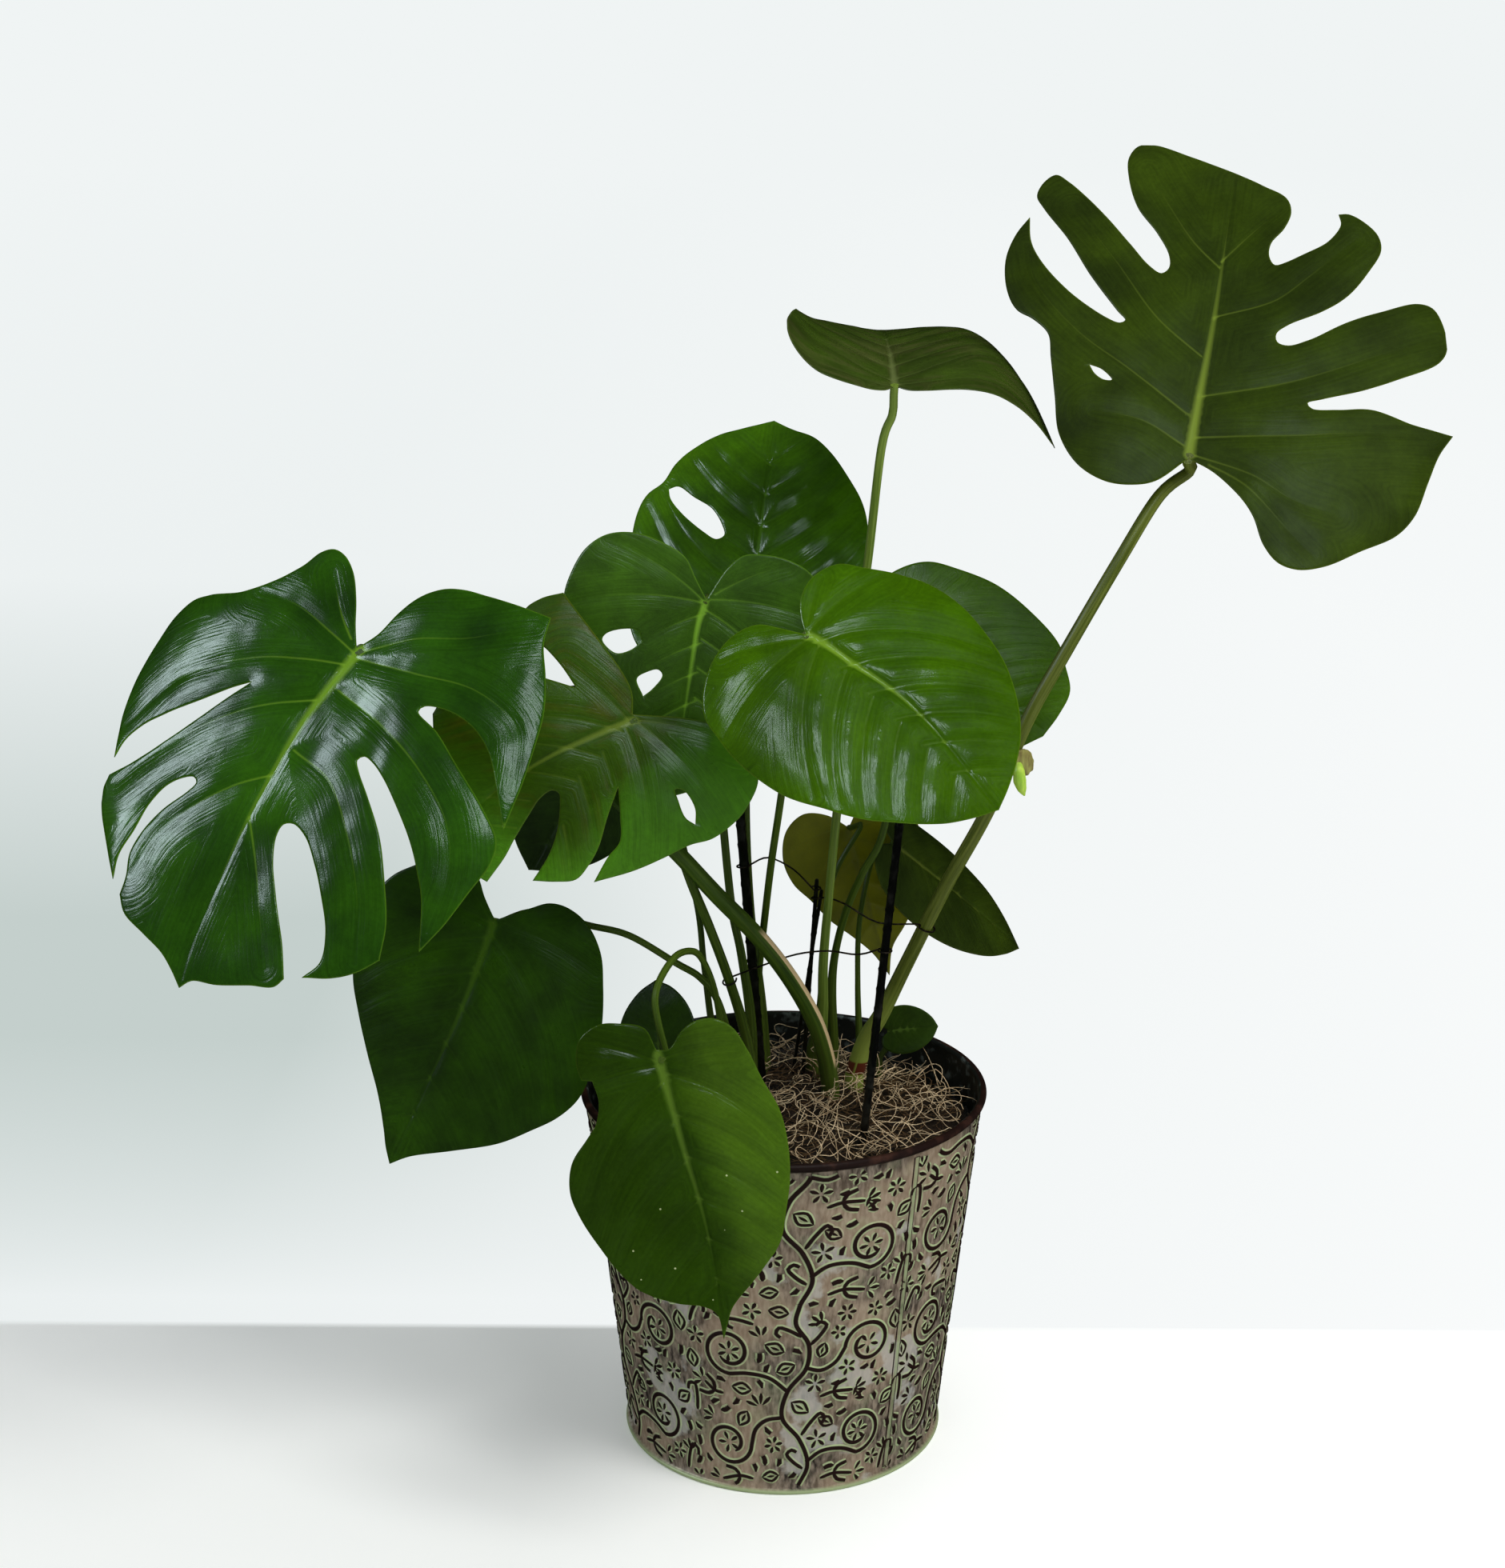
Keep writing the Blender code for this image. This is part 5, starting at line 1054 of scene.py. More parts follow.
LEAF_LOOKS = {
    "upper_right": leaf_look((47, 64, 8), (38, 52, 8), (112, 132, 44), 0.33, 0.32, 0.8,
                             ripple=0.25, mirror=0.10),
    # The top leaf's grey-brown flecks are partly brown streaks of its skin and partly a painted sheen.
    "top": leaf_look((54, 74, 18), (46, 62, 16), (92, 104, 56), 0.26, 0.30, 1.0,
                     fleck=(78, 76, 44), fleck_range=(0.46, 0.66), fleck_share=0.4),
    "back": leaf_look((68, 114, 9), (48, 86, 6), (92, 140, 30), 0.18, 0.12, 2.2),
    "middle": leaf_look((56, 92, 18), (44, 74, 14), (112, 158, 44), 0.24, 0.35, 1.1),
    "left": leaf_look((40, 82, 10), (27, 62, 6), (106, 146, 36), 0.16, 0.50, 1.1),
    "brown_green": leaf_look((64, 114, 16), (46, 74, 4), (96, 116, 36), 0.27, 0.20, 0.8, fleck=(70, 56, 6),
                             fleck_range=(0.50, 0.66), fleck_share=0.35, side=(-36, -14), end=(108, 76)),
    "bright": leaf_look((56, 92, 2), (46, 80, 2), (110, 146, 38), 0.17, 0.10, 1.5),
    "behind_bright": leaf_look((52, 84, 5), (40, 68, 4), (80, 110, 26), 0.25, 0.08, 0.7),
    "lower_left": leaf_look((34, 66, 1), (25, 50, 1), (50, 80, 8), 0.27, 0.12, 1.0),
    # Over the pot, the darker second tone on one half of the blade is painted shade.
    "over_pot": leaf_look((60, 88, 14), (34, 58, 3), (78, 106, 30), 0.18, 0.05, 2.2,
                          specks=True, side=(-20, 2), end=(400, 300)),
    # The backlit leaf's yellow tones are painted light that shines through its blade.
    "backlit": leaf_look((104, 106, 6), (78, 88, 6), (112, 116, 24), 0.42, 0.20, 0.5),
    "dark_right": leaf_look((44, 60, 6), (32, 46, 5), (80, 92, 26), 0.34, 0.12, 0.5),
    "small_left": leaf_look((36, 62, 5), (28, 50, 4), (60, 84, 24), 0.36, 0.12, 0.5),
    "small_right": leaf_look((40, 64, 6), (32, 52, 5), (64, 88, 26), 0.36, 0.12, 0.5),
    "shaded": leaf_look((42, 70, 5), (32, 54, 4), (56, 84, 14), 0.36, 0.15, 0.5),
}
STREAK_PULL = (620.0, 34.0)
FLECK_PULL = (150.0, 22.0)
SIDE_WAVE = 12 * MM
SPECK_TONE = tone(190, 200, 150)


def vein_streaks(tree, place, across, along):
    """Noise drawn out along the veins: quick across them and slow along them."""
    x, y, z = split(tree, place)
    crossing = times(tree, read_mesh(tree, "gap"), across)
    side = calculate(tree, "MULTIPLY_ADD", x, along, z)
    return cloud_noise(tree, join(tree, crossing, times(tree, y, along), side), 1.0, 3.0)


def leaf_colour(tree, place, look, patch):
    """The tones of the blade between its veins. Side and end hold the second tone to one part of it."""
    second = patch
    if "side" in look:
        x, y, _ = split(tree, place)
        wave = calculate(tree, "MULTIPLY_ADD", patch, SIDE_WAVE, x)
        aside = ramp(tree, wave, *(at * MM for at in look["side"]))
        second = times(tree, aside, ramp(tree, y, *(at * MM for at in look["end"])))
    colour = blend_colours(tree, second, tone(*look["main"]), tone(*look["second"]))
    if "fleck" in look:
        streak = vein_streaks(tree, place, *FLECK_PULL)
        drawn = ramp(tree, streak, *look["fleck_range"], 0.0, look["fleck_share"])
        share = times(tree, drawn, second) if "side" in look else drawn
        colour = blend_colours(tree, share, colour, tone(*look["fleck"]))
    if "specks" in look:
        spots = use_group(tree, SPECKS, place=place, scale=240.0, size=0.14, share=0.02)["Mask"]
        colour = blend_colours(tree, times(tree, spots, 0.6), colour, SPECK_TONE)
    return colour

# %% The two finishes of a leaf
LEAF_PATCHES = (26.0, 5.0, 0.36, 0.64)
LEAF_GRAIN = (420.0, 3.0, 0.3, 0.7)
LEAF_SHADES = (15.0, 4.0, 0.38, 0.62)
LEAF_PORES = (900.0, 2.0)
UNDERSIDE_PATCHES = (45.0, 4.0, 0.35, 0.65)
UNDERSIDE_PORES = (700.0, 2.0)
UNDERSIDE_GLOSS = 0.5
STREAK_BUMP = 0.45 * MM
STREAK_STRENGTH = 0.6
PORE_BUMP = 0.3 * MM
LEAF_MIRROR = 0.28


def leaf_finish(name, look):
    """The waxy upper face of a leaf."""
    finish, tree = new_finish(name)
    place = read_mesh(tree, "blade place", "Vector")
    patch = patches(tree, place, *LEAF_PATCHES)
    fine = patches(tree, place, *LEAF_GRAIN)
    broad = patches(tree, place, *LEAF_SHADES)
    streak = vein_streaks(tree, place, *STREAK_PULL)
    shade = ramp(tree, fine, 0, 1, 0.90, 1.08)
    for other in (ramp(tree, streak, 0.3, 0.7, 0.86, 1.12), ramp(tree, broad, 0, 1, 0.78, 1.14)):
        shade = times(tree, shade, other)
    colour = leaf_colour(tree, place, look, patch)
    colour = add_node(tree, "ShaderNodeHueSaturation", {"Color": colour, "Value": shade}).outputs["Color"]
    for key, *limits in (
        ("vein", 0.35, 0.95, 0.0, look["lines"]),
        ("rib", 0.30, 0.85, 0.0, 0.9),
        ("edge", 0.0, 0.14, 0.35, 0.0),
    ):
        colour = blend_colours(tree, ramp(tree, read_mesh(tree, key), *limits), colour, tone(*look["vein"]))
    waves = {"Strength": look.get("ripple", STREAK_STRENGTH), "Distance": STREAK_BUMP, "Height": streak}
    below = add_node(tree, "ShaderNodeBump", waves).outputs["Normal"]
    bump = (0.15, PORE_BUMP, cloud_noise(tree, place, *LEAF_PORES), below)
    gloss = ramp(tree, patch, 0, 1, look["gloss"], look["gloss"] + 0.06)
    return complete(finish, colour, gloss, bump, Specular_IOR_Level=look.get("mirror", LEAF_MIRROR))


def underside_finish(name, look):
    """The paler, duller underside."""
    finish, tree = new_finish(name)
    place = read_mesh(tree, "blade place", "Vector")
    red, green, blue = look["main"]
    pale = tone(red * 1.12 + 6, green * 1.12 + 6, blue)
    colour = blend_colours(tree, patches(tree, place, *UNDERSIDE_PATCHES), pale, tone(*look["main"]))
    raised = calculate(tree, "MAXIMUM", read_mesh(tree, "rib"), read_mesh(tree, "vein"))
    colour = blend_colours(tree, ramp(tree, raised, 0.3, 0.9, 0.0, 0.7), colour, tone(*look["vein"]))
    bump = (0.3, PORE_BUMP, cloud_noise(tree, place, *UNDERSIDE_PORES))
    return complete(finish, colour, UNDERSIDE_GLOSS, bump, Specular_IOR_Level=LEAF_MIRROR)

# %% Make the fifteen blades
for seed, (name, leaf) in enumerate(LEAVES.items(), start=1):
    title, look = "leaf_" + name, LEAF_LOOKS[name]
    finishes = [leaf_finish(title + " face", look), underside_finish(title + " underside", look)]
    blade = make_blade("blade_" + name, leaf, finishes, seed, look["swell"])
    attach(blade, "root")
    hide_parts(title)
    print(blade.name, "faces:", len(blade.data.polygons))

# %% [markdown]
# ## Stems
#
# A leaf stem is a long tube that follows a bent path and gets slimmer on its way up. Geometry Nodes make it
# from its middle line: a round profile is swept along the curve, scaled by the radius at each point, with a
# shallow channel along one side, as a monstera's leaf stem has. The same tree makes the moss fibres, the
# stakes, the wires and the sprout's point, with other values.

# %% A tree that makes a tube along a curve
CHANNEL_NARROWNESS = 6.0


def mark(tree, shape, name, value, kind="FLOAT"):
    """Stores a value on each point of a shape, where its material can read it."""
    inputs = {"Geometry": shape, "Name": name, "Value": value}
    return add_node(tree, "GeometryNodeStoreNamedAttribute", inputs, data_type=kind).outputs[0]


def make_tube_tree():
    tree, given, result = new_tree("GeometryNodeTree", "tube along a line", {
        "Line": "Geometry", "Sides": 16, "Channel": 0.0, "Finish": "Material",
    }, {"Tube": "Geometry"})
    ring = add_node(tree, "GeometryNodeCurvePrimitiveCircle", {"Resolution": given["Sides"], "Radius": 1.0})
    where = add_node(tree, "GeometryNodeInputPosition").outputs[0]
    turn = mark(tree, ring.outputs["Curve"], "around", where, "FLOAT_VECTOR")
    towards = calculate(tree, "MAXIMUM", split(tree, where)["X"], 0.0)
    sharp = calculate(tree, "POWER", towards, CHANNEL_NARROWNESS)
    pressed = calculate(tree, "SUBTRACT", 1.0, times(tree, sharp, given["Channel"]))
    shaped = add_node(tree, "ShaderNodeVectorMath", {0: where, "Scale": pressed}, operation="SCALE")
    profile = add_node(tree, "GeometryNodeSetPosition", {"Geometry": turn, "Position": shaped.outputs[0]})
    length = add_node(tree, "GeometryNodeSplineParameter").outputs["Length"]
    swept = add_node(tree, "GeometryNodeCurveToMesh", {
        "Curve": mark(tree, given["Line"], "along", length), "Profile Curve": profile.outputs[0],
        "Scale": add_node(tree, "GeometryNodeInputRadius").outputs[0], "Fill Caps": True,
    })
    smooth = add_node(tree, "GeometryNodeSetShadeSmooth", {"Geometry": swept.outputs[0]})
    return close_tree(tree, smooth.outputs[0], given["Finish"], result)


TUBE_TREE = make_tube_tree()


def grow(source, tree, **values):
    """Puts a tree on a source. Its inputs are set by the identifiers that the modifier knows them by."""
    modifier = source.modifiers.new(tree.name, "NODES")
    modifier.node_group = tree
    for item in tree.interface.items_tree:
        key = item.name.lower().replace(" ", "_")
        if item.in_out == "INPUT" and key in values:
            modifier[item.identifier] = values[key]


def line_object(name, runs):
    """A curve object with one run of points and radii for each spline."""
    curve = bpy.data.curves.new(name, "CURVE")
    curve.dimensions = "3D"
    for points, radii in runs:
        spline = curve.splines.new("POLY")
        spline.points.add(len(points) - 1)
        for place, point, radius in zip(spline.points, points, radii):
            place.co = (*point, 1.0)
            place.radius = radius
    return into_scene(name, curve)


def make_tube(name, runs, finish, sides=16, channel=0.0):
    line = line_object("line of " + name, runs)
    grow(line, TUBE_TREE, sides=sides, channel=channel, finish=finish)
    return into_mesh(line, name)

# %% [markdown]
# ## The stems' routes
#
# Each stem stands straight in the soil, follows its route through the air, and meets its blade square to the
# underside, at the knee. A smooth curve through the route's points gives the middle line.

# %% The middle line and radius of a stem
STEM_DEPTH = 0.130
STEM_STRAIGHT_TOP = 0.229
STEM_KNEE = 20 * MM
KNEE_MIDDLE = 0.35
STEM_END = 0.5 * MM
STEM_TAPER = 0.35
STEM_STEP = 4 * MM


def smooth_path(points, spans):
    """Points along a smooth curve through the given ones, with a number of steps between each two."""
    points = [Vector(p) for p in points]
    ends = [points[0] * 2 - points[1]] + points + [points[-1] * 2 - points[-2]]
    path, shares = [], []
    for i in range(1, len(ends) - 2):
        a, b, c, d = ends[i - 1 : i + 3]
        steps = max(2, round((c - b).length / STEM_STEP)) if spans is None else spans
        for step in range(steps):
            t = step / steps
            bend = t * (2 * a - 5 * b + 4 * c - d) + t * t * (3 * b - a - 3 * c + d)
            path.append(b + 0.5 * t * ((c - a) + bend))
            shares.append(i - 1 + t)
    return path + [points[-1]], shares + [len(points) - 1]


def stem_line(leaf):
    """The stem's points and radii. The radii follow the solid's, which count the route's points."""
    x, y = leaf["foot"]
    out = blade_frame(leaf)[2]
    joint = Vector(leaf["joint"])
    route = [(x, y, STEM_STRAIGHT_TOP), *leaf["route"]]
    route += [joint - out * STEM_KNEE, joint - out * KNEE_MIDDLE * STEM_KNEE]
    path, shares = smooth_path(route, None)
    path = [Vector((x, y, STEM_DEPTH))] + path + [joint - out * STEM_END]
    total = 2 * (len(route) - 1) + 2
    low, middle, high = (size * MM for size in leaf["thick"])
    radii = []
    for count in [0] + [1 + 2 * share for share in shares] + [total]:
        t = count / total
        if t < STEM_TAPER:
            radii.append(low + (middle - low) * (0.5 - 0.5 * math.cos(math.pi * t / STEM_TAPER)))
        else:
            radii.append(middle + (high - middle) * (t - STEM_TAPER) / (1 - STEM_TAPER))
    return path, radii

# %% The finish of a stem
STEM_LOOKS = {
    "upper_right": dict(
        main=(64, 76, 14), pale=(94, 104, 38), low=(164, 184, 84), low_share=0.85, scar=(104, 48, 32),
    ),
    "top": dict(main=(82, 108, 26), pale=(116, 138, 54)),
    "left": dict(main=(40, 64, 8), pale=(66, 90, 20), edge=(204, 178, 134)),
}
STEM_PLAIN = dict(main=(46, 68, 8), pale=(74, 96, 24))
STEM_STREAKS = ((3.2, 3.2, 22.0), 0.36, 0.66)
STEM_GLOSS = 0.38
STEM_BUMP = (0.35, 0.6 * MM)
SPOTS = (9.0, 6.0, 0.6, 0.72)
SPOT_TONE = tone(92, 78, 40)
SPOT_SHARE = 0.4
LOW_TONE = (88, 100, 40)
LOW_SHARE = 0.35
LOW_HEIGHTS = (0.225, 0.30)
SCAR_HEIGHTS = (0.2310, 0.2390)
SCAR_BREAKS = (2.0, 6.0, 0.30, 0.42)
EDGE_HEIGHTS = (0.250, 0.345)
EDGE_FACING = (0.74, 0.80)
STEM_MIRROR = 0.3


def between_heights(tree, height, low, high, soft):
    """1 between two heights and 0 beyond them, with a soft step at both."""
    rise, fall = ramp(tree, height, low - soft, low), ramp(tree, height, high + soft, high)
    return times(tree, rise, fall)


def stem_finish(name, look):
    """Green with long paler streaks, a little yellower near the moss."""
    finish, tree = new_finish(name)
    around = split(tree, read_mesh(tree, "around", "Vector"))
    place = join(tree, around["X"], around["Y"], read_mesh(tree, "along"))
    streak, height = streaks(tree, place, *STEM_STREAKS)
    colour = blend_colours(tree, streak, tone(*look["main"]), tone(*look["pale"]))
    spot = times(tree, patches(tree, place, *SPOTS), SPOT_SHARE)
    colour = blend_colours(tree, spot, colour, SPOT_TONE)
    z = split(tree, own_place(tree))["Z"]
    low = ramp(tree, z, *LOW_HEIGHTS, look.get("low_share", LOW_SHARE), 0.0)
    colour = blend_colours(tree, low, colour, tone(*look.get("low", LOW_TONE)))
    if look.get("scar"):
        ring = between_heights(tree, z, *SCAR_HEIGHTS, MM)
        torn = times(tree, ring, patches(tree, place, *SCAR_BREAKS))
        colour = blend_colours(tree, torn, colour, tone(*look["scar"]))
    if look.get("edge"):
        facing = split(tree, add_node(tree, "ShaderNodeNewGeometry").outputs["Normal"])["X"]
        strip = between_heights(tree, z, *EDGE_HEIGHTS, 6 * MM)
        strip = times(tree, ramp(tree, facing, *EDGE_FACING), strip)
        colour = blend_colours(tree, strip, colour, tone(*look["edge"]))
    return complete(finish, colour, STEM_GLOSS, (*STEM_BUMP, height), Specular_IOR_Level=STEM_MIRROR)

# %% Make the fifteen stems
STEM_CHANNEL = 0.22
STEM_SIDES = 18
STEM_FINISHES = {name: stem_finish("stem of " + name, look) for name, look in STEM_LOOKS.items()}
plain_finish = stem_finish("stem", STEM_PLAIN)

for name, leaf in LEAVES.items():
    finish = STEM_FINISHES.get(name, plain_finish)
    path, radii = stem_line(leaf)
    stem = make_tube("stalk_" + name, [(path, radii)], finish, STEM_SIDES, STEM_CHANNEL)
    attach(stem, "root")
    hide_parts("stem_" + name)
    print(stem.name, "points:", len(path), "faces:", len(stem.data.polygons))

# %% [markdown]
# ## The pot's sheet
#
# The pot is a cone of thin metal sheet with a rolled rim and a rolled foot. A profile turned about the Z axis
# with a Screw modifier gives exactly that. The rim and foot rolls are arcs in the profile.

# %% The turned wall
POT_HEIGHT = 0.2366
POT_RIM_RADIUS = 0.130
POT_FOOT_RADIUS = 0.104
POT_SHEET = 1.4 * MM
RIM_BEAD = 2.6 * MM
FOOT_BEAD = 1.5 * MM
RIM_NECK = 1.6 * RIM_BEAD
FOOT_NECK = 2.4 * FOOT_BEAD
POT_SIDES = 192
WALL_ROWS = 10


def wall_radius(z):
    """Outer radius of the pot's sheet at a height."""
    low = POT_FOOT_RADIUS - 2 * FOOT_BEAD
    high = POT_RIM_RADIUS - RIM_BEAD
    return low + (high - low) * z / POT_HEIGHT


WALL_SLOPE = (wall_radius(POT_HEIGHT) - wall_radius(0)) / POT_HEIGHT


def arc(middle_x, middle_z, radius, start, end, steps):
    angles = [math.radians(start + (end - start) * i / steps) for i in range(steps + 1)]
    return [(middle_x + radius * math.cos(a), middle_z + radius * math.sin(a)) for a in angles]


def turn_profile(name, profile, sides, finish):
    """A profile of (radius, height) points turned about the Z axis into a closed mesh."""
    line = [(i, i + 1) for i in range(len(profile) - 1)]
    mesh = new_mesh(name, [(r, 0, z) for r, z in profile], [], line)
    flat = add_piece("profile of " + name, mesh, [finish])
    screw = flat.modifiers.new("turn", "SCREW")
    screw.steps = screw.render_steps = sides
    screw.use_merge_vertices = True
    screw.merge_threshold = 0.01 * MM
    made = into_mesh(flat, name)
    turn_faces_out(made.data, 0.005 * MM)
    made.data.shade_smooth()
    return made


def pot_profile():
    rim_x, rim_z = POT_RIM_RADIUS - RIM_BEAD, POT_HEIGHT - RIM_BEAD
    top = rim_z - RIM_NECK
    rows = [POT_SHEET + (top - POT_SHEET) * i / WALL_ROWS for i in range(WALL_ROWS + 1)]
    profile = [(0, POT_SHEET)] + [(wall_radius(z) - POT_SHEET, z) for z in rows]
    profile += arc(rim_x, rim_z, RIM_BEAD, 190, -80, 20)
    profile += [(wall_radius(z), z) for z in (*[z for z in reversed(rows) if z > FOOT_NECK], FOOT_NECK)]
    profile += arc(POT_FOOT_RADIUS - FOOT_BEAD, FOOT_BEAD, FOOT_BEAD, 60, -90, 10)
    return profile + [(0, 0)]

# %% [markdown]
# ## Antiqued metal
#
# The sheet was painted with a grey-brown wash and brushed, so upright streaks, cloudy patches and small
# bright scratches lie over it. The rim's roll is rubbed to copper brown and the foot's roll keeps a pale
# green edge. A point's height and distance from the middle tell the material which part it is on, so one
# material finishes the whole sheet.

# %% The pot's finish
SHEET_TONE = tone(150, 129, 107)
SHEET_LIGHT = tone(200, 182, 160)
SHEET_DARK = tone(50, 41, 35)
SHEET_WORN = tone(208, 207, 201)
PALE_GREEN = tone(172, 188, 140)
RIM_DARK = tone(40, 24, 20)
RIM_WORN = tone(92, 56, 42)
# Inside the pot the sheet is dark, and its pale patches are painted glints of light.
INSIDE_TONE = tone(34, 38, 36)
INSIDE_PAINTED_GLINT = tone(104, 114, 114)
BRUSHING = ((380.0, 380.0, 120.0), 0.36, 0.66)
CLOUDS = (18.0, 9.0, 0.40, 0.60)
SCRATCHES = (23.0, 10.0, 0.58, 0.61)
GREEN_HAZE = (60.0, 5.0, 0.54, 0.70)
RIM_WEAR = (90.0, 5.0, 0.5, 0.7)
INSIDE_GLINT_PATCHES = (130.0, 6.0, 0.55, 0.66)
RIM_HEIGHTS = (POT_HEIGHT - 6.4 * MM, POT_HEIGHT - 5.6 * MM)
FOOT_HEIGHTS = (3.4 * MM, 2.2 * MM)
METAL_BUMP = (0.3, 0.4 * MM)


def metal_wash(tree, place):
    """Colour and height of the washed and brushed sheet, and its dark clouds."""
    brushed, height = streaks(tree, place, *BRUSHING)
    clouds = patches(tree, place, *CLOUDS)
    colour = blend_colours(tree, clouds, SHEET_TONE, SHEET_DARK)
    for mask, share, wash in (
        (brushed, 0.50, SHEET_LIGHT),
        (patches(tree, place, *SCRATCHES), 0.52, SHEET_WORN),
        (patches(tree, place, *GREEN_HAZE), 0.18, PALE_GREEN),
    ):
        colour = blend_colours(tree, times(tree, mask, share), colour, wash)
    return colour, height, clouds


def pot_finish():
    finish, tree = new_finish("antiqued metal")
    place = own_place(tree)
    z = split(tree, place)["Z"]
    colour, height, clouds = metal_wash(tree, place)
    flat = add_node(tree, "ShaderNodeVectorMath", {0: place, 1: (1.0, 1.0, 0.0)}, operation="MULTIPLY")
    reach = add_node(tree, "ShaderNodeVectorMath", {0: flat.outputs[0]}, operation="LENGTH").outputs["Value"]
    wall = calculate(tree, "MULTIPLY_ADD", z, WALL_SLOPE, wall_radius(0) - 0.5 * POT_SHEET)
    within = ramp(tree, calculate(tree, "SUBTRACT", wall, reach), 0.2 * MM, 0.5 * MM)
    worn = times(tree, patches(tree, place, *RIM_WEAR), 0.6)
    # Painted glints on the dark inner sheet.
    painted_glints = patches(tree, place, *INSIDE_GLINT_PATCHES)
    for share, other in (
        (ramp(tree, z, *FOOT_HEIGHTS), PALE_GREEN),
        (ramp(tree, z, *RIM_HEIGHTS), blend_colours(tree, worn, RIM_DARK, RIM_WORN)),
        (within, blend_colours(tree, painted_glints, INSIDE_TONE, INSIDE_PAINTED_GLINT)),
    ):
        colour = blend_colours(tree, share, colour, other)
    gloss = ramp(tree, clouds, 0, 1, 0.36, 0.52)
    return complete(finish, colour, gloss, (*METAL_BUMP, height), Metallic=0.30)


pot = turn_profile("pot_sheet", pot_profile(), POT_SIDES, pot_finish())
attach(pot, "root")
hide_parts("pot")
print("pot sheet faces:", len(pot.data.polygons))

# %% [markdown]
# ## The pressed pattern
#
# A traditional scroll of vines, spirals, small leaves and daisies is pressed into the sheet. Its lines are
# real ridges. One tile is drawn flat as plain strokes and repeated five times round and up to the rim, which
# cuts it off. A Geometry Nodes tree sweeps a ridge profile along every stroke and wraps it round the cone.

# %% Strokes of the pattern
TILES_ROUND = 5
TILES_UP = 2
TILE_SCALE = 1.2
TILE_HEIGHT = 112 * TILE_SCALE
PATTERN_LOW = 4
WRAP_RADIUS = 116.5
TILE_WIDTH = 2 * math.pi * WRAP_RADIUS / TILES_ROUND
STROKE_STEP = 1.9
FILL_ROOM = 5.2
DAISY_ROOM = 6.6
LEAFLET_ROOM = 8.5
FILL_SEED = 31


def direction(degrees):
    """A step of one unit in a direction, and the one square to it."""
    way = np.array((math.cos(math.radians(degrees)), math.sin(math.radians(degrees))))
    return way, np.array((-way[1], way[0]))


def bent(points, width=1.0, ends=(0.55, 0.45)):
    """A stroke through a few points, slimmer at its ends."""
    run = np.array(round_stretch(points, STROKE_STEP))
    share = np.linspace(0, 1, len(run))
    taper = np.minimum(1, np.minimum(ends[0] + 5 * share, ends[1] + 5 * (1 - share)))
    return run, width * taper


def spiral(x, y, start, turns, hand, size=13.5, close=0.55):
    """A stroke that winds inwards round a middle point."""
    length = 2 * math.pi * 0.75 * size * turns
    share = np.linspace(0, 1, max(6, int(length / STROKE_STEP)))
    reach = size * (1 - close * share**1.15)
    angle = np.radians(start) + hand * 2 * math.pi * turns * share
    run = np.stack([x + reach * np.cos(angle), y + reach * np.sin(angle)], axis=1)
    return run, np.minimum(1.1, 0.6 + 6 * (1 - share))


def petals(x, y, inner, outer, count, start=0.0, sweep=360.0):
    """Short thick strokes round a point, as a daisy's petals or a fan of buds."""
    strokes = []
    reach = inner + (outer - inner) * np.linspace(0, 1, 4)[:, None]
    for i in range(count):
        way, _ = direction(start + sweep * i / (count if sweep == 360 else count - 1))
        strokes.append((np.array((x, y)) + way * reach, np.array((0.45, 0.9, 1.05, 0.6))))
    return strokes


def leaflet(x, y, length, angle, spread=0.30):
    """An outlined leaf: two bowed edges and a short middle stroke."""
    way, square = direction(angle)
    base, tip = np.array((x, y)), np.array((x, y)) + way * length
    middle = base + way * 0.45 * length
    return [
        bent([base, middle + square * spread * length, tip], 0.85),
        bent([base, middle - square * spread * length, tip], 0.85),
        bent([base + way * 0.25 * length, base + way * 0.7 * length], 0.8),
    ]


def sprig(x, y, angle, length, bow, buds=4):
    """A bowed stem that ends in a fan of buds, with one thick leaf on each side."""
    way, square = direction(angle)
    base = np.array((x, y))
    root, tip = base + way * 0.4 * length + square * bow, base + way * length
    strokes = [bent([base, root, tip], 1.0, (0.7, 0.8))]
    strokes += petals(*(tip + way), 2.0, 7.5, buds, angle - 55, 110)
    for side in (-square, square):
        strokes.append(bent([root, root + way * 2.5 + side * 4, root + way * 8 + side * 6], 1.1, (0.6, 0.9)))
    return strokes


def comma(x, y, angle, length=6.0):
    """One short thick stroke."""
    way, square = direction(angle)
    base = np.array((x, y))
    return bent([base, base + way * 0.5 * length - 0.6 * square, base + way * length], 1.3, (0.5, 0.9))


def crook(x, y, angle, length, hand):
    """A stroke that ends in a small hook."""
    way, square = direction(angle)
    steps = ((0, 0), (0.5, 1.0), (0.9, 3.4), (0.82, 7.0), (0.60, 7.2))
    points = [np.array((x, y)) + way * ahead * length + hand * square * aside for ahead, aside in steps]
    return bent(points, 1.05, (0.7, 0.9))


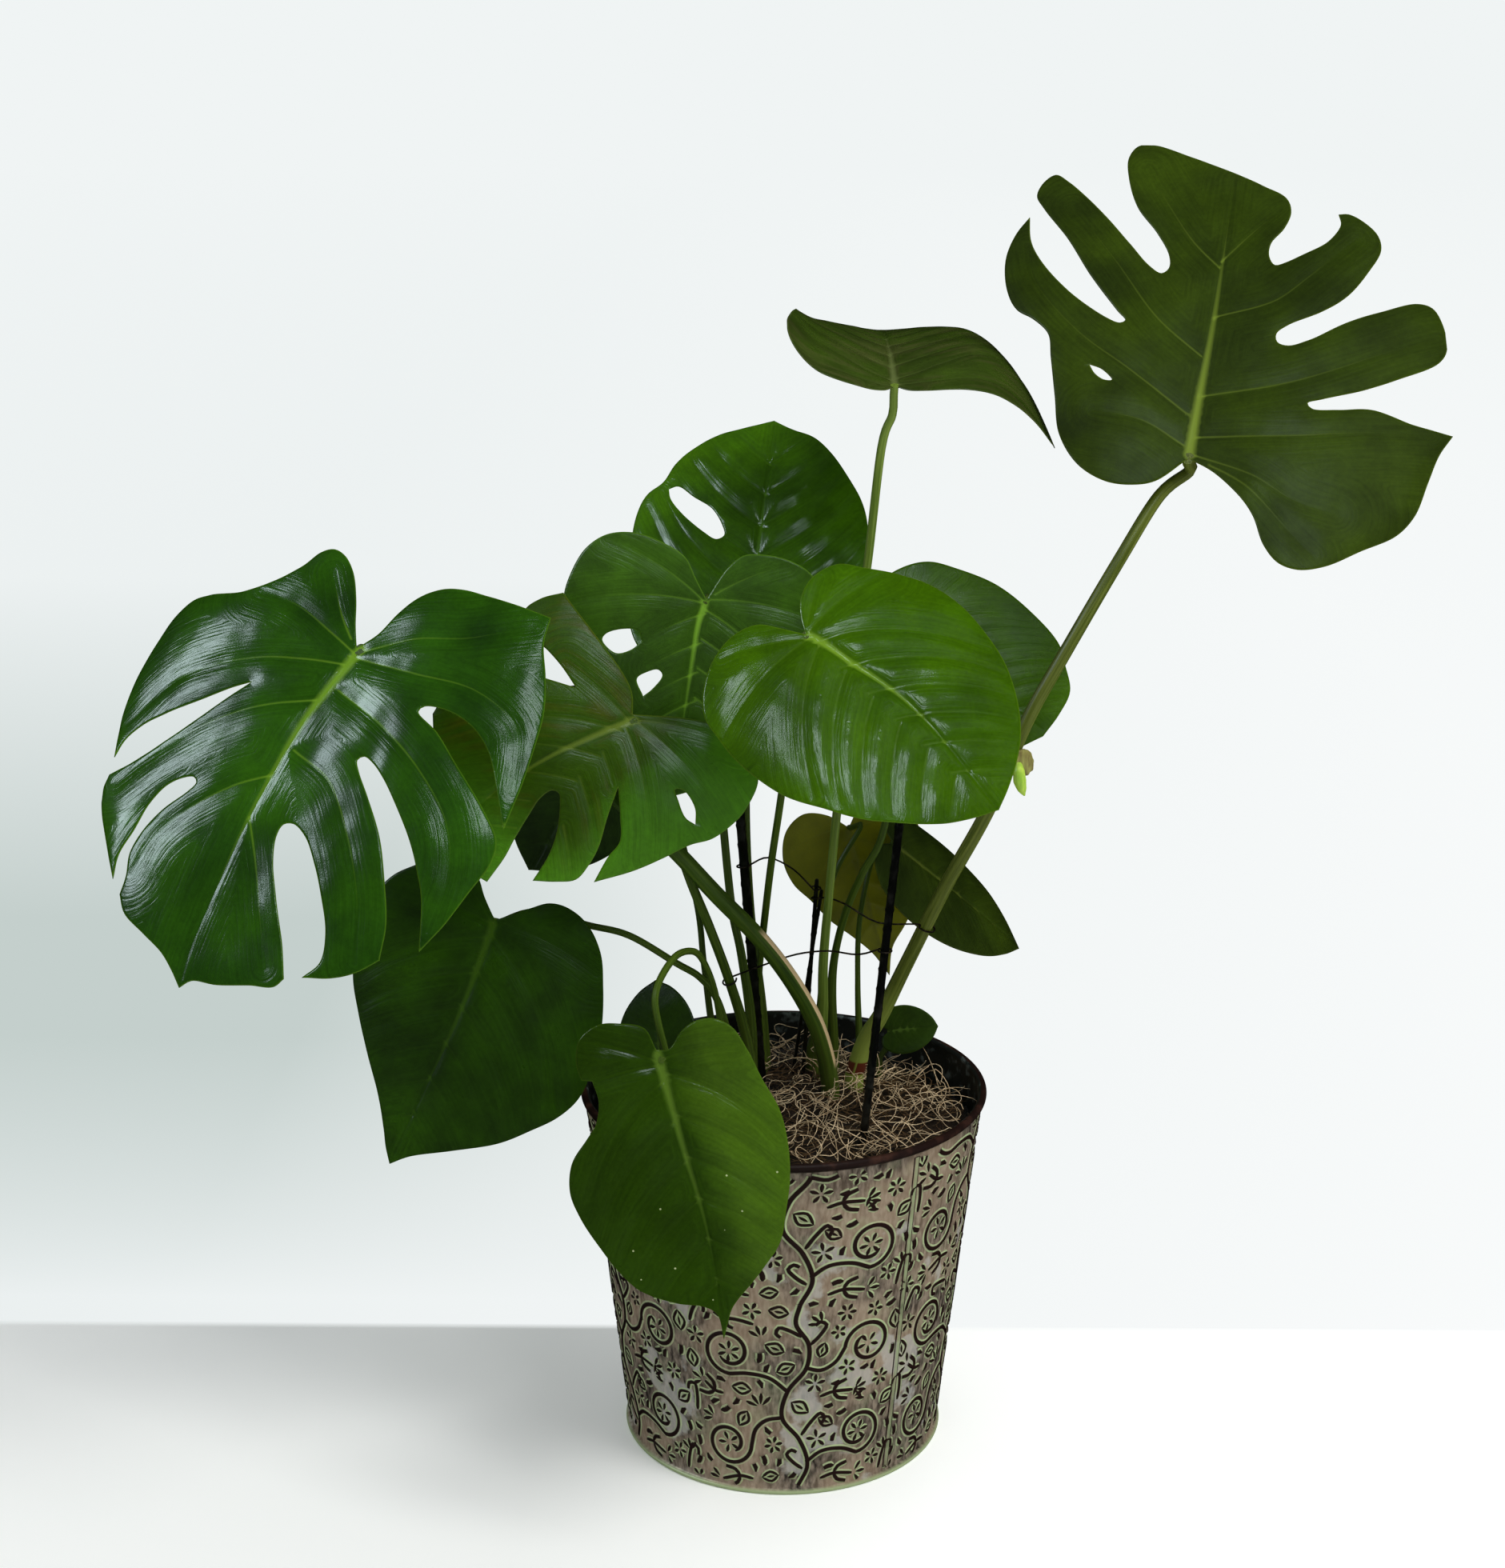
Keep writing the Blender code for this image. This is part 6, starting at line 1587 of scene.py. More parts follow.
def fill_gaps(strokes):
    """More buds, small daisies and leaves in the free spaces, the largest space first."""
    size = np.array((TILE_WIDTH, TILE_HEIGHT)) / TILE_SCALE
    rng = np.random.default_rng(FILL_SEED)
    across, up = np.meshgrid(np.arange(-size[0] / 2, size[0] / 2, 2.0), np.arange(0, size[1], 2.0))
    spots = np.stack([across.ravel(), up.ravel()], axis=1)

    def room_beside(drawn):
        away = spots[:, None] - np.concatenate([points for points, _ in drawn])[None]
        away = (away + size / 2) % size - size / 2
        return np.hypot(away[..., 0], away[..., 1]).min(axis=1)

    room = room_beside(strokes)
    while room.max() > FILL_ROOM:
        reach, spot, angle = room.max(), spots[room.argmax()], rng.uniform(0, 360)
        way, _ = direction(angle)
        if reach > LEAFLET_ROOM:
            long = 1.5 * (reach - 2)
            more = leaflet(*(spot - long / 2 * way), long, angle)
        elif reach > DAISY_ROOM:
            more = petals(*spot, 1.2, reach - 2.4, 5, angle)
        else:
            more = [comma(*(spot - 2.5 * way), angle, 5)]
        strokes = strokes + more
        room = np.minimum(room, room_beside(more))
    return strokes


def pattern_tile():
    """One tile's strokes, 122 units wide and 112 high: a winding vine with curls, leaves and daisies."""
    strokes = [
        bent([(2, 0), (8, 14), (3, 30), (-7, 44), (-4, 60), (6, 74), (7, 88), (0, 101), (2, 112)],
             1.15, (1, 1)),
        bent([(7, 16), (16, 22), (28, 22), (38, 17.5)], 1.1, (1, 1)), spiral(38, 31, -90, 1.15, 1),
        bent([(-7, 44), (-16, 42), (-22, 36), (-24.5, 26)], 1.1, (1, 1)), spiral(-38, 26, 0, 1.15, -1),
        bent([(-4, 60), (-14, 68), (-26, 70), (-36, 68.5)], 1.1, (1, 1)), spiral(-36, 82, -90, 1.15, -1),
        bent([(6, 74), (14, 72), (22, 76), (27, 84)], 1.1, (1, 1)), spiral(40.5, 84, 180, 1.15, -1),
    ]
    for x, y, angle, length, hand in (
        (4, 33, 62, 18, -1), (8, 88, 40, 15, 1), (5, 12, 150, 14, -1), (3, 93, 140, 14, 1),
        (-57, 42, 80, 17, 1), (55, 3, 85, 18, -1), (-22, 100, 160, 15, 1), (-58, 96, 80, 14, -1),
    ):
        strokes.append(crook(x, y, angle, length, hand))
    for place in (
        (-17, 14, 100), (20, 63, 10, 5), (56, 73, 80), (24, 44, 20), (-42, 45, 30), (-57, 20, 95),
        (-60, 8, 60), (50, 104, 20), (59, 27, 100), (-20, 77, 80), (-49, 99, 60, 5), (24, 12, 190),
    ):
        strokes.append(comma(*place))
    for x, y, count, start in ((38, 31, 6, 10), (-38, 26, 5, 40), (-36, 82, 6, 25), (40.5, 84, 5, 55)):
        strokes += petals(x, y, 1.8, 6.4, count, start)
    for x, y, start in ((-12, 27, 15), (27, 105, 0), (50, 61, 15)):
        strokes += petals(x, y, 1.5, 5.2, 6, start)
    strokes += petals(-19, 50, 2.0, 8.5, 4, 50, 110)
    for x, y, start in ((-18, 92, 70), (58, 14, 60), (-46, 40, 120), (33, 52, -10), (14, 100, 100)):
        strokes += petals(x, y, 2.0, 7.5, 3, start, 80)
    for root in (
        (14, 56, 4, 19, 1.5, 4), (16, 5, 0, 20, 2.0, 3), (-24, 5, 188, 19, -2.0, 4),
        (-40, 56, 155, 12, 1.5, 3),
    ):
        strokes += sprig(*root)
    for root in (
        (22, 38, 10, 150), (-24, 60, 11, 175), (13, 80, 9, 72), (-9, 8, 10, 190), (-57, 68, 11, 100),
        (58, 88, 12, 98), (52, 44, 11, 40), (-6, 84, 11, 158),
    ):
        strokes += leaflet(*root)
    return fill_gaps(strokes)

# %% A tree that sweeps the ridges and wraps them round the pot
LINE_HALF_WIDTH = 1.3 * MM
RIDGE_HEIGHT = 0.85 * MM


def make_ridge_profile():
    """The cross-section of a pressed line, one unit high: a soft skirt and a rounded crest."""
    side = [(2.0, -0.5), (1.8, 0.07), (1.05, 0.20), (0.62, 0.78), (0.0, 1.0)]
    points = side + [(-x, z) for x, z in reversed(side[:-1])]
    return line_object("ridge profile", [([(x, z, 0) for x, z in points], [1.0] * len(points))])


def make_wrap_tree():
    tree, given, result = new_tree("GeometryNodeTree", "pressed pattern", {
        "Strokes": "Geometry", "Profile": "Object", "Half width": 0.001, "Ridge height": 0.0005,
        "Wrap radius": 0.1165, "Foot radius": 0.1, "Flare": 0.1, "Finish": "Material",
    }, {"Ridges": "Geometry"})
    profile = add_node(tree, "GeometryNodeObjectInfo", {"Object": given["Profile"]}).outputs["Geometry"]
    upright = add_node(tree, "GeometryNodeSetCurveNormal", {"Curve": given["Strokes"]}, mode="Z_UP")
    radius = add_node(tree, "GeometryNodeInputRadius").outputs[0]
    swept = add_node(tree, "GeometryNodeCurveToMesh", {
        "Curve": upright.outputs[0], "Profile Curve": profile,
        "Scale": times(tree, radius, given["Half width"]),
    })
    x, y, z = split(tree, add_node(tree, "GeometryNodeInputPosition").outputs[0])
    rise = calculate(tree, "DIVIDE", z, times(tree, given["Half width"], -1.0))
    marked = mark(tree, swept.outputs[0], "crest", rise)
    angle = calculate(tree, "DIVIDE", x, given["Wrap radius"])
    wall = calculate(tree, "MULTIPLY_ADD", y, given["Flare"], given["Foot radius"])
    reach = calculate(tree, "MULTIPLY_ADD", rise, given["Ridge height"], wall)
    ahead = times(tree, reach, calculate(tree, "COSINE", angle))
    aside = times(tree, reach, calculate(tree, "SINE", angle))
    wrapped = join(tree, aside, times(tree, ahead, -1.0), y)
    laid = add_node(tree, "GeometryNodeSetPosition", {"Geometry": marked, "Position": wrapped})
    smooth = add_node(tree, "GeometryNodeSetShadeSmooth", {"Geometry": laid.outputs[0]})
    return close_tree(tree, smooth.outputs[0], given["Finish"], result)

# %% [markdown]
# The crest of each ridge is rubbed dark brown, and pale green wash has stayed in the corner beside it. The
# material reads the ridge's own height, which the tree stores on the mesh, and mixes the tones by it.

# %% Finish of the ridges
LINE_DARK = tone(40, 20, 17)
LINE_GLOSS = 0.42
GREEN_BREAKS = (70.0, 4.0, 0.35, 0.6)


def ridge_finish():
    finish, tree = new_finish("pressed pattern")
    place = own_place(tree)
    colour, height, _ = metal_wash(tree, place)
    crest = read_mesh(tree, "crest")
    broken = ramp(tree, patches(tree, place, *GREEN_BREAKS), 0, 1, 0.35, 1.0)
    green = times(tree, ramp(tree, crest, -0.05, 0.08), broken)
    colour = blend_colours(tree, green, colour, PALE_GREEN)
    colour = blend_colours(tree, ramp(tree, crest, 0.20, 0.42), colour, LINE_DARK)
    return complete(finish, colour, LINE_GLOSS, (*METAL_BUMP, height), Metallic=0.15)

# %% Press the pattern into the pot
SEAM_ANGLE = math.radians(-50)
PATTERN_HIGH = POT_HEIGHT / MM - 9
FEWEST_POINTS = 3


def pattern_runs():
    """All strokes in metres on the unrolled wall. X runs round the pot from its front, and Y runs up."""
    seam = (SEAM_ANGLE + math.pi / 2) * WRAP_RADIUS
    tile = pattern_tile()
    runs = []
    for column in range(TILES_ROUND):
        for row in range(TILES_UP):
            shift = np.array((seam + (column + 0.5) * TILE_WIDTH, PATTERN_LOW + row * TILE_HEIGHT))
            for points, widths in tile:
                placed = points * TILE_SCALE + shift
                on_wall = (placed[:, 1] > PATTERN_LOW) & (placed[:, 1] < PATTERN_HIGH)
                if on_wall.sum() >= FEWEST_POINTS:
                    flat = np.column_stack([placed[on_wall] * MM, np.zeros(on_wall.sum())])
                    runs.append((flat.tolist(), widths[on_wall].tolist()))
    return runs


strokes = line_object("strokes", pattern_runs())
profile = make_ridge_profile()
grow(
    strokes, make_wrap_tree(), profile=profile, half_width=LINE_HALF_WIDTH, ridge_height=RIDGE_HEIGHT,
    wrap_radius=WRAP_RADIUS * MM, foot_radius=wall_radius(0), flare=WALL_SLOPE, finish=ridge_finish(),
)
pattern = into_mesh(strokes, "pot_pattern")
bpy.data.objects.remove(profile, do_unlink=True)
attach(pattern, "root")
print("pattern faces:", len(pattern.data.polygons))

# %% [markdown]
# ## The seam
#
# The sheet's two edges lock in a folded strip that runs down the right front of the pot. It is drawn as a
# strip with a soft round over it, and a narrow gap on one side where the fold goes under.

# %% The seam strip
SEAM_LOW = 6 * MM
SEAM_HIGH = POT_HEIGHT - 8.5 * MM
SEAM_HALF_WIDTH = 2.1 * MM
SEAM_PROUD = 0.75 * MM
SEAM_ROWS = 24
SEAM_WEAR = (55.0, 4.0, 0.4, 0.6)
SEAM_SECTION = [
    (-1.15, -0.4), (-1.1, 0.15), (-0.9, 0.7), (-0.55, 0.98), (0.0, 1.0), (0.5, 0.95), (0.62, 0.55),
    (0.72, 0.55), (0.85, 0.75), (1.1, 0.2), (1.15, -0.4),
]


def seam_finish():
    finish, tree = new_finish("seam of the sheet")
    place = own_place(tree)
    colour, height, _ = metal_wash(tree, place)
    crest = read_mesh(tree, "crest")
    worn = ramp(tree, patches(tree, place, *SEAM_WEAR), 0, 1, 0.35, 0.85)
    share = times(tree, ramp(tree, crest, 0.80, 0.95), worn)
    colour = blend_colours(tree, ramp(tree, crest, 0.76, 0.60), colour, LINE_DARK)
    colour = blend_colours(tree, share, colour, PALE_GREEN)
    return complete(finish, colour, LINE_GLOSS, (*METAL_BUMP, height), Metallic=0.4)


def make_seam():
    points, crest = [], []
    count = len(SEAM_SECTION)
    for row in range(SEAM_ROWS + 1):
        z = SEAM_LOW + (SEAM_HIGH - SEAM_LOW) * row / SEAM_ROWS
        for across, rise in SEAM_SECTION:
            reach = wall_radius(z) + rise * SEAM_PROUD
            angle = SEAM_ANGLE + across * SEAM_HALF_WIDTH / wall_radius(z)
            points.append((reach * math.cos(angle), reach * math.sin(angle), z))
            crest.append(rise)
    rows = range(0, SEAM_ROWS * count, count)
    faces = [(a, a + 1, a + count + 1, a + count) for low in rows for a in range(low, low + count - 1)]
    faces += [tuple(range(count - 1, -1, -1)), tuple(SEAM_ROWS * count + i for i in range(count))]
    faces += [(a, a + count, a + 2 * count - 1, a + count - 1) for a in rows]
    mesh = new_mesh("pot_seam", points, faces)
    turn_faces_out(mesh)
    mesh.attributes.new("crest", "FLOAT", "POINT").data.foreach_set("value", crest)
    return add_piece("pot_seam", mesh, [seam_finish()])


seam = make_seam()
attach(seam, "root")
print("seam faces:", len(seam.data.polygons))

# %% [markdown]
# ## Soil
#
# Almost nothing of the soil shows, so its solid from the frame stays and only gets a dark, crumbly material.

# %% Soil
SOIL_CRUMBS = (260.0, 8.0, 0.3, 0.7)


def soil_finish():
    finish, tree = new_finish("soil")
    crumb = patches(tree, own_place(tree), *SOIL_CRUMBS)
    colour = blend_colours(tree, crumb, tone(32, 24, 18), tone(70, 54, 40))
    return complete(finish, colour, 0.95, (1.0, 2 * MM, crumb))


soil = frame["nodes"]["soil"]
soil.data.materials.clear()
soil.data.materials.append(soil_finish())

# %% [markdown]
# ## Moss
#
# The top of the pot is filled with dry sphagnum: pale, thin and curly fibres over a mat. The mat is a lumpy
# sheet that closes the pot, coloured nearly black as painted shade deep in the moss. The fibres are thousands
# of short curls in a dark layer and a pale one: the low layer's darkness is painted shade, and the top
# layer's paleness is partly the moss's own tan and partly painted light. Eight seeded curls are drawn for
# each layer, and Geometry Nodes scatter them over the mat, turned and scaled at random with a fixed seed.

# %% The mat under the fibres, in painted shade
SOIL_TOP = 0.183
MOSS_TOP = 0.218
MOSS_RISE = 7 * MM
MOSS_DIP = 15 * MM
MOSS_LOW_SIDE = (0.6, 0.8)
MOSS_LEVEL_SHARE = 0.35
MOSS_LUMP = 1.5 * MM
MOSS_LUMPS = ((70, 1.0), (64, 0.4))
MOSS_CLEAR = 0.35 * MM
MOSS_SINK = 3 * MM
MOSS_TUFTS = (55.0, 6.0, 0.35, 0.65)
MOSS_GRAIN = (600.0, 4.0, 0.35, 0.65)
MOSS_BUMP = (0.6, 0.8 * MM)
MAT_RINGS = 34
MAT_SIDES = 120
MAT_CRUMBS = ((0.1, 130, 2.6 * MM), (0.4, 420, 1.1 * MM))


def inner_radius(z):
    return wall_radius(z) - POT_SHEET - MOSS_CLEAR


def moss_height(x, y):
    """Top of the moss: a low mound that falls away towards the right rear."""
    reach = math.hypot(x, y) / inner_radius(MOSS_TOP)
    towards = (MOSS_LOW_SIDE[0] * x + MOSS_LOW_SIDE[1] * y) / inner_radius(MOSS_TOP)
    fall = max(0.0, towards - MOSS_LEVEL_SHARE)
    lump = math.prod(math.sin(close * at + start) for at, (close, start) in zip((x, y), MOSS_LUMPS))
    return MOSS_TOP + MOSS_RISE * (1 - reach * reach) - MOSS_DIP * fall + MOSS_LUMP * lump


def moss_finish(name, dark, light):
    finish, tree = new_finish(name)
    place = own_place(tree)
    tuft = times(tree, patches(tree, place, *MOSS_TUFTS), 0.5)
    grain = patches(tree, place, *MOSS_GRAIN)
    colour = blend_colours(tree, calculate(tree, "MULTIPLY_ADD", grain, 0.5, tuft), tone(*dark), tone(*light))
    return complete(finish, colour, 0.85, (*MOSS_BUMP, grain))


def ring_places(reach, sides):
    """Places evenly round a circle."""
    angles = [2 * math.pi * side / sides for side in range(sides)]
    return [(reach * math.cos(angle), reach * math.sin(angle)) for angle in angles]


def disc_places(reach, rings, sides):
    """The middle of a disc, and then its rings from the smallest to the largest."""
    places = [(0, 0)]
    for ring in range(1, rings + 1):
        places += ring_places(reach * ring / rings, sides)
    return places


def disc_faces(rings, sides):
    """A fan of triangles round the middle, and four-sided faces from each ring to the next."""
    beside = [(i, (i + 1) % sides) for i in range(sides)]
    faces = [(0, 1 + i, 1 + j) for i, j in beside]
    for low in range(1, 1 + (rings - 1) * sides, sides):
        faces += [(low + i, low + sides + i, low + sides + j, low + j) for i, j in beside]
    return faces


def make_mat():
    """A lumpy disc on short walls, closed below, a little under the tops of the fibres."""
    points = []
    for x, y in disc_places(inner_radius(MOSS_TOP - MOSS_DIP), MAT_RINGS, MAT_SIDES):
        crumbs = [noise.noise(Vector((x, y, z)) * scale) * size for z, scale, size in MAT_CRUMBS]
        points.append((x, y, moss_height(x, y) - MOSS_SINK + sum(crumbs)))
    bottom, floor_z = len(points), SOIL_TOP + MOSS_CLEAR
    points += [(x, y, floor_z) for x, y in ring_places(inner_radius(floor_z), MAT_SIDES)]
    faces = disc_faces(MAT_RINGS + 1, MAT_SIDES)
    faces.append(tuple(bottom + i for i in reversed(range(MAT_SIDES))))
    mesh = new_mesh("moss_mat", points, faces)
    turn_faces_out(mesh)
    mesh.shade_smooth()
    # The mat's near-black tones are painted shade deep in the moss.
    return add_piece("moss_mat", mesh, [moss_finish("moss mat in painted shade", (12, 8, 5), (44, 31, 20))])


mat = make_mat()
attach(mat, "root")
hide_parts("moss")
print("mat faces:", len(mat.data.polygons))

# %% Eight curls to scatter
CURL_KINDS = 8
CURL_POINTS = 16
CURL_STEP = 3.4 * MM
CURL_RADIUS = 0.36 * MM
CURL_LEAN = 0.3
CURL_STEADINESS = 0.85
CURL_TURN = 0.52
CURL_WIGGLE = 0.22
CURL_SEED = 11


def make_curls(finish):
    """Thin three-sided fibres with seeded bends, kept in a collection that isn't in the scene."""
    draw = np.random.default_rng(CURL_SEED)
    kinds = bpy.data.collections.new("curls")
    shares = [(i + 0.5) / CURL_POINTS for i in range(CURL_POINTS)]
    radii = [CURL_RADIUS * (0.6 + 0.4 * math.sin(math.pi * share)) for share in shares]
    for kind in range(CURL_KINDS):
        heading, lean = draw.uniform(0, 6.28), draw.uniform(-CURL_LEAN, CURL_LEAN)
        turn = draw.uniform(-CURL_TURN, CURL_TURN)
        place = np.zeros(3)
        points = []
        for _ in range(CURL_POINTS):
            points.append(place)
            heading += turn + draw.uniform(-CURL_WIGGLE, CURL_WIGGLE)
            lean = CURL_STEADINESS * lean + draw.uniform(-CURL_WIGGLE, CURL_WIGGLE)
            level = math.cos(lean)
            way = (math.cos(heading) * level, math.sin(heading) * level, math.sin(lean))
            place = place + CURL_STEP * np.array(way)
        points = np.array(points) - np.mean(points, axis=0)
        curl = make_tube("curl %d" % kind, [(points.tolist(), radii)], finish, 3)
        bpy.context.scene.collection.objects.unlink(curl)
        kinds.objects.link(curl)
    return kinds

# %% A tree that scatters the curls
FULL_TURN = 6.283


def draw_between(tree, low, high, seed, kind="FLOAT"):
    """A random number between two others, or a random vector between two others."""
    first = 0 if kind == "FLOAT_VECTOR" else 2
    inputs = {first: low, first + 1: high, "Seed": seed}
    return add_node(tree, "FunctionNodeRandomValue", inputs, data_type=kind).outputs[first // 2]


def make_scatter_tree():
    tree, given, result = new_tree("GeometryNodeTree", "scattered curls", {
        "Ground": "Geometry", "Curls": "Collection", "Density": 40000.0, "Seed": 1, "Smallest": 0.6,
        "Largest": 1.1, "Tilt": 0.4, "Lift": 0.0, "Finish": "Material",
    }, {"Fibres": "Geometry"})
    seed, tilt, tilt_back = given["Seed"], given["Tilt"], times(tree, given["Tilt"], -1.0)
    spread = add_node(
        tree, "GeometryNodeDistributePointsOnFaces",
        {"Mesh": given["Ground"], "Density": given["Density"], "Seed": seed}, distribute_method="RANDOM",
    )
    kinds = add_node(tree, "GeometryNodeCollectionInfo", {
        "Collection": given["Curls"], "Separate Children": True, "Reset Children": True,
    })
    least, most = join(tree, tilt_back, tilt_back, 0.0), join(tree, tilt, tilt, FULL_TURN)
    placed = add_node(tree, "GeometryNodeInstanceOnPoints", {
        "Points": spread.outputs["Points"], "Instance": kinds.outputs[0], "Pick Instance": True,
        "Rotation": draw_between(tree, least, most, seed, "FLOAT_VECTOR"),
        "Scale": draw_between(tree, given["Smallest"], given["Largest"], seed),
    })
    up = join(tree, 0.0, 0.0, draw_between(tree, 0.0, given["Lift"], seed))
    lifted = add_node(tree, "GeometryNodeSetPosition", {"Geometry": placed.outputs[0], "Offset": up})
    return close_tree(tree, lifted.outputs[0], given["Finish"], result)

# %% Scatter the fibres in two layers
SCATTER_TREE = make_scatter_tree()
GROUND_RINGS = 12
GROUND_SIDES = 48
FIBRE_EDGE = 12 * MM
FIBRE_CLEAR = 0.5 * MM
# Low layer: dark tones as painted shade. Top layer: the moss's own tan, paled in part as painted light.
FIBRE_LAYERS = {
    "moss_fibres_low": dict(
        seed=3, density=17000.0, smallest=0.5, largest=1.0, tilt=0.40, lift=4.0 * MM,
        tones=((34, 24, 13), (120, 92, 58)),
    ),
    "moss_fibres_top": dict(
        seed=8, density=12500.0, smallest=0.5, largest=1.15, tilt=0.85, lift=15.0 * MM,
        tones=((154, 122, 84), (255, 232, 192)),
    ),
}


def make_ground(name):
    """A plain copy of the moss top that ends a little before the wall, for scattering alone."""
    places = disc_places(inner_radius(MOSS_TOP) - FIBRE_EDGE, GROUND_RINGS, GROUND_SIDES)
    points = [(x, y, moss_height(x, y) - MOSS_SINK) for x, y in places]
    return add_piece(name, new_mesh(name, points, disc_faces(GROUND_RINGS, GROUND_SIDES)), [])


def hold_in_pot(places):
    """Draws fibres that reach past the pot's inner wall back to it."""
    reach = np.hypot(places[:, 0], places[:, 1])
    limit = inner_radius(places[:, 2]) - FIBRE_CLEAR
    places[:, :2] *= np.minimum(1, limit / np.maximum(reach, 1e-6))[:, None]
    return places


for name, layer in FIBRE_LAYERS.items():
    finish = moss_finish(name.replace("_", " "), *layer["tones"])
    kinds = make_curls(finish)
    ground = make_ground("ground of " + name)
    grow(ground, SCATTER_TREE, curls=kinds, finish=finish, **layer)
    fibres = into_mesh(ground, name)
    move_points(fibres.data, hold_in_pot)
    for curl in list(kinds.objects):
        bpy.data.objects.remove(curl, do_unlink=True)
    bpy.data.collections.remove(kinds)
    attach(fibres, "root")
    print(fibres.name, "faces:", len(fibres.data.polygons))

# %% [markdown]
# ## Stakes
#
# Four dark rods stand in the pot and hold the stems. The thick ones are coated steel with small knobs along
# them and a rounded head, and the tube tree makes them from a radius that swells at each knob.

# %% Stakes
STAKES = {
    "stake_left": dict(foot=(-0.0077, 0.030, 0.140), head=(-0.0312, 0.030, 0.445), radius=3.6 * MM),
    "stake_front": dict(foot=(0.0420, -0.056, 0.140), head=(0.0725, -0.058, 0.465), radius=3.0 * MM),
    "stake_thin": dict(foot=(0.0085, 0.052, 0.150), head=(0.0212, 0.052, 0.357), radius=1.6 * MM),
    "stake_thin_back": dict(foot=(-0.0037, 0.060, 0.150), head=(0.0245, 0.060, 0.347), radius=1.4 * MM),
}
ROD_WEAR = (160.0, 6.0, 0.5, 0.7)
KNOB_EVERY = 13 * MM
KNOB_SWELL = 0.16
KNOB_SHARPNESS = 10
STAKE_STEP = 1.6 * MM
STAKE_END = 0.05 * MM
ROUND_STEPS = 5


def stake_line(stake):
    foot, head, radius = Vector(stake["foot"]), Vector(stake["head"]), stake["radius"]
    way = (head - foot).normalized()
    length = (head - foot).length - radius
    count = int(length / STAKE_STEP)
    body = radius * (1 - KNOB_SWELL)
    points, radii = [], []
    for i in range(count + 1):
        along = length * i / count
        knob = max(0.0, math.cos(2 * math.pi * along / KNOB_EVERY)) ** KNOB_SHARPNESS
        points.append(foot + way * along)
        radii.append(radius * (1 - KNOB_SWELL + KNOB_SWELL * knob))
    for i in range(1, ROUND_STEPS + 1):
        angle = 0.5 * math.pi * i / ROUND_STEPS
        points.append(foot + way * (length + radius * math.sin(angle)))
        radii.append(max(body * math.cos(angle), STAKE_END))
    return points, radii


def stake_finish():
    finish, tree = new_finish("coated rod")
    worn = patches(tree, own_place(tree), *ROD_WEAR)
    colour = blend_colours(tree, worn, tone(8, 9, 8), tone(30, 30, 24))
    return complete(finish, colour, ramp(tree, worn, 0, 1, 0.32, 0.6))


rod_finish = stake_finish()
for name, stake in STAKES.items():
    rod = make_tube(name.replace("stake", "rod"), [stake_line(stake)], rod_finish, 16)
    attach(rod, "root")
    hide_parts(name)
    print(rod.name, "faces:", len(rod.data.polygons))

# %% [markdown]
# ## Wire ties
#
# Thin dark wires run from a stake to a stem or to another stake, with an open turn round each. Both ends hold
# on to something, so they are no loose cords: each follows its real route.

# %% Wire ties
WIRE_WEAR = (300.0, 4.0, 0.45, 0.7)
WIRE_RADIUS = 0.6 * MM
WIRE_GAP = 0.5 * MM
WIRE_SIDES = 8
WIRE_SPANS = 4
WIRE_TURN = math.radians(290)
WIRE_TURN_STEPS = 8
WIRE_TURN_RISE = 1.2 * MM
WIRE_LEAD = math.radians(40)
TIES = {
    "tie_left": dict(
        first="stake_left", z_first=0.372, last="stake_thin", z_last=0.350,
        between=[(-0.010, 0.046, 0.373), (0.006, 0.049, 0.364)],
    ),
    "tie_right": dict(
        first="stake_thin", z_first=0.343, last="upper_right", z_last=0.340,
        between=[(0.029, 0.054, 0.343), (0.040, 0.047, 0.341), (0.060, 0.026, 0.336)],
    ),
    "tie_low": dict(
        first="stake_front", z_first=0.346, last="brown_green", z_last=0.309,
        between=[
            (0.046, -0.038, 0.337), (0.028, -0.012, 0.330), (0.008, 0.004, 0.322), (-0.014, 0.002, 0.315),
        ],
    ),
}


def held_at(name, z):
    """Middle, direction and radius of a stake or a leaf's stem at a height."""
    if name in STAKES:
        path = [Vector(STAKES[name][end]) for end in ("foot", "head")]
        radii = [STAKES[name]["radius"]]
    else:
        path, radii = stem_line(LEAVES[name])
    for low, high, radius in zip(path, path[1:], radii):
        if low.z <= z < high.z:
            return low + (high - low) * (z - low.z) / (high.z - low.z), high - low, radius
    raise ValueError(name + " isn't that tall")


def wire_turn(held, start):
    """An open turn of wire round a rod or stem, square to it, rising a little as it goes."""
    middle, along, radius = held
    radius += WIRE_RADIUS + WIRE_GAP
    lean = Vector((0, 0, 1)).rotation_difference(along)
    turned = []
    for i in range(WIRE_TURN_STEPS + 1):
        angle = start + WIRE_TURN * i / WIRE_TURN_STEPS
        rise = WIRE_TURN_RISE * i / WIRE_TURN_STEPS
        turned.append(middle + lean @ Vector((radius * math.cos(angle), radius * math.sin(angle), rise)))
    return turned


def tie_points(tie):
    start, end = held_at(tie["first"], tie["z_first"]), held_at(tie["last"], tie["z_last"])
    between = [Vector(p) for p in tie["between"]]
    way_out, way_in = between[0] - start[0], between[-1] - end[0]
    leave = math.atan2(way_out.y, way_out.x) - WIRE_LEAD
    arrive = math.atan2(way_in.y, way_in.x) + WIRE_LEAD
    return wire_turn(start, leave - WIRE_TURN) + between + wire_turn(end, arrive)


def wire_finish():
    finish, tree = new_finish("dark wire")
    worn = patches(tree, own_place(tree), *WIRE_WEAR)
    colour = blend_colours(tree, worn, tone(30, 26, 22), tone(84, 70, 56))
    return complete(finish, colour, 0.42, Metallic=0.6)


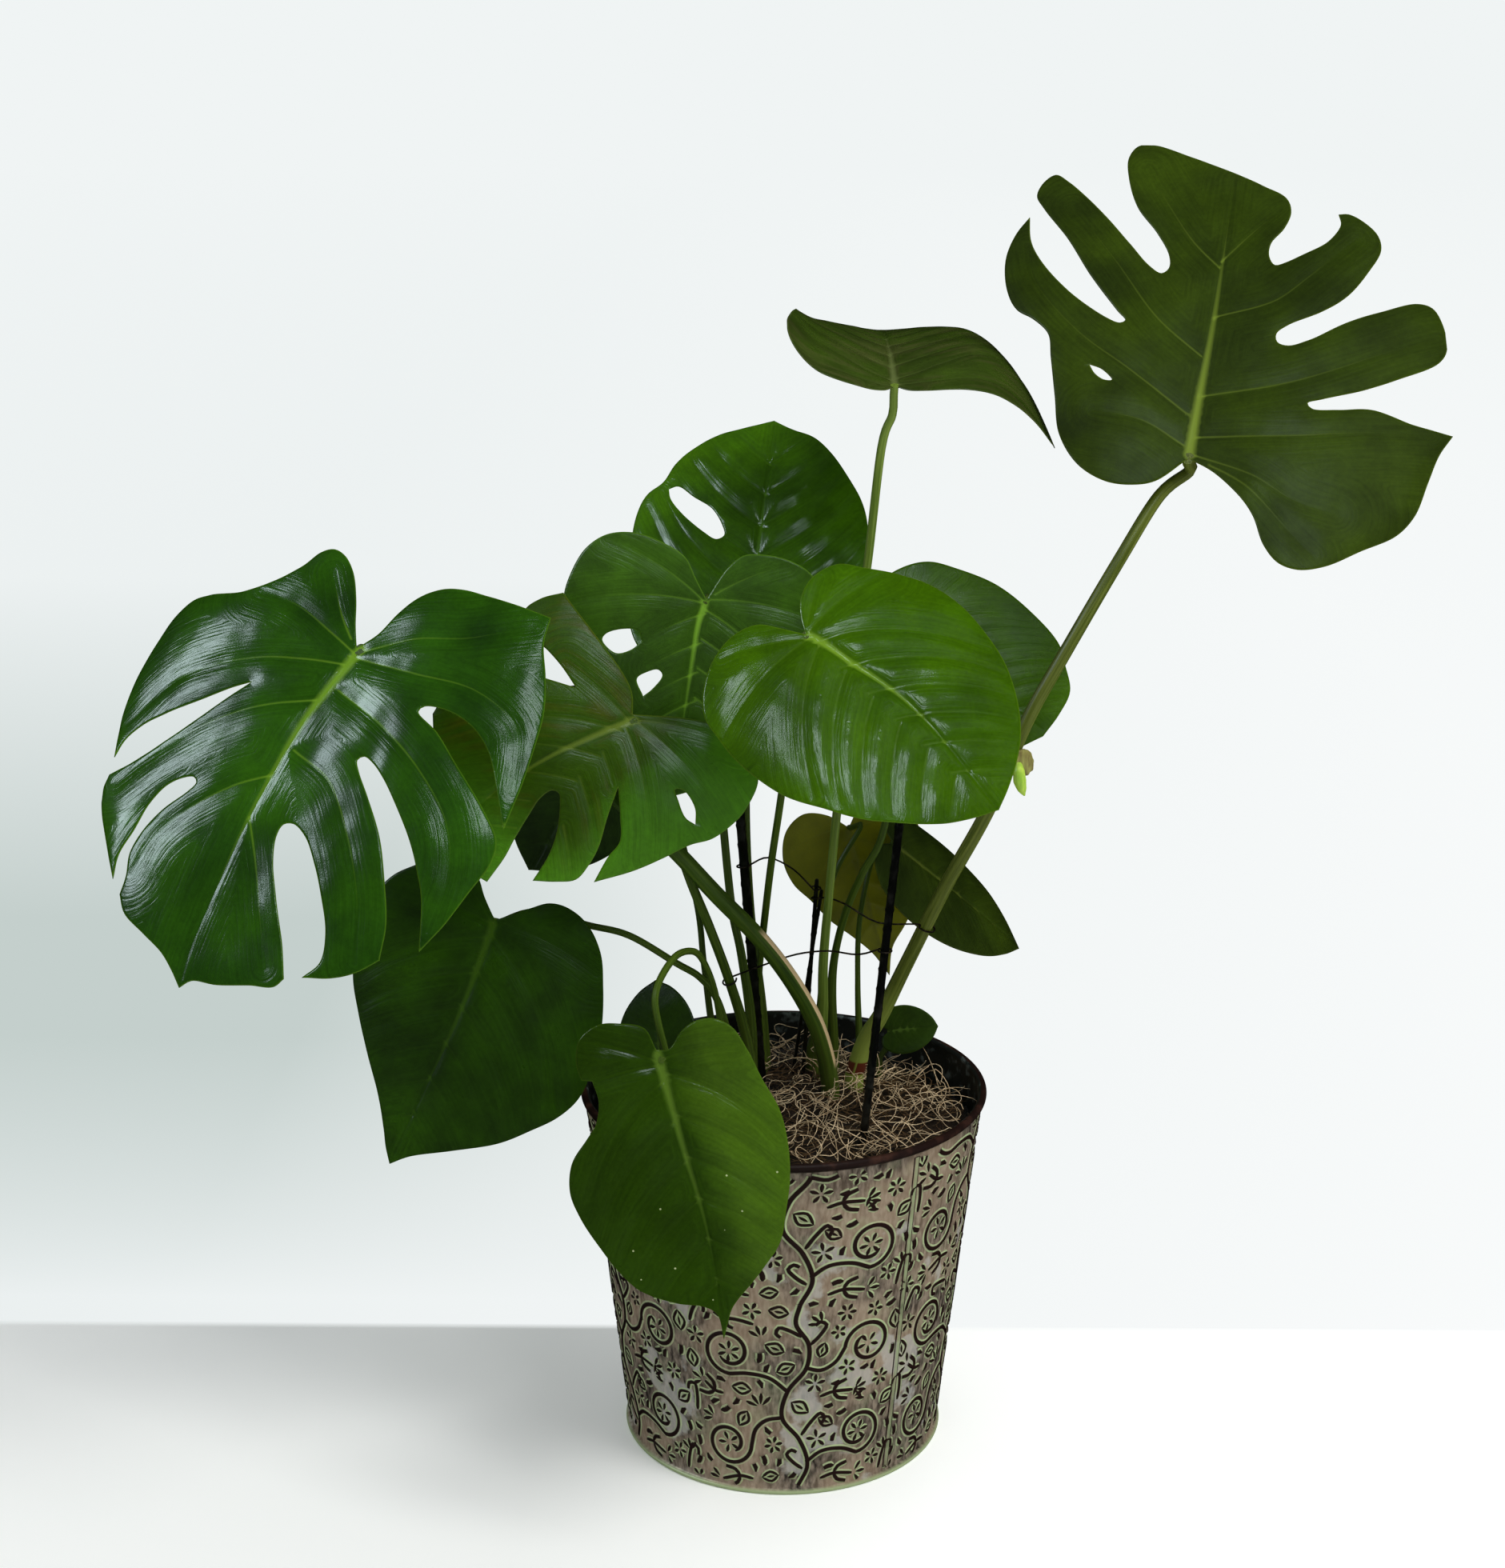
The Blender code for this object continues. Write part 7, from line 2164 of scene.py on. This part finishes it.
tie_finish = wire_finish()
for name, tie in TIES.items():
    run = smooth_path(tie_points(tie), WIRE_SPANS)[0]
    wire = make_tube(name.replace("tie", "wire"), [(run, [WIRE_RADIUS] * len(run))], tie_finish, WIRE_SIDES)
    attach(wire, "root")
    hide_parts(name)
    length = sum((b - a).length for a, b in zip(run, run[1:]))
    print(wire.name, "length in mm:", round(length / MM))

# %% [markdown]
# ## The sprout
#
# On the tallest stem sits a withered bract with a pale new point under it. The bract is a thin round shell
# with a wavy rim, made from a sphere that is squeezed flat, and the point is a tube with a pointed end.

# %% The sprout
BRACT_PLACE = Vector((0.1468, -0.0144, 0.4538))
BRACT_SIZE = Vector((6.2 * MM, 2.4 * MM, 8.6 * MM))
BRACT_TURN = Euler((0, math.radians(-12), math.radians(20)))
BRACT_WAVE = 0.10
BRACT_WAVES = 420
BUD = [
    ((0.1434, -0.0164, 0.4543), 1.6 * MM),
    ((0.1434, -0.0184, 0.4493), 3.6 * MM),
    ((0.1440, -0.0192, 0.4433), 4.0 * MM),
    ((0.1456, -0.0189, 0.4378), 2.8 * MM),
    ((0.1472, -0.0184, 0.4338), 0.5 * MM),
]
BUD_SPANS = 6
SPROUT_STREAKS = ((420.0, 420.0, 90.0), 0.35, 0.65)
SPROUT_BUMP = (0.6, 0.5 * MM)


def sprout_finish(name, main, second, roughness):
    finish, tree = new_finish(name)
    streak, height = streaks(tree, own_place(tree), *SPROUT_STREAKS)
    colour = blend_colours(tree, streak, tone(*main), tone(*second))
    return complete(finish, colour, roughness, (*SPROUT_BUMP, height))


def make_bract():
    form = bmesh.new()
    bmesh.ops.create_uvsphere(form, u_segments=40, v_segments=24, radius=1.0)
    mesh = bpy.data.meshes.new("sprout_bract")
    form.to_mesh(mesh)
    form.free()
    mesh.transform(Matrix.LocRotScale(BRACT_PLACE, BRACT_TURN, BRACT_SIZE))
    for vert in mesh.vertices:
        way = vert.co - BRACT_PLACE
        vert.co = BRACT_PLACE + way * (1 + BRACT_WAVE * noise.noise(vert.co * BRACT_WAVES))
    mesh.shade_smooth()
    finish = sprout_finish("withered bract", (150, 150, 76), (112, 100, 50), 0.6)
    return add_piece("sprout_bract", mesh, [finish])


bract = make_bract()
path, shares = smooth_path([place for place, _ in BUD], BUD_SPANS)
radii = np.interp(shares, range(len(BUD)), [radius for _, radius in BUD]).tolist()
bud_finish = sprout_finish("new point", (180, 210, 74), (140, 182, 52), 0.4)
bud = make_tube("sprout_point", [(path, radii)], bud_finish)
for piece in (bract, bud):
    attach(piece, "root")
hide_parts("sprout")
print("sprout faces:", len(bract.data.polygons) + len(bud.data.polygons))

# %% [markdown]
# ## The size
#
# Both boxes, the plain plant's and the dressed one's, are measured here, and how far one reaches past the
# other is printed. The dressed plant must stay inside the box of the plain one.

# %% Write the sizes and finish
shown_low, shown_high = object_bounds()
for axis in range(3):
    below, above = frame_low[axis] - shown_low[axis], shown_high[axis] - frame_high[axis]
    print("XYZ"[axis], "below the frame:", round(below / MM, 2), "mm, above:", round(above / MM, 2), "mm")
